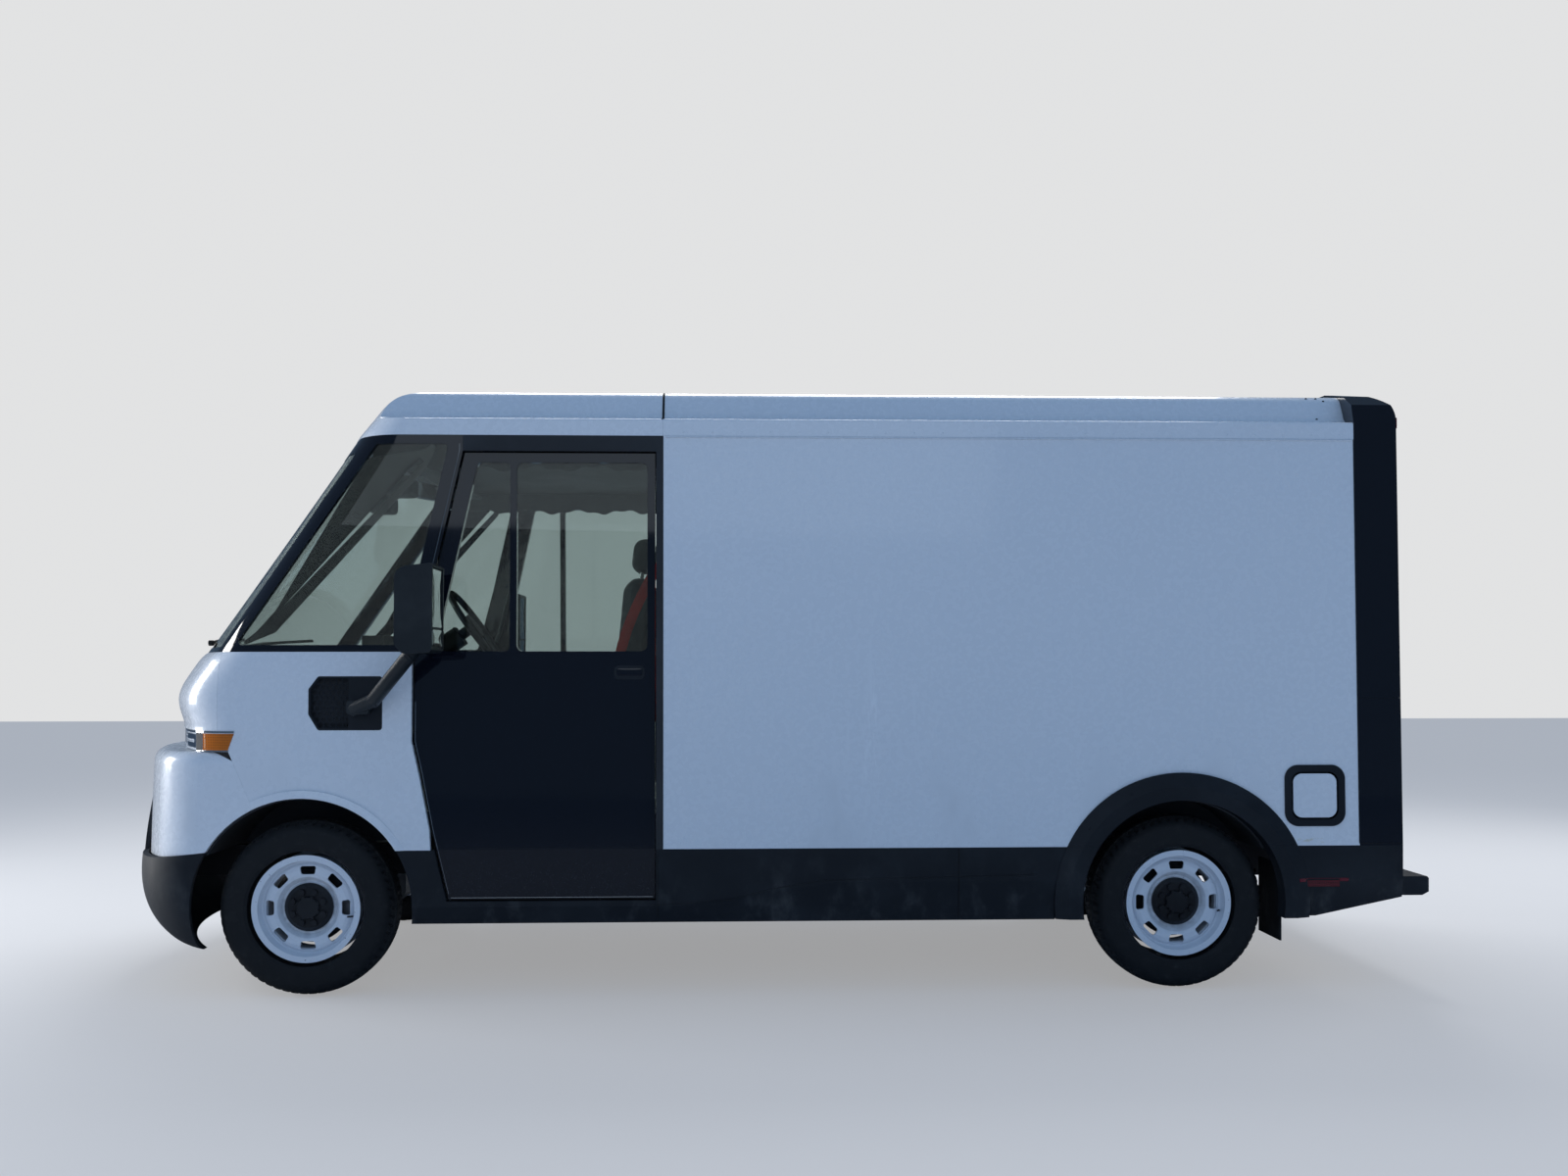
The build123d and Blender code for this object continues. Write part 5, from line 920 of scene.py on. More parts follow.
class Workshop:
    """Makes materials once, hands them out, and joins pieces to bodies."""

    def __init__(self) -> None:
        """Prepare every finish."""
        steel = CoatedMetal("black_coated_steel", (0.020, 0.020, 0.022), (0.075, 0.065, 0.055), 0.0, 0.55, 120.0,
                            0.0003, soil=0.7)
        self.recipes: dict[Finish, object] = {
            Finish.WHITE_PAINT: BodyPaint(),
            Finish.BLACK_PANEL: GlossBlack(),
            Finish.DARK_PLASTIC: GrainedPlastic(),
            Finish.GLASS: Glazing(),
            Finish.WHEEL_PAINT: WheelPaint(),
            Finish.HUB_CAP: GrainedPlastic("hub_cap_plastic", (0.010, 0.0105, 0.013), (0.030, 0.032, 0.036), 900.0,
                                           0.00008, 0.34, False),
            Finish.TYRE: TyreRubber(),
            Finish.CHASSIS_STEEL: steel,
            Finish.MACHINED_STEEL: CoatedMetal("machined_steel", (0.40, 0.40, 0.41), (0.17, 0.12, 0.08), 0.9, 0.36,
                                               300.0, 0.0001, (0.2, 1.0, 1.0)),
            Finish.FLOOR_ALLOY: TreadPlate(),
            Finish.BATTERY_CASE: CoatedMetal("cast_alloy", (0.26, 0.27, 0.28), (0.10, 0.09, 0.08), 0.6, 0.5, 220.0,
                                             0.0005),
            Finish.WALL_BOARD: Board(),
            Finish.SHUTTER: CoatedMetal("shutter_coating", (0.72, 0.74, 0.77), (0.42, 0.41, 0.40), 0.0, 0.38, 150.0,
                                        0.0001, (1.0, 0.15, 1.0), soil=0.35),
            Finish.LAMP_CLEAR: Lens("lamp_clear", (0.86, 0.89, 0.92), 0.009, 0.0, 0.05),
            Finish.LAMP_RED: Lens("lamp_red", (0.115, 0.006, 0.012), 0.010, 0.0, 0.16),
            Finish.CAB_TRIM: GrainedPlastic("cab_trim", (0.030, 0.032, 0.036), (0.055, 0.058, 0.064), 700.0,
                                            0.00012, 0.6, False),
            Finish.SEAT_FABRIC: Weave("seat_cloth", (0.016, 0.018, 0.022), (0.060, 0.066, 0.075), 0.0030),
            Finish.RUBBER: GrainedPlastic("flap_rubber", (0.012, 0.012, 0.0125), (0.030, 0.029, 0.028), 300.0,
                                          0.0004, 0.7),
            Finish.CHROME: Bright("bright_trim"),
            Finish.AMBER: Lens("amber_lens", (0.60, 0.155, 0.012), 0.007, 0.0, 0.12),
            Finish.SEAM: CoatedMetal("seam_sealer", (0.010, 0.011, 0.012), (0.030, 0.030, 0.030), 0.0, 0.7, 200.0),
            Finish.MIRROR_GLASS: Bright("mirror_silver", (0.80, 0.82, 0.83), 0.01, 0.00002),
            Finish.BELT: Weave("belt_webbing", (0.42, 0.018, 0.012), (0.62, 0.035, 0.020), 0.0024, 0.0003),
            Finish.SCREEN_FRIT: GrainedPlastic("screen_border", (0.005, 0.006, 0.009), (0.009, 0.010, 0.013), 500.0,
                                               0.00002, 0.10, False),
            Finish.SCREEN: Lens("display_glass", (0.010, 0.020, 0.034), 0.02, 0.0, 0.06),
            Finish.MIRROR_ARM: GrainedPlastic("arm_plastic", (0.014, 0.019, 0.023), (0.045, 0.050, 0.052), 420.0,
                                              0.00022, 0.40, False),
            Finish.RED_LENS: Lens("side_marker", (0.165, 0.010, 0.022), 0.006, 0.0, 0.12),
            Finish.STAGE: Ground(),
        }
        self.made: dict[object, bpy.types.Material] = {}

    def material(self, finish: Finish) -> bpy.types.Material:
        """The finish's material, built on first use."""
        if finish not in self.made:
            self.made[finish] = self.recipes[finish].material()
        return self.made[finish]

    def dress(self, piece: bpy.types.Object, finish: Finish, body: str = "van",
              slot: str | None = None) -> bpy.types.Object:
        """Give a new piece its finish and its body.

        Args:
            piece: the new object.
            finish: its finish.
            body: name of the body it rides on.
            slot: the record's slot; the finish's own name if None.

        Returns:
            The piece.
        """
        piece.data.materials.clear()
        piece.data.materials.append(self.material(finish))
        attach(piece, body)
        known = {part["material_slot"] for part in frame["record"]["subparts"]}
        (slot or finish.value) in known
        LOG.info("%s: %d faces on %s", piece.name, len(piece.data.polygons), body)
        return piece

    def add(self, name: str, grids: Sequence[Grid], finish: Finish, body: str = "van",
            slot: str | None = None, smooth: bool = True) -> bpy.types.Object:
        """Build a piece from grids and dress it.

        Args:
            name: the piece's name.
            grids: its surfaces.
            finish: its finish.
            body: name of the body it rides on.
            slot: the record's slot; the finish's own name if None.
            smooth: whether its faces are shaded smooth.

        Returns:
            The piece.
        """
        return self.dress(grids_piece(name, grids, smooth), finish, body, slot)

    def paint_node(self, node: str, material: bpy.types.Material) -> None:
        """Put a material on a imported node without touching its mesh."""
        body = frame["nodes"][node]
        for place in body.material_slots:
            place.material = material

    def paint_all(self) -> None:
        """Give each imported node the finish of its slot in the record."""
        special = {
            "cargo_side_panels": BodyPaint("panel_paint", panel_marks=True).material(),
            "front_fascia": BodyPaint("fascia_paint", drops=True).material(),
            "cargo_roof": BodyPaint("roof_paint", drops=True).material(),
            "mirrors": self.material(Finish.MIRROR_ARM),
            "windshield_surround": self.material(Finish.BLACK_PANEL),
        }
        for part in frame["record"]["subparts"]:
            chosen = special.get(part["node"]) or self.material(Finish(part["material_slot"]))
            self.paint_node(part["node"], chosen)


# ------------------------------------------------------------------ wheels
@dataclass(frozen=True)
class Corner:
    """Names and place of one wheel."""

    where: str
    axle_x: float
    side: int
    body: str

    def tyre_points(self, tyre: "Tyres") -> np.ndarray:
        """Tyre surface at this corner: the tyre's own grid mirrored to this side and moved to the axle."""
        points = tyre.grid()
        return points * np.array([1.0, float(self.side), 1.0]) + np.array([self.axle_x, 0.0, tyre.axle_z])


CORNERS = (
    Corner("front_left", FRONT_AXLE_X, -1, "wheel_front_left"),
    Corner("front_right", FRONT_AXLE_X, 1, "wheel_front_right"),
    Corner("rear_left", REAR_AXLE_X, -1, "wheel_rear_left"),
    Corner("rear_right", REAR_AXLE_X, 1, "wheel_rear_right"),
)


@dataclass(frozen=True)
class Tyres:
    """Tyres with grooved treads, shoulder blocks and ribbed side walls."""

    radius: float = 0.388
    rim: float = 0.2255
    inner_y: float = 0.765
    outer_y: float = 1.015
    axle_z: float = AXLE_Z
    groove: float = 0.0085
    around: int = 360
    across: int = 84

    def grid(self) -> np.ndarray:
        """Tyre surface about the Y axis through the origin, outer side towards +Y.

        The section is a closed super-ellipse of exponent 3.4 between the beads, its outer half
        square-shouldered; around the tread, zigzag circumferential grooves and slanted shoulder slots
        lower the surface by smoothed square waves; side-wall ribs stand out by small steps in radius.

        Returns:
            Points of shape (around, across, 3).
        """
        turn = np.linspace(0.0, 2.0 * math.pi, self.around, endpoint=False)[:, None]
        v = np.linspace(0.0, 1.0, self.across)[None, :]
        angle = math.radians(-118.0) + v * math.radians(236.0)
        half = (self.outer_y - self.inner_y) / 2
        middle = (self.outer_y + self.inner_y) / 2
        tall = (self.radius - self.rim) / 2
        power = 2.0 / 3.4  # exponent 3.4 of the section
        sine, cosine = np.sin(angle), np.cos(angle)
        across = half * np.sign(sine) * np.abs(sine) ** power
        up = np.sign(cosine) * np.abs(cosine) ** power
        radius = self.rim + tall + tall * up
        crown = 1.0 - 0.0065 / self.radius * (across / half) ** 2 * (up > 0.0)
        radius = radius * crown
        across = across * (1.0 - 0.10 * np.clip((self.rim + tall * 0.8 - radius) / (tall * 0.8), 0.0, 1.0) ** 2)
        tread = np.clip((radius - (self.radius - 0.022)) / 0.010, 0.0, 1.0)
        zigzag = 0.0035 * np.abs(((turn * 60.0 / (2.0 * math.pi)) % 1.0) * 2.0 - 1.0)
        lanes = np.zeros_like(radius + turn)
        for lane in (-0.060, -0.021, 0.021, 0.060):
            gap = np.abs(across + zigzag - lane)
            lanes = np.maximum(lanes, 1.0 - np.clip((gap - 0.0035) / 0.0022, 0.0, 1.0))
        pitch = (turn * 60.0 / (2.0 * math.pi) + np.abs(across) * 7.0) % 1.0
        slot = 1.0 - np.clip((np.abs(pitch - 0.5) - 0.11) / 0.05, 0.0, 1.0)
        shoulder = np.clip((np.abs(across) - 0.066) / 0.006, 0.0, 1.0)
        sipe = (1.0 - np.clip((np.abs(pitch - 0.5) - 0.035) / 0.04, 0.0, 1.0)) * (1.0 - shoulder) * 0.45
        cut = np.maximum(lanes, np.maximum(slot * shoulder, sipe)) * tread
        radius = radius - self.groove * cut
        ribs = np.zeros_like(across)
        for place, width, rise in ((0.268, 0.004, 0.0018), (0.3245, 0.0022, 0.0012), (0.3405, 0.0022, 0.0012)):
            ribs = ribs + rise * np.exp(-((self.rim + tall + tall * up - place) / width) ** 2)
        wall = np.clip((np.abs(across) / half - 0.80) / 0.15, 0.0, 1.0)
        teeth = 0.0011 * (((turn * 90.0 / (2.0 * math.pi)) % 1.0) < 0.5) * np.exp(
            -((self.rim + tall + tall * up - 0.352) / 0.008) ** 2)
        limit = half - 0.0004
        across = across * 0.988 + np.sign(across) * (ribs + teeth) * wall
        across = np.clip(across, -limit, limit)
        x = radius * np.sin(turn)
        z = radius * np.cos(turn)
        y = np.broadcast_to(across + middle, x.shape)
        return np.stack([x, y, z], axis=-1)

    def build(self, shop: Workshop) -> None:
        """Replace the four plain tyres."""
        for corner in CORNERS:
            points = corner.tyre_points(self)
            tyre = grids_piece(f"treaded_tyre_{corner.where}", [Grid(points, round_u=True, round_v=True)])
            shop.dress(tyre, Finish.TYRE, corner.body)
            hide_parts(f"tyre_{corner.where}")


@dataclass(frozen=True)
class WheelDetails:
    """Bolts, valve and rim beading on each wheel."""

    bolt_circle: float = 0.047
    bolts: int = 8

    def bolt_grids(self, corner: Corner, face_y: float, circle: float, count: int, radius: float,
                   rise: float) -> list[Grid]:
        """Hexagonal nuts on a circle: turned profiles of six steps with a low round top."""
        grids = []
        for step in range(count):
            angle = 2.0 * math.pi * (step + 0.5) / count
            centre = (corner.axle_x + circle * math.sin(angle), corner.side * face_y,
                      AXLE_Z + circle * math.cos(angle))
            out = corner.side * rise
            profile = np.array([[-0.3 * out, radius * 1.25], [0.15 * out, radius * 1.25], [0.15 * out, radius],
                                [0.8 * out, radius], [out, radius * 0.7], [out, 0.0]])
            grids += turned(profile, centre, "y", 6)
        return grids

    def build(self, shop: Workshop) -> None:
        """Add the small parts of all four wheels."""
        for corner in CORNERS:
            nuts = grids_piece(f"hub_nuts_{corner.where}",
                               self.bolt_grids(corner, 0.966, self.bolt_circle, self.bolts, 0.0075, 0.0045), False)
            shop.dress(nuts, Finish.HUB_CAP, corner.body)
            centre = (corner.axle_x, 0.0, AXLE_Z)
            y = corner.side * 0.990
            step = corner.side
            rim = np.array([[y - 0.010 * step, 0.2300], [y - 0.001 * step, 0.2300], [y + 0.0015 * step, 0.2325],
                            [y + 0.0015 * step, 0.2345], [y - 0.001 * step, 0.2370], [y - 0.010 * step, 0.2370]])
            bead = grids_piece(f"rim_bead_{corner.where}",
                               [Grid(turned(rim, centre, "y", 96)[0].points, round_v=True)])
            shop.dress(bead, Finish.WHEEL_PAINT, corner.body)
            start = np.array([corner.axle_x + 0.196, corner.side * 0.958, AXLE_Z - 0.040])
            end = np.array([corner.axle_x + 0.180, corner.side * 0.985, AXLE_Z - 0.037])
            path = np.linspace(start, end, 6)
            valve = grids_piece(f"valve_{corner.where}", swept(path, circle_outline(0.0042, 10), (0.0, 0.0, 1.0)))
            shop.dress(valve, Finish.RUBBER, corner.body)


# ------------------------------------------------------------------ nose
@dataclass(frozen=True)
class SideTrim:
    """Thin strips that follow a line on a side wall."""

    def strip(self, line: Sequence[tuple[float, float]], out: float, width: float, height: float,
              side: int, steps: int = 12) -> list[Grid]:
        """Rounded strip along a line of (x, z) points on the wall.

        Args:
            line: points the strip passes through.
            out: distance of its middle from the wall, outwards.
            width: its width on the wall.
            height: its thickness.
            side: -1 for the left wall, 1 for the right.
            steps: points between two given ones.

        Returns:
            The strip's grids.
        """
        given = np.asarray(line, dtype=float)
        at = np.linspace(0.0, len(given) - 1.0, (len(given) - 1) * steps + 1)
        x = np.interp(at, np.arange(len(given)), given[:, 0])
        z = np.interp(at, np.arange(len(given)), given[:, 1])
        path = on_side(x, z, out, side)
        return swept(path, rounded_outline(height, width, 0.45 * min(width, height), 2), (0.0, 1.0, 0.0))


@dataclass(frozen=True)
class BodySeams:
    """Dark joint lines between outer panels."""

    proud: float = 0.0008

    def build(self, shop: Workshop) -> None:
        """Lay a joint line over each seam of the outer skin."""
        trim = SideTrim()
        left_right: list[Grid] = []
        lines = (
            ([(-0.4505, 0.652), (-0.4505, 2.478)], self.proud - 0.0006),
            ([(2.664, 0.660), (2.664, 2.478)], self.proud - 0.0006),
        )
        for line, out in lines:
            for side in (-1, 1):
                left_right += trim.strip(line, out, 0.0035, 0.0022, side)
        seams = grids_piece("panel_joints", left_right)
        shop.dress(seams, Finish.SEAM)
        gutter: list[Grid] = []
        for side in (-1, 1):
            gutter += trim.strip([(-0.440, 2.474), (2.660, 2.474)], 0.0008, 0.010, 0.0035, side, 40)
        shadow = grids_piece("gutter_joint", gutter)
        shop.dress(shadow, Finish.WHITE_PAINT)


@dataclass(frozen=True)
class DoorTrim:
    """Bright lines, crease and pull of both sliding doors; the chrome lines along each door's front edge and on the
    pillar ahead of it are painted highlights.
    """

    inset: float = 0.027
    front_x: tuple[float, ...] = (0.630, 0.590, 0.556, 0.510, 0.476, 0.476, 0.576, 0.694)
    front_z: tuple[float, ...] = (0.430, 0.597, 0.738, 0.974, 1.125, 1.520, 1.893, 2.410)
    rear_x: float = -0.489
    axle_x: float = FRONT_AXLE_X

    def front_edge(self, z: np.ndarray) -> np.ndarray:
        """X of the door's front edge at a height."""
        return self.axle_x + np.interp(z, self.front_z, self.front_x)

    def strip(self, line: Sequence[tuple[float, float]], width: float, proud: float, side: int) -> list[Grid]:
        """Strip on the door's outer face through (x, z) points, standing out by a distance."""
        given = np.asarray(line, dtype=float)
        at = np.linspace(0.0, len(given) - 1.0, (len(given) - 1) * 8 + 1)
        x = np.interp(at, np.arange(len(given)), given[:, 0])
        z = np.interp(at, np.arange(len(given)), given[:, 1])
        path = on_side(x, z, proud * 0.5 - self.inset - 0.0005, side)
        return swept(path, rounded_outline(proud + 0.001, width, 0.4 * min(width, proud), 2), (0.0, 1.0, 0.0))

    def build(self, shop: Workshop) -> None:
        """Add the trim to both doors."""
        for side, name in ((-1, "left"), (1, "right")):
            body = f"door_{name}"
            edge_z = np.array([0.455, 0.597, 0.738, 0.974, 1.125, 1.30])
            edge = [(float(x) + 0.006, float(z)) for x, z in zip(self.front_edge(edge_z), edge_z)]
            bright = self.strip([(float(self.front_edge(0.437)) + 0.012, 0.4375), (self.rear_x - 0.006, 0.4375)],
                                0.007, 0.0018, side)
            shop.add(f"door_foot_strip_{name}", bright, Finish.CHROME, body)
            # painted highlight: a thin chrome line along the door's front edge
            thin = self.strip(edge, 0.0022, 0.0012, side)
            shop.add(f"door_edge_painted_highlight_{name}", thin, Finish.CHROME, body)
            # painted highlight: a thin chrome line laid on the pillar just ahead of the door's front edge
            pillar_z = np.linspace(1.535, 2.440, 30)
            starts = np.stack([self.front_edge(pillar_z) - 0.020, np.full(30, 2.0 * side), pillar_z], axis=-1)
            lit = Skin("windshield_surround").cast(starts, (0.0, -float(side), 0.0), 0.0004)
            line = swept(lit, rounded_outline(0.0022, 0.0034, 0.001, 2), (0.0, 1.0, 0.0))
            shop.add(f"pillar_painted_highlight_{name}", line, Finish.CHROME)
            crease = self.strip([(float(self.front_edge(0.655)) + 0.02, 0.655), (self.rear_x - 0.004, 0.655)],
                                0.0032, 0.0012, side)
            shop.add(f"door_crease_{name}", crease, Finish.DARK_PLASTIC, body)
            handle_x = -0.600
            outline = rounded_outline(0.115, 0.034, 0.012) + np.array([handle_x, 1.430])

            def lay(flat: np.ndarray, height: float, side: int = side) -> np.ndarray:
                """Put outline points on the door's outer face at a height above it."""
                return on_side(flat[:, 0], flat[:, 1], height - self.inset, side)

            grip = slab(outline, lay, -0.0005, 0.0018, 0.0008)
            shop.add(f"door_pull_{name}", grip, Finish.BLACK_PANEL, body)
            cup = slab(rounded_outline(0.135, 0.062, 0.020) + np.array([handle_x, 1.428]), lay, -0.0005, 0.0010,
                       0.0005)
            shop.add(f"door_pull_plate_{name}", cup, Finish.DARK_PLASTIC, body)


def inset_polygon(corners: np.ndarray, band: float) -> np.ndarray:
    """Corners of an anticlockwise polygon moved inwards so that each edge shifts by the band."""
    edge = np.roll(corners, -1, axis=0) - corners
    edge = edge / np.linalg.norm(edge, axis=1, keepdims=True)
    inward = np.stack([-edge[:, 1], edge[:, 0]], axis=1)
    before = np.roll(inward, 1, axis=0)
    mean = inward + before
    return corners + band * mean / (1.0 + (inward * before).sum(axis=1, keepdims=True))


def round_polygon(corners: np.ndarray, radius: float, steps: int) -> np.ndarray:
    """Polygon with each corner replaced by a quadratic curve between points a radius away from it."""
    before = np.roll(corners, 1, axis=0) - corners
    after = np.roll(corners, -1, axis=0) - corners
    reach_b = np.minimum(radius, 0.45 * np.linalg.norm(before, axis=1))
    reach_a = np.minimum(radius, 0.45 * np.linalg.norm(after, axis=1))
    first = corners + before / np.linalg.norm(before, axis=1, keepdims=True) * reach_b[:, None]
    last = corners + after / np.linalg.norm(after, axis=1, keepdims=True) * reach_a[:, None]
    t = np.linspace(0.0, 1.0, steps)[None, :, None]
    curve = (1 - t) ** 2 * first[:, None] + 2 * t * (1 - t) * corners[:, None] + t ** 2 * last[:, None]
    return curve.reshape(-1, 2)


# ------------------------------------------------------------------ laid on packed surfaces
class Skin:
    """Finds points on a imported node's surface, so that thin parts can lie on it."""

    def __init__(self, *nodes: str) -> None:
        """Gather the surfaces of the nodes."""
        points: list[Vector] = []
        faces: list[list[int]] = []
        for name in nodes:
            body = frame["nodes"][name]
            start = len(points)
            points += [body.matrix_world @ corner.co for corner in body.data.vertices]
            faces += [[start + i for i in face.vertices] for face in body.data.polygons]
        self.tree = BVHTree.FromPolygons(points, faces)

    def cast(self, starts: np.ndarray, ways: np.ndarray, out: float) -> np.ndarray:
        """First hits of rays, moved back towards where they came from.

        Args:
            starts: (n, 3) ray starts.
            ways: (n, 3) directions, or one for all.
            out: distance from the surface, back along the ray.

        Returns:
            (n, 3) points; a ray that misses takes its neighbour's point.
        """
        ways = np.broadcast_to(np.asarray(ways, dtype=float), starts.shape)
        ways = ways / np.linalg.norm(ways, axis=1, keepdims=True)
        hits = [self.tree.ray_cast(Vector(start), Vector(way))[0] for start, way in zip(starts, ways)]
        good = [index for index, hit in enumerate(hits) if hit is not None]
        if not good:
            raise ValueError("no ray meets the surface")
        near = [min(good, key=lambda other: abs(other - index)) for index in range(len(hits))]
        found = np.array([list(hits[index]) for index in near])
        return found - out * ways

    def sheet(self, starts: np.ndarray, ways: np.ndarray, low: float, high: float) -> list[Grid]:
        """Closed sheet between two distances from the surface.

        Args:
            starts: (rows, columns, 3) ray starts.
            ways: (rows, columns, 3) directions, or one for all.
            low: distance of its inner face, negative if it lies inside.
            high: distance of its outer face.

        Returns:
            Grids of both faces and the rim.
        """
        shape = starts.shape
        flat = starts.reshape(-1, 3)
        way = np.broadcast_to(np.asarray(ways, dtype=float), shape).reshape(-1, 3)
        outer = self.cast(flat, way, high).reshape(shape)
        inner = self.cast(flat, way, low).reshape(shape)
        edge_outer = np.concatenate([outer[0], outer[1:, -1], outer[-1, -2::-1], outer[-2:0:-1, 0]])
        edge_inner = np.concatenate([inner[0], inner[1:, -1], inner[-1, -2::-1], inner[-2:0:-1, 0]])
        return [Grid(outer), Grid(inner), Grid(np.stack([edge_outer, edge_inner]), round_v=True)]


def patch(lines: Sequence[Sequence[Point]], steps: int) -> np.ndarray:
    """Rows of points: each line of corners is filled evenly, by length, to the number of steps."""
    rows = []
    for line in lines:
        corners = np.asarray(line, dtype=float)
        gaps = np.linalg.norm(np.diff(corners, axis=0), axis=1)
        reach = np.concatenate([[0.0], np.cumsum(gaps)])
        at = np.linspace(0.0, reach[-1], steps)
        rows.append(np.stack([np.interp(at, reach, corners[:, k]) for k in range(3)], axis=1))
    return np.stack(rows)


@dataclass(frozen=True)
class Headlamps:
    """Bright bar, dark divider, amber block and bright strips over each headlamp."""

    heart: tuple[float, float] = (-2.46, -0.76)
    reach: float = 1.2

    def sector(self, angles: tuple[float, float], z: tuple[float, float], slant: float = 0.0,
               count: int = 30) -> tuple[np.ndarray, np.ndarray]:
        """Ray starts and directions onto the lamp's wrap-round face.

        Args:
            angles: degrees from the flank (0) to the nose (90) at the lamp's heart.
            z: lower and upper height.
            slant: degrees by which the lower edge's first angle is moved.
            count: number of columns.

        Returns:
            Starts and directions, each (rows, count, 3).
        """
        height = np.linspace(z[0], z[1], 7)[:, None]
        share = (z[1] - height) / max(1e-9, z[1] - z[0])
        first = angles[0] + slant * share
        turn = np.radians(first + (angles[1] - first) * np.linspace(0.0, 1.0, count)[None, :])
        away = np.stack([-np.sin(turn), -np.cos(turn), 0.0 * turn], axis=-1)
        centre = np.stack([np.full_like(turn, self.heart[0]), np.full_like(turn, self.heart[1]),
                           np.broadcast_to(height, turn.shape)], axis=-1)
        return centre + self.reach * away, -away

    def build(self, shop: Workshop) -> None:
        """Lay the parts over both lamps."""
        skin = Skin("headlamps")
        parts = (
            ("lamp_amber", (-54.0, 2.0), (1.0895, 1.162), 9.0, 0.0022, Finish.AMBER),
            ("lamp_divider", (3.0, 14.0), (1.0885, 1.164), 0.0, 0.0026, Finish.CAB_TRIM),
            ("lamp_reflector", (15.0, 74.0), (1.098, 1.158), 0.0, 0.0018, Finish.CHROME),
            ("lamp_bar", (20.0, 80.0), (1.121, 1.135), 0.0, 0.0040, Finish.LAMP_CLEAR),
            ("lamp_top_strip", (-56.0, 84.0), (1.165, 1.1735), 0.0, 0.0034, Finish.CHROME),
            ("lamp_foot_strip", (-40.0, 84.0), (1.0842, 1.0885), 0.0, 0.0030, Finish.CHROME),
        )
        for name, angles, z, slant, out, finish in parts:
            starts, ways = self.sector(angles, z, slant)
            grids = both_sides(skin.sheet(starts, ways, -0.0012, out))
            slot = "lamp_clear" if finish in (Finish.LAMP_CLEAR, Finish.CHROME) else None
            shop.add(name, grids, finish, "van", slot)


@dataclass(frozen=True)
class ScreenDetails:
    """Dark printed border of the quarter windows, wipers and camera pod."""

    band: float = 0.052

    def quarter_border(self) -> list[Grid]:
        """Printed band inside the left quarter window, laid along its edge."""
        skin = Skin("quarter_windows")
        corners = np.array([(-2.292, 1.553), (-1.478, 1.553), (-1.478, 1.60), (-1.404, 1.893), (-1.455, 2.437),
                            (-1.79, 2.437)])
        outer = round_polygon(corners, 0.018, 8)
        inner = round_polygon(inset_polygon(corners, self.band), 0.055, 8)
        rows = np.stack([outer * (1 - t) + inner * t for t in np.linspace(0.0, 1.0, 3)])
        starts = np.stack([rows[..., 0], np.full(rows.shape[:2], -2.0), rows[..., 1]], axis=-1)
        outer_face = skin.cast(starts.reshape(-1, 3), (0.0, 1.0, 0.0), -0.0065).reshape(starts.shape)
        inner_face = outer_face + np.array([0.0, 0.0022, 0.0])
        body = np.concatenate([outer_face, inner_face[::-1]])
        return [Grid(body, round_u=True, round_v=True)]

    def wiper(self, pivot: Point, tip: Point) -> list[Grid]:
        """Arm and blade lying on the screen between two points given by (y, z) rays."""
        skin = Skin("windshield")
        line = patch([[pivot, tip]], 24)[0]
        starts = line + np.array([-2.0, 0.0, 0.0])
        blade = skin.cast(starts, (1.0, 0.0, 0.0), 0.012)
        arm = skin.cast(starts, (1.0, 0.0, 0.0), 0.020)[: 16]
        return [*swept(blade, rounded_outline(0.010, 0.016, 0.004), (0.0, 0.0, 1.0)),
                *swept(arm, rounded_outline(0.016, 0.007, 0.003), (0.0, 0.0, 1.0)),
                *turned(np.array([[-0.012, 0.0], [-0.012, 0.013], [0.008, 0.013], [0.012, 0.008], [0.012, 0.0]]),
                        tuple(arm[0]), "x", 16)]

    def build(self, shop: Workshop) -> None:
        """Add the screen's parts."""
        border = both_sides(self.quarter_border())
        shop.add("quarter_window_border", border, Finish.SCREEN_FRIT)
        blades = [*self.wiper((-2.6, -0.62, 1.565), (-2.6, 0.02, 1.60)),
                  *self.wiper((-2.6, 0.10, 1.565), (-2.6, 0.72, 1.60))]
        shop.add("wipers", blades, Finish.RUBBER)
        pod = [*block((-1.985, -0.085, 2.235), (-1.860, 0.085, 2.330), 0.022, 0.03, "x"),
               *block((-1.915, -0.110, 2.325), (-1.760, 0.110, 2.420), 0.020, 0.03, "z")]
        shop.add("camera_pod", pod, Finish.CAB_TRIM)
        lenses = turned(np.array([[-1.990, 0.0], [-1.990, 0.018], [-1.982, 0.022], [-1.975, 0.0]]),
                        (0.0, -0.03, 2.285), "x", 20)
        shop.add("camera_lens", lenses, Finish.SCREEN)


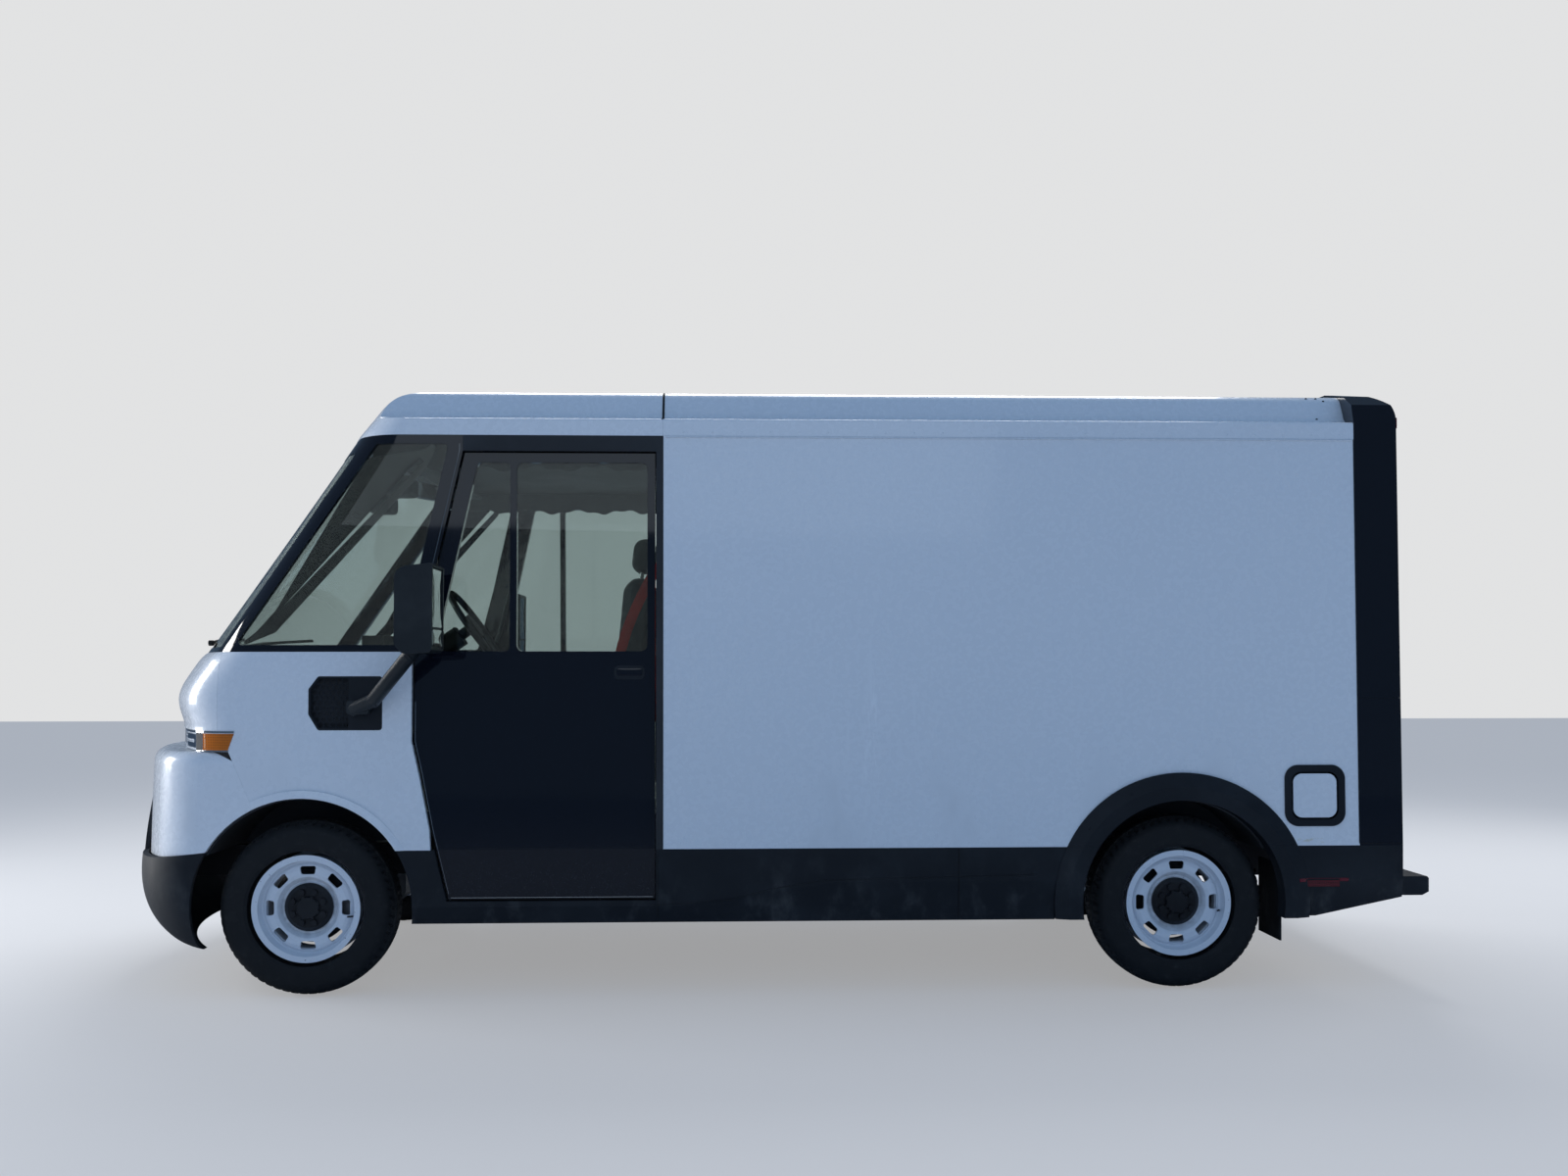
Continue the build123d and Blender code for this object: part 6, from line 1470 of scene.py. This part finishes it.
# ------------------------------------------------------------------ cab
@dataclass(frozen=True)
class Seat:
    """Padded driver's seat: cushion, back, head rest and belt."""

    centre_y: float = DRIVER_Y
    voxel: float = 0.007

    def pad(self, name: str, lo: Point, hi: Point, corner: float, lean: float, swell: float) -> bpy.types.Object:
        """Upholstered block filled out by its own pressure.

        A rounded block is remeshed evenly and blown up a little as cloth, without weight, so that its
        faces swell and its edges stay drawn in.

        Args:
            name: the piece's name.
            lo: lowest corner.
            hi: highest corner.
            corner: radius of its corners.
            lean: slope of X over Z, for a back rest.
            swell: pressure.

        Returns:
            The finished pad.
        """
        grids = block(lo, hi, corner, corner, "y")
        foot = lo[2]
        leaned = [Grid(g.points + np.stack([(g.points[..., 2] - foot) * lean, 0 * g.points[..., 0],
                                            0 * g.points[..., 0]], axis=-1), g.round_u, g.round_v) for g in grids]
        pad = grids_piece(name, leaned)
        remesh = pad.modifiers.new("even", "REMESH")
        remesh.mode = "VOXEL"
        remesh.voxel_size = self.voxel
        bake_modifiers(pad)
        cloth = pad.modifiers.new("swell", "CLOTH")
        cloth.settings.use_pressure = True
        cloth.settings.uniform_pressure_force = swell
        cloth.settings.effector_weights.gravity = 0.0
        cloth.settings.quality = 6
        cloth.settings.tension_stiffness = 40.0
        cloth.settings.compression_stiffness = 40.0
        cloth.settings.bending_stiffness = 4.0
        cloth.point_cache.frame_end = 20
        before = corner_points(pad)
        for step in range(1, 21):
            bpy.context.scene.frame_set(step)
        bake_modifiers(pad)
        bpy.context.scene.frame_set(1)
        limit_movement(pad, before, 0.014)
        pad.data.polygons.foreach_set("use_smooth", [True] * len(pad.data.polygons))
        return pad

    def headrest(self) -> list[Grid]:
        """Head rest block and its two posts."""
        y = self.centre_y
        grids = block((-0.625, y - 0.130, 1.905), (-0.520, y + 0.130, 2.062), 0.040, 0.045, "y")
        return [Grid(g.points + np.stack([(g.points[..., 2] - 1.9) * 0.12, 0 * g.points[..., 0],
                                          0 * g.points[..., 0]], axis=-1), g.round_u, g.round_v) for g in grids]

    def build(self, shop: Workshop) -> None:
        """Build the seat's soft parts, then its hard ones."""
        y = self.centre_y
        low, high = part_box("seat_cushion")
        cushion = self.pad("padded_cushion", tuple(low), tuple(high), 0.045, 0.0, 4.0)
        shop.dress(cushion, Finish.SEAT_FABRIC)
        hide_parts("seat_cushion")
        low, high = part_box("seat_back")
        back = self.pad("padded_back", (low[0], low[1], low[2]), (low[0] + 0.125, high[1], high[2] - 0.12), 0.050,
                        (high[0] - low[0] - 0.130) / (high[2] - low[2]), 4.0)
        shop.dress(back, Finish.SEAT_FABRIC)
        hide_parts("seat_back")
        shop.add("head_rest", self.headrest(), Finish.SEAT_FABRIC)
        posts: list[Grid] = []
        for offset in (-0.055, 0.055):
            path = np.linspace((-0.585, y + offset, 1.84), (-0.570, y + offset, 1.95), 5)
            posts += swept(path, circle_outline(0.007, 12), (1.0, 0.0, 0.0))
        shop.add("head_rest_posts", posts, Finish.MACHINED_STEEL)
        self.build_belt(shop)

    def build_belt(self, shop: Workshop) -> None:
        """Lap and shoulder belt, buckle and guide."""
        t = np.linspace(0.0, 1.0, 40)[:, None]
        top = np.array([-0.470, -0.700, 1.955])
        hip = np.array([-0.700, -0.690, 1.255])
        bow = np.array([-0.055, 0.035, 0.0]) * np.sin(math.pi * t)
        webbing = top + (hip - top) * t + bow
        flat = rounded_outline(0.0022, 0.048, 0.001, 2)
        belt = swept(webbing, flat, (1.0, 0.0, 0.3))
        upright = np.linspace(top, (-0.470, -0.790, 1.20), 20)
        belt += swept(upright, flat, (1.0, 0.0, 0.0))
        shop.add("seat_belt", belt, Finish.BELT)
        guide = [*block((-0.500, -0.730, 1.930), (-0.455, -0.680, 1.985), 0.010, 0.012, "y"),
                 *block((-0.745, -0.712, 1.200), (-0.690, -0.676, 1.262), 0.008, 0.010, "y")]
        shop.add("belt_guides", guide, Finish.CAB_TRIM)


def bake_modifiers(piece: bpy.types.Object) -> None:
    """Replace a piece's mesh by the one its modifiers make."""
    shown = piece.evaluated_get(bpy.context.evaluated_depsgraph_get())
    mesh = bpy.data.meshes.new_from_object(shown)
    piece.modifiers.clear()
    piece.data = mesh


def corner_points(piece: bpy.types.Object) -> np.ndarray:
    """A mesh's points as an array."""
    flat = np.empty(len(piece.data.vertices) * 3)
    piece.data.vertices.foreach_get("co", flat)
    return flat.reshape(-1, 3)


def limit_movement(piece: bpy.types.Object, before: np.ndarray, most: float) -> None:
    """Hold every point within a distance of where it was."""
    after = corner_points(piece)
    step = after - before
    reach = np.linalg.norm(step, axis=1, keepdims=True)
    held = before + step * np.minimum(1.0, most / np.maximum(reach, 1e-9))
    piece.data.vertices.foreach_set("co", held.ravel())
    piece.data.update()


@dataclass(frozen=True)
class DashDetails:
    """Display, vents, stalks and lidded bin along the dash."""

    def build(self, shop: Workshop) -> None:
        """Add the dash fittings."""
        display = block((-1.792, -0.30, 1.602), (-1.762, -0.02, 1.745), 0.008, 0.016, "x")
        shop.add("centre_display", display, Finish.CAB_TRIM)
        glass = block((-1.7625, -0.29, 1.612), (-1.7600, -0.03, 1.735), 0.001, 0.012, "x")
        shop.add("display_glass", glass, Finish.SCREEN)
        cluster = block((-1.735, -0.540, 1.602), (-1.700, -0.320, 1.690), 0.010, 0.020, "x")
        shop.add("driver_display", cluster, Finish.SCREEN)
        stalks: list[Grid] = []
        for side in (-1.0, 1.0):
            t = np.linspace(0.0, 1.0, 12)[:, None]
            start = np.array([-1.520, DRIVER_Y + side * 0.045, 1.575])
            end = np.array([-1.505, DRIVER_Y + side * 0.185, 1.640])
            stalks += swept(start + (end - start) * t, circle_outline(0.008, 12), (1.0, 0.0, 0.0))
        shop.add("column_stalks", stalks, Finish.CAB_TRIM)
        vents: list[Grid] = []
        for y in (-0.80, 0.28, 0.80):
            for row in range(4):
                z = 1.470 + 0.017 * row
                vents += block((-1.566, y - 0.075, z), (-1.548, y + 0.075, z + 0.006), 0.002, 0.002, "y")
        shop.add("air_vent_blades", vents, Finish.BLACK_PANEL)
        bin_lid = block((-1.560, 0.42, 1.20), (-1.546, 0.90, 1.40), 0.005, 0.02, "x")
        shop.add("dash_bin_lid", bin_lid, Finish.CAB_TRIM)


@dataclass(frozen=True)
class CabLining:
    """Dark roof lining with a sagging lower edge, grab handles and sun visors."""

    def build(self, shop: Workshop) -> None:
        """Add the lining's parts."""
        x = np.linspace(-1.75, -0.47, 60)
        visors: list[Grid] = []
        for y in (-0.55, 0.42):
            visors += block((-1.700, y - 0.24, 2.385), (-1.530, y + 0.24, 2.403), 0.008, 0.03, "z")
        shop.add("sun_visors", visors, Finish.CAB_TRIM)
        lining = block((-1.755, -0.892, 2.448), (-0.472, 0.892, 2.464), 0.006, 0.03, "z")
        shop.add("cab_headliner", lining, Finish.CAB_TRIM)
        rows = []
        for y in (-0.900, -0.893):
            sag = 2.345 + 0.010 * np.sin(x * 23.0) + 0.006 * np.sin(x * 61.0 + 1.0)
            rows.append(np.stack([x, np.full_like(x, y), sag], axis=-1))
        top = [np.stack([x, np.full_like(x, y), np.full_like(x, 2.47)], axis=-1) for y in (-0.893, -0.900)]
        body = np.stack([rows[0], rows[1], top[0], top[1]])
        curtain = both_sides([Grid(body, round_u=True)])
        shop.add("door_head_trim", curtain, Finish.CAB_TRIM)
        rail: list[Grid] = []
        for side in (-1, 1):
            path = patch([[(-1.495, side * 0.905, 1.60), (-1.470, side * 0.880, 1.64), (-1.415, side * 0.880, 1.86),
                           (-1.405, side * 0.905, 1.90)]], 24)[0]
            rail += swept(path, circle_outline(0.012, 14), (0.0, 1.0, 0.0))
        shop.add("pillar_grab_rails", rail, Finish.CAB_TRIM)


# ------------------------------------------------------------------ outside details
@dataclass(frozen=True)
class RoofDetails:
    """Roof joint, marker lamps and rivets along the roof."""

    def build(self, shop: Workshop) -> None:
        """Add the roof's parts."""
        skin = Skin("cargo_roof", "cab_roof")
        joint: list[Grid] = []
        y = np.linspace(-0.985, 0.985, 90)
        starts = np.stack([np.full_like(y, -0.4535), y * 1.02, np.full_like(y, 4.0)], axis=-1)
        starts[:, 1] = np.clip(starts[:, 1], -0.984, 0.984)
        joint += swept(skin.cast(starts, (0.0, 0.0, -1.0), 0.0012), rounded_outline(0.010, 0.004, 0.0015),
                       (0.0, 0.0, 1.0))
        shop.add("roof_joint", joint, Finish.SEAM)
        lamps: list[Grid] = []
        for y0 in (-0.55, -0.14, 0.14, 0.55):
            centre = skin.cast(np.array([[-1.72, y0, 4.0]]), np.array([[0.0, 0.0, -1.0]]), 0.0)[0]
            z = min(centre[2], 2.735)
            lamps += block((centre[0] - 0.045, y0 - 0.030, z - 0.012), (centre[0] + 0.035, y0 + 0.030, z + 0.006),
                           0.006, 0.012, "z")
        shop.add("roof_marker_lamps", lamps, Finish.AMBER)
        rivets: list[Grid] = []
        spots = [(x, 2.497) for x in np.linspace(-0.36, 2.60, 24)]
        for x, z in spots:
            rivets += dome(tuple(on_side(np.array(x), np.array(z), -0.0002)), (0.0, -1.0, 0.03), 0.0050, 0.0016, 8)
        shop.add("roof_rivets", both_sides(rivets), Finish.WHITE_PAINT)
        holes: list[Grid] = []
        side = Skin("cargo_roof")
        for x, z in ((2.515, 2.690), (2.560, 2.690), (2.590, 2.676), (2.540, 2.585)):
            spot = side.cast(np.array([[x, -2.0, z]]), np.array([[0.0, 1.0, 0.0]]), 0.0)[0]
            holes += dome(tuple(spot), (0.0, -1.0, 0.0), 0.006, 0.001, 10)
        shop.add("roof_holes", holes, Finish.SEAM)


@dataclass(frozen=True)
class TailDetails:
    """Seams, latch, blank plate, reflectors and step grip at the rear."""

    def build(self, shop: Workshop) -> None:
        """Add the rear's parts."""
        seams: list[Grid] = []
        for side in (-1, 1):
            for z in (1.310, 0.660):
                path = patch([[(2.668, side * (float(wall_y(z)) + 0.0002), z),
                               (2.850, side * (float(wall_y(z)) + 0.0002), z)]], 20)[0]
                seams += swept(path, rounded_outline(0.0016, 0.0040, 0.0007, 2), (0.0, 1.0, 0.0))
        shop.add("rear_corner_joints", seams, Finish.SEAM)
        latch = [*block((2.806, -0.070, 0.866), (2.822, 0.070, 0.896), 0.003, 0.010, "x"),
                 *block((2.822, -0.028, 0.846), (2.840, 0.028, 0.916), 0.004, 0.012, "x")]
        shop.add("shutter_latch", latch, Finish.MACHINED_STEEL)
        pull = swept(patch([[(2.828, 0.32, 0.93), (2.843, 0.32, 0.935), (2.843, 0.46, 0.935), (2.828, 0.46, 0.93)]],
                           24)[0], circle_outline(0.006, 12), (0.0, 0.0, 1.0))
        shop.add("shutter_pull", pull, Finish.MACHINED_STEEL)
        plate = block((2.866, -0.155, 0.640), (2.870, 0.155, 0.760), 0.0012, 0.012, "x")
        shop.add("blank_plate", plate, Finish.WHITE_PAINT)
        lens: list[Grid] = []
        for side in (-1, 1):
            lens += block((2.863, side * 0.97 - 0.018, 2.530), (2.868, side * 0.97 + 0.018, 2.580), 0.002, 0.006, "x")
        shop.add("rear_reflectors", lens, Finish.LAMP_RED)
        tread: list[Grid] = []
        for row in range(4):
            x = 2.790 + 0.045 * row
            tread += block((x, -0.86, 0.5042), (x + 0.018, 0.86, 0.5075), 0.0012, 0.004, "z")
        shop.add("step_grip_bars", tread, Finish.RUBBER)


@dataclass(frozen=True)
class SideDetails:
    """Sill joints, creases, side markers and flare screws."""

    def build(self, shop: Workshop) -> None:
        """Add details to both flanks."""
        skirt = Skin("side_skirts", "rear_skirts", "front_bumper", "rear_flares")
        line: list[Grid] = []
        x = np.concatenate([np.linspace(-0.50, -0.10, 14), np.linspace(-0.05, 1.20, 50)])
        z = np.interp(x, (-0.50, -0.16, 0.06, 0.26, 1.20), (0.405, 0.425, 0.478, 0.510, 0.528))
        starts = np.stack([x, np.full_like(x, -2.0), z], axis=-1)
        line += swept(skirt.cast(starts, (0.0, 1.0, 0.0), 0.0004), rounded_outline(0.0022, 0.0050, 0.001, 2),
                      (0.0, 1.0, 0.0))
        shop.add("skirt_creases", both_sides(line), Finish.MIRROR_ARM)
        joint: list[Grid] = []
        for x0, z_low, z_high in ((0.8588, 0.340, 0.648), (-0.474, 0.345, 0.640)):
            z = np.linspace(z_low, z_high, 24)
            starts = np.stack([np.full_like(z, x0), np.full_like(z, -2.0), z], axis=-1)
            joint += swept(skirt.cast(starts, (0.0, 1.0, 0.0), 0.0002), rounded_outline(0.0016, 0.0038, 0.0007, 2),
                           (0.0, 1.0, 0.0))
        shop.add("skirt_joints", both_sides(joint), Finish.SEAM)
        screws: list[Grid] = []
        for angle in np.radians(np.linspace(12.0, 168.0, 7)):
            x0 = REAR_AXLE_X + 0.536 * math.cos(angle)
            z0 = 0.402 + 0.536 * math.sin(angle)
            if z0 < 0.68:
                continue
            spot = skirt.cast(np.array([[x0, -2.0, z0]]), np.array([[0.0, 1.0, 0.0]]), 0.0)[0]
            screws += dome(tuple(spot), (0.0, -1.0, 0.0), 0.0065, 0.0016, 10)
        shop.add("flare_screws", both_sides(screws), Finish.DARK_PLASTIC)
        x = np.linspace(2.385, 2.615, 24)
        z = np.array([0.490, 0.505])
        gx, gz = np.meshgrid(x, z)
        starts = np.stack([gx, np.full_like(gx, -2.0), gz], axis=-1)
        marker = skirt.sheet(starts, (0.0, 1.0, 0.0), -0.001, 0.0016)
        shop.add("side_markers", both_sides(marker), Finish.RED_LENS, "van", "lamp_red")


@dataclass(frozen=True)
class MirrorDetails:
    """Main and wide-angle mirror glass in each head."""

    x: float = -1.472
    y: float = 1.260
    z: float = 1.695

    def build(self, shop: Workshop) -> None:
        """Add the glass."""
        glass: list[Grid] = []
        for low, high in (((-0.100, -0.075), (0.100, 0.168)), ((-0.100, -0.158), (0.100, -0.085))):
            glass += block((self.x + 0.0762, self.y + low[0], self.z + low[1]),
                           (self.x + 0.0800, self.y + high[0], self.z + high[1]), 0.001, 0.018, "x")
        shop.add("mirror_glass", both_sides(glass), Finish.MIRROR_GLASS)


@dataclass(frozen=True)
class LoadSpace:
    """Tie-down rails, roof bows and dome lamps inside the load space."""

    def build(self, shop: Workshop) -> None:
        """Add the load space's parts."""
        rails: list[Grid] = []
        for z in (1.20, 1.85):
            rails += block((-0.30, 0.930 - 0.02, z - 0.035), (2.60, 0.938, z + 0.035), 0.003, 0.006, "y")
        shop.add("tie_down_rails", both_sides(rails), Finish.MACHINED_STEEL, "van", "machined_steel")
        slots: list[Grid] = []
        for z in (1.20, 1.85):
            for x in np.arange(-0.22, 2.58, 0.14):
                slots += block((x, 0.906, z - 0.012), (x + 0.070, 0.9105, z + 0.012), 0.001, 0.006, "y")
        shop.add("tie_down_slots", both_sides(slots), Finish.SEAM)
        bows: list[Grid] = []
        lamps: list[Grid] = []
        roof = Skin("cargo_roof")
        y = np.linspace(-0.80, 0.80, 40)
        for x in np.arange(-0.05, 2.60, 0.52):
            starts = np.stack([np.full_like(y, x), y, np.full_like(y, 2.30)], axis=-1)
            bows += swept(roof.cast(starts, (0.0, 0.0, 1.0), 0.012), rounded_outline(0.050, 0.024, 0.006),
                          (0.0, 0.0, 1.0))
        shop.add("roof_bows", bows, Finish.CHASSIS_STEEL)
        for x in (0.45, 1.50):
            lamps += block((x - 0.16, -0.045, 2.665), (x + 0.16, 0.045, 2.700), 0.010, 0.03, "z")
        shop.add("load_lamps", lamps, Finish.LAMP_CLEAR)


@dataclass(frozen=True)
class Underbody:
    """Battery bolts, tray ribs and the drive cable, seen from below."""

    bolt_x: tuple[float, float] = (-1.36, 1.20)
    bolt_y: float = 0.47
    bolt_z: float = 0.320
    bolts: int = 9
    bolt_profile: tuple[tuple[float, float], ...] = (
        (0.002, 0.016), (-0.003, 0.016), (-0.003, 0.010), (-0.011, 0.010), (-0.012, 0.0))
    rib_x: tuple[float, float] = (-1.40, 1.24)
    rib_z: tuple[float, float] = (0.3135, 0.3215)
    rib_reach: float = 0.40
    rib_half: float = 0.018
    ribs: int = 6
    cable_points: tuple[tuple[float, float, float], ...] = (
        (1.30, 0.30, 0.46), (1.42, 0.30, 0.50), (1.55, 0.26, 0.52), (1.66, 0.20, 0.47))
    cable_radius: float = 0.013
    cable_wave: float = 0.012
    cable_steps: int = 40

    def build(self, shop: Workshop) -> None:
        """Add the underbody's parts."""
        bolts: list[Grid] = []
        for x in np.linspace(*self.bolt_x, self.bolts):
            for y in (-self.bolt_y, self.bolt_y):
                bolts += turned(np.array(self.bolt_profile), (float(x), y, self.bolt_z), "z", 6)
        shop.add("battery_bolts", bolts, Finish.MACHINED_STEEL, smooth=False)
        ribs: list[Grid] = []
        for y in np.linspace(-self.rib_reach, self.rib_reach, self.ribs):
            ribs += block((self.rib_x[0], float(y) - self.rib_half, self.rib_z[0]),
                          (self.rib_x[1], float(y) + self.rib_half, self.rib_z[1]), 0.003, 0.010, "z")
        shop.add("battery_tray_ribs", ribs, Finish.BATTERY_CASE)
        cable = patch([list(self.cable_points)], self.cable_steps)[0]
        wobble = self.cable_wave * np.sin(np.linspace(0.0, 3.0 * math.pi, self.cable_steps))
        cable = cable + np.stack([0 * wobble, wobble, 0 * wobble], axis=-1)
        shop.add("drive_cable", swept(cable, circle_outline(self.cable_radius, 14), (0.0, 0.0, 1.0)),
                 Finish.AMBER)


# ------------------------------------------------------------------ stage
@dataclass(frozen=True)
class Studio:
    """Floor, soft lights, backdrop and camera."""

    eye: Point = (-0.187, -7.198, 1.460)
    lens: float = 32.0
    yaw: float = math.radians(2.05)
    roll: float = math.radians(0.05)
    shift_x: float = 0.0073
    shift_y: float = 0.0492
    floor_size: float = 60.0

    def build_floor(self, shop: Workshop) -> bpy.types.Object:
        """Plain pale floor under the tyres."""
        half = self.floor_size / 2
        points = np.array([[-half, -half, -0.0006], [half, -half, -0.0006], [half, half, -0.0006],
                           [-half, half, -0.0006]])
        floor = mesh_piece("studio_floor", points, np.array([[0, 1, 2, 3]]), smooth=False)
        floor.data.materials.append(shop.material(Finish.STAGE))
        return floor

    def build_light(self, name: str, place: Point, aim: Point, size: tuple[float, float], power: float,
                    colour: Colour) -> bpy.types.Object:
        """Add a rectangular soft light aimed at a point.

        Args:
            name: the light's name.
            place: its centre.
            aim: the point it faces.
            size: width and height.
            power: watts.
            colour: its colour.

        Returns:
            The light object.
        """
        light = bpy.data.lights.new(name, "AREA")
        light.shape = "RECTANGLE"
        light.size, light.size_y = size
        light.energy = power
        light.color = colour
        lamp = bpy.data.objects.new(name, light)
        lamp.location = place
        lamp.rotation_euler = (Vector(aim) - Vector(place)).to_track_quat("-Z", "Y").to_euler()
        bpy.context.scene.collection.objects.link(lamp)
        return lamp

    def build_world(self) -> None:
        """Even sky light, with a paler backdrop wherever the camera or glass looks at it."""
        world = bpy.data.worlds.new("studio_world")
        bpy.context.scene.world = world
        world.use_nodes = True
        tree = world.node_tree
        tree.nodes.clear()
        seen = tree.nodes.new("ShaderNodeLightPath")
        sky = tree.nodes.new("ShaderNodeBackground")
        sky.inputs["Color"].default_value = (0.37, 0.595, 0.96, 1.0)
        sky.inputs["Strength"].default_value = 0.52
        drop = tree.nodes.new("ShaderNodeBackground")
        drop.inputs["Color"].default_value = (0.76, 0.765, 0.77, 1.0)
        drop.inputs["Strength"].default_value = 1.0
        mix = tree.nodes.new("ShaderNodeMixShader")
        out = tree.nodes.new("ShaderNodeOutputWorld")
        through = tree.nodes.new("ShaderNodeMath")
        through.operation = "MAXIMUM"
        tree.links.new(seen.outputs["Is Camera Ray"], through.inputs[0])
        tree.links.new(seen.outputs["Is Transmission Ray"], through.inputs[1])
        tree.links.new(through.outputs[0], mix.inputs[0])
        tree.links.new(sky.outputs[0], mix.inputs[1])
        tree.links.new(drop.outputs[0], mix.inputs[2])
        dark = tree.nodes.new("ShaderNodeBackground")
        dark.inputs["Color"].default_value = (0.055, 0.085, 0.13, 1.0)
        last = tree.nodes.new("ShaderNodeMixShader")
        sheen = tree.nodes.new("ShaderNodeMath")
        sheen.operation = "SUBTRACT"
        sheen.use_clamp = True
        tree.links.new(seen.outputs["Is Glossy Ray"], sheen.inputs[0])
        tree.links.new(seen.outputs["Is Transmission Ray"], sheen.inputs[1])
        tree.links.new(sheen.outputs[0], last.inputs[0])
        tree.links.new(mix.outputs[0], last.inputs[1])
        tree.links.new(dark.outputs[0], last.inputs[2])
        tree.links.new(last.outputs[0], out.inputs["Surface"])

    def build_camera(self) -> bpy.types.Object:
        """Level camera facing the left side, turned and rolled a little."""
        camera = bpy.data.cameras.new("camera")
        camera.lens = self.lens
        camera.sensor_width = 36.0
        camera.shift_x = self.shift_x
        camera.shift_y = self.shift_y
        camera.dof.use_dof = False
        holder = bpy.data.objects.new("camera", camera)
        holder.location = self.eye
        forward = Vector((math.sin(self.yaw), math.cos(self.yaw), 0.0))
        turn = forward.to_track_quat("-Z", "Y").to_matrix().to_4x4()
        tilt = Matrix.Rotation(self.roll, 4, forward)
        holder.rotation_euler = (tilt @ turn).to_euler()
        bpy.context.scene.collection.objects.link(holder)
        bpy.context.scene.camera = holder
        return holder

    def build(self, shop: Workshop) -> None:
        floor = self.build_floor(shop)
        lamps = [
            self.build_light("top_panel", (0.5, 4.2, 7.5), (0.2, 0.2, 2.6), (8.0, 4.0), 620.0, (1.0, 0.99, 0.97)),
            self.build_light("nose_panel", (-8.5, 0.2, 2.6), (-2.6, -0.2, 1.2), (3.0, 3.5), 330.0,
                             (1.0, 0.99, 0.97)),
            self.build_light("side_panel", (-1.0, -10.0, 5.0), (0.0, -1.0, 1.3), (8.0, 3.0), 40.0,
                             (0.80, 0.90, 1.0)),
            self.build_light("tail_panel", (8.5, 2.5, 4.0), (2.5, 0.0, 1.2), (4.0, 3.0), 160.0, (1.0, 0.98, 0.95)),
        ]
        self.build_world()
        camera = self.build_camera()
        bpy.context.scene.view_settings.view_transform = "Standard"


ASSEMBLIES = (
    Tyres(), WheelDetails(), Headlamps(), BodySeams(), DoorTrim(), ScreenDetails(), Seat(), DashDetails(),
    CabLining(), RoofDetails(), TailDetails(), SideDetails(), MirrorDetails(), LoadSpace(), Underbody(),
)


def main() -> None:
    """Dress the van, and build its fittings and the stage."""
    logging.basicConfig(level=logging.INFO, format="%(name)s: %(message)s")
    shop = Workshop()
    shop.paint_all()
    for assembly in ASSEMBLIES:
        assembly.build(shop)
    Studio().build(shop)


if __name__ == "__main__":
    main()
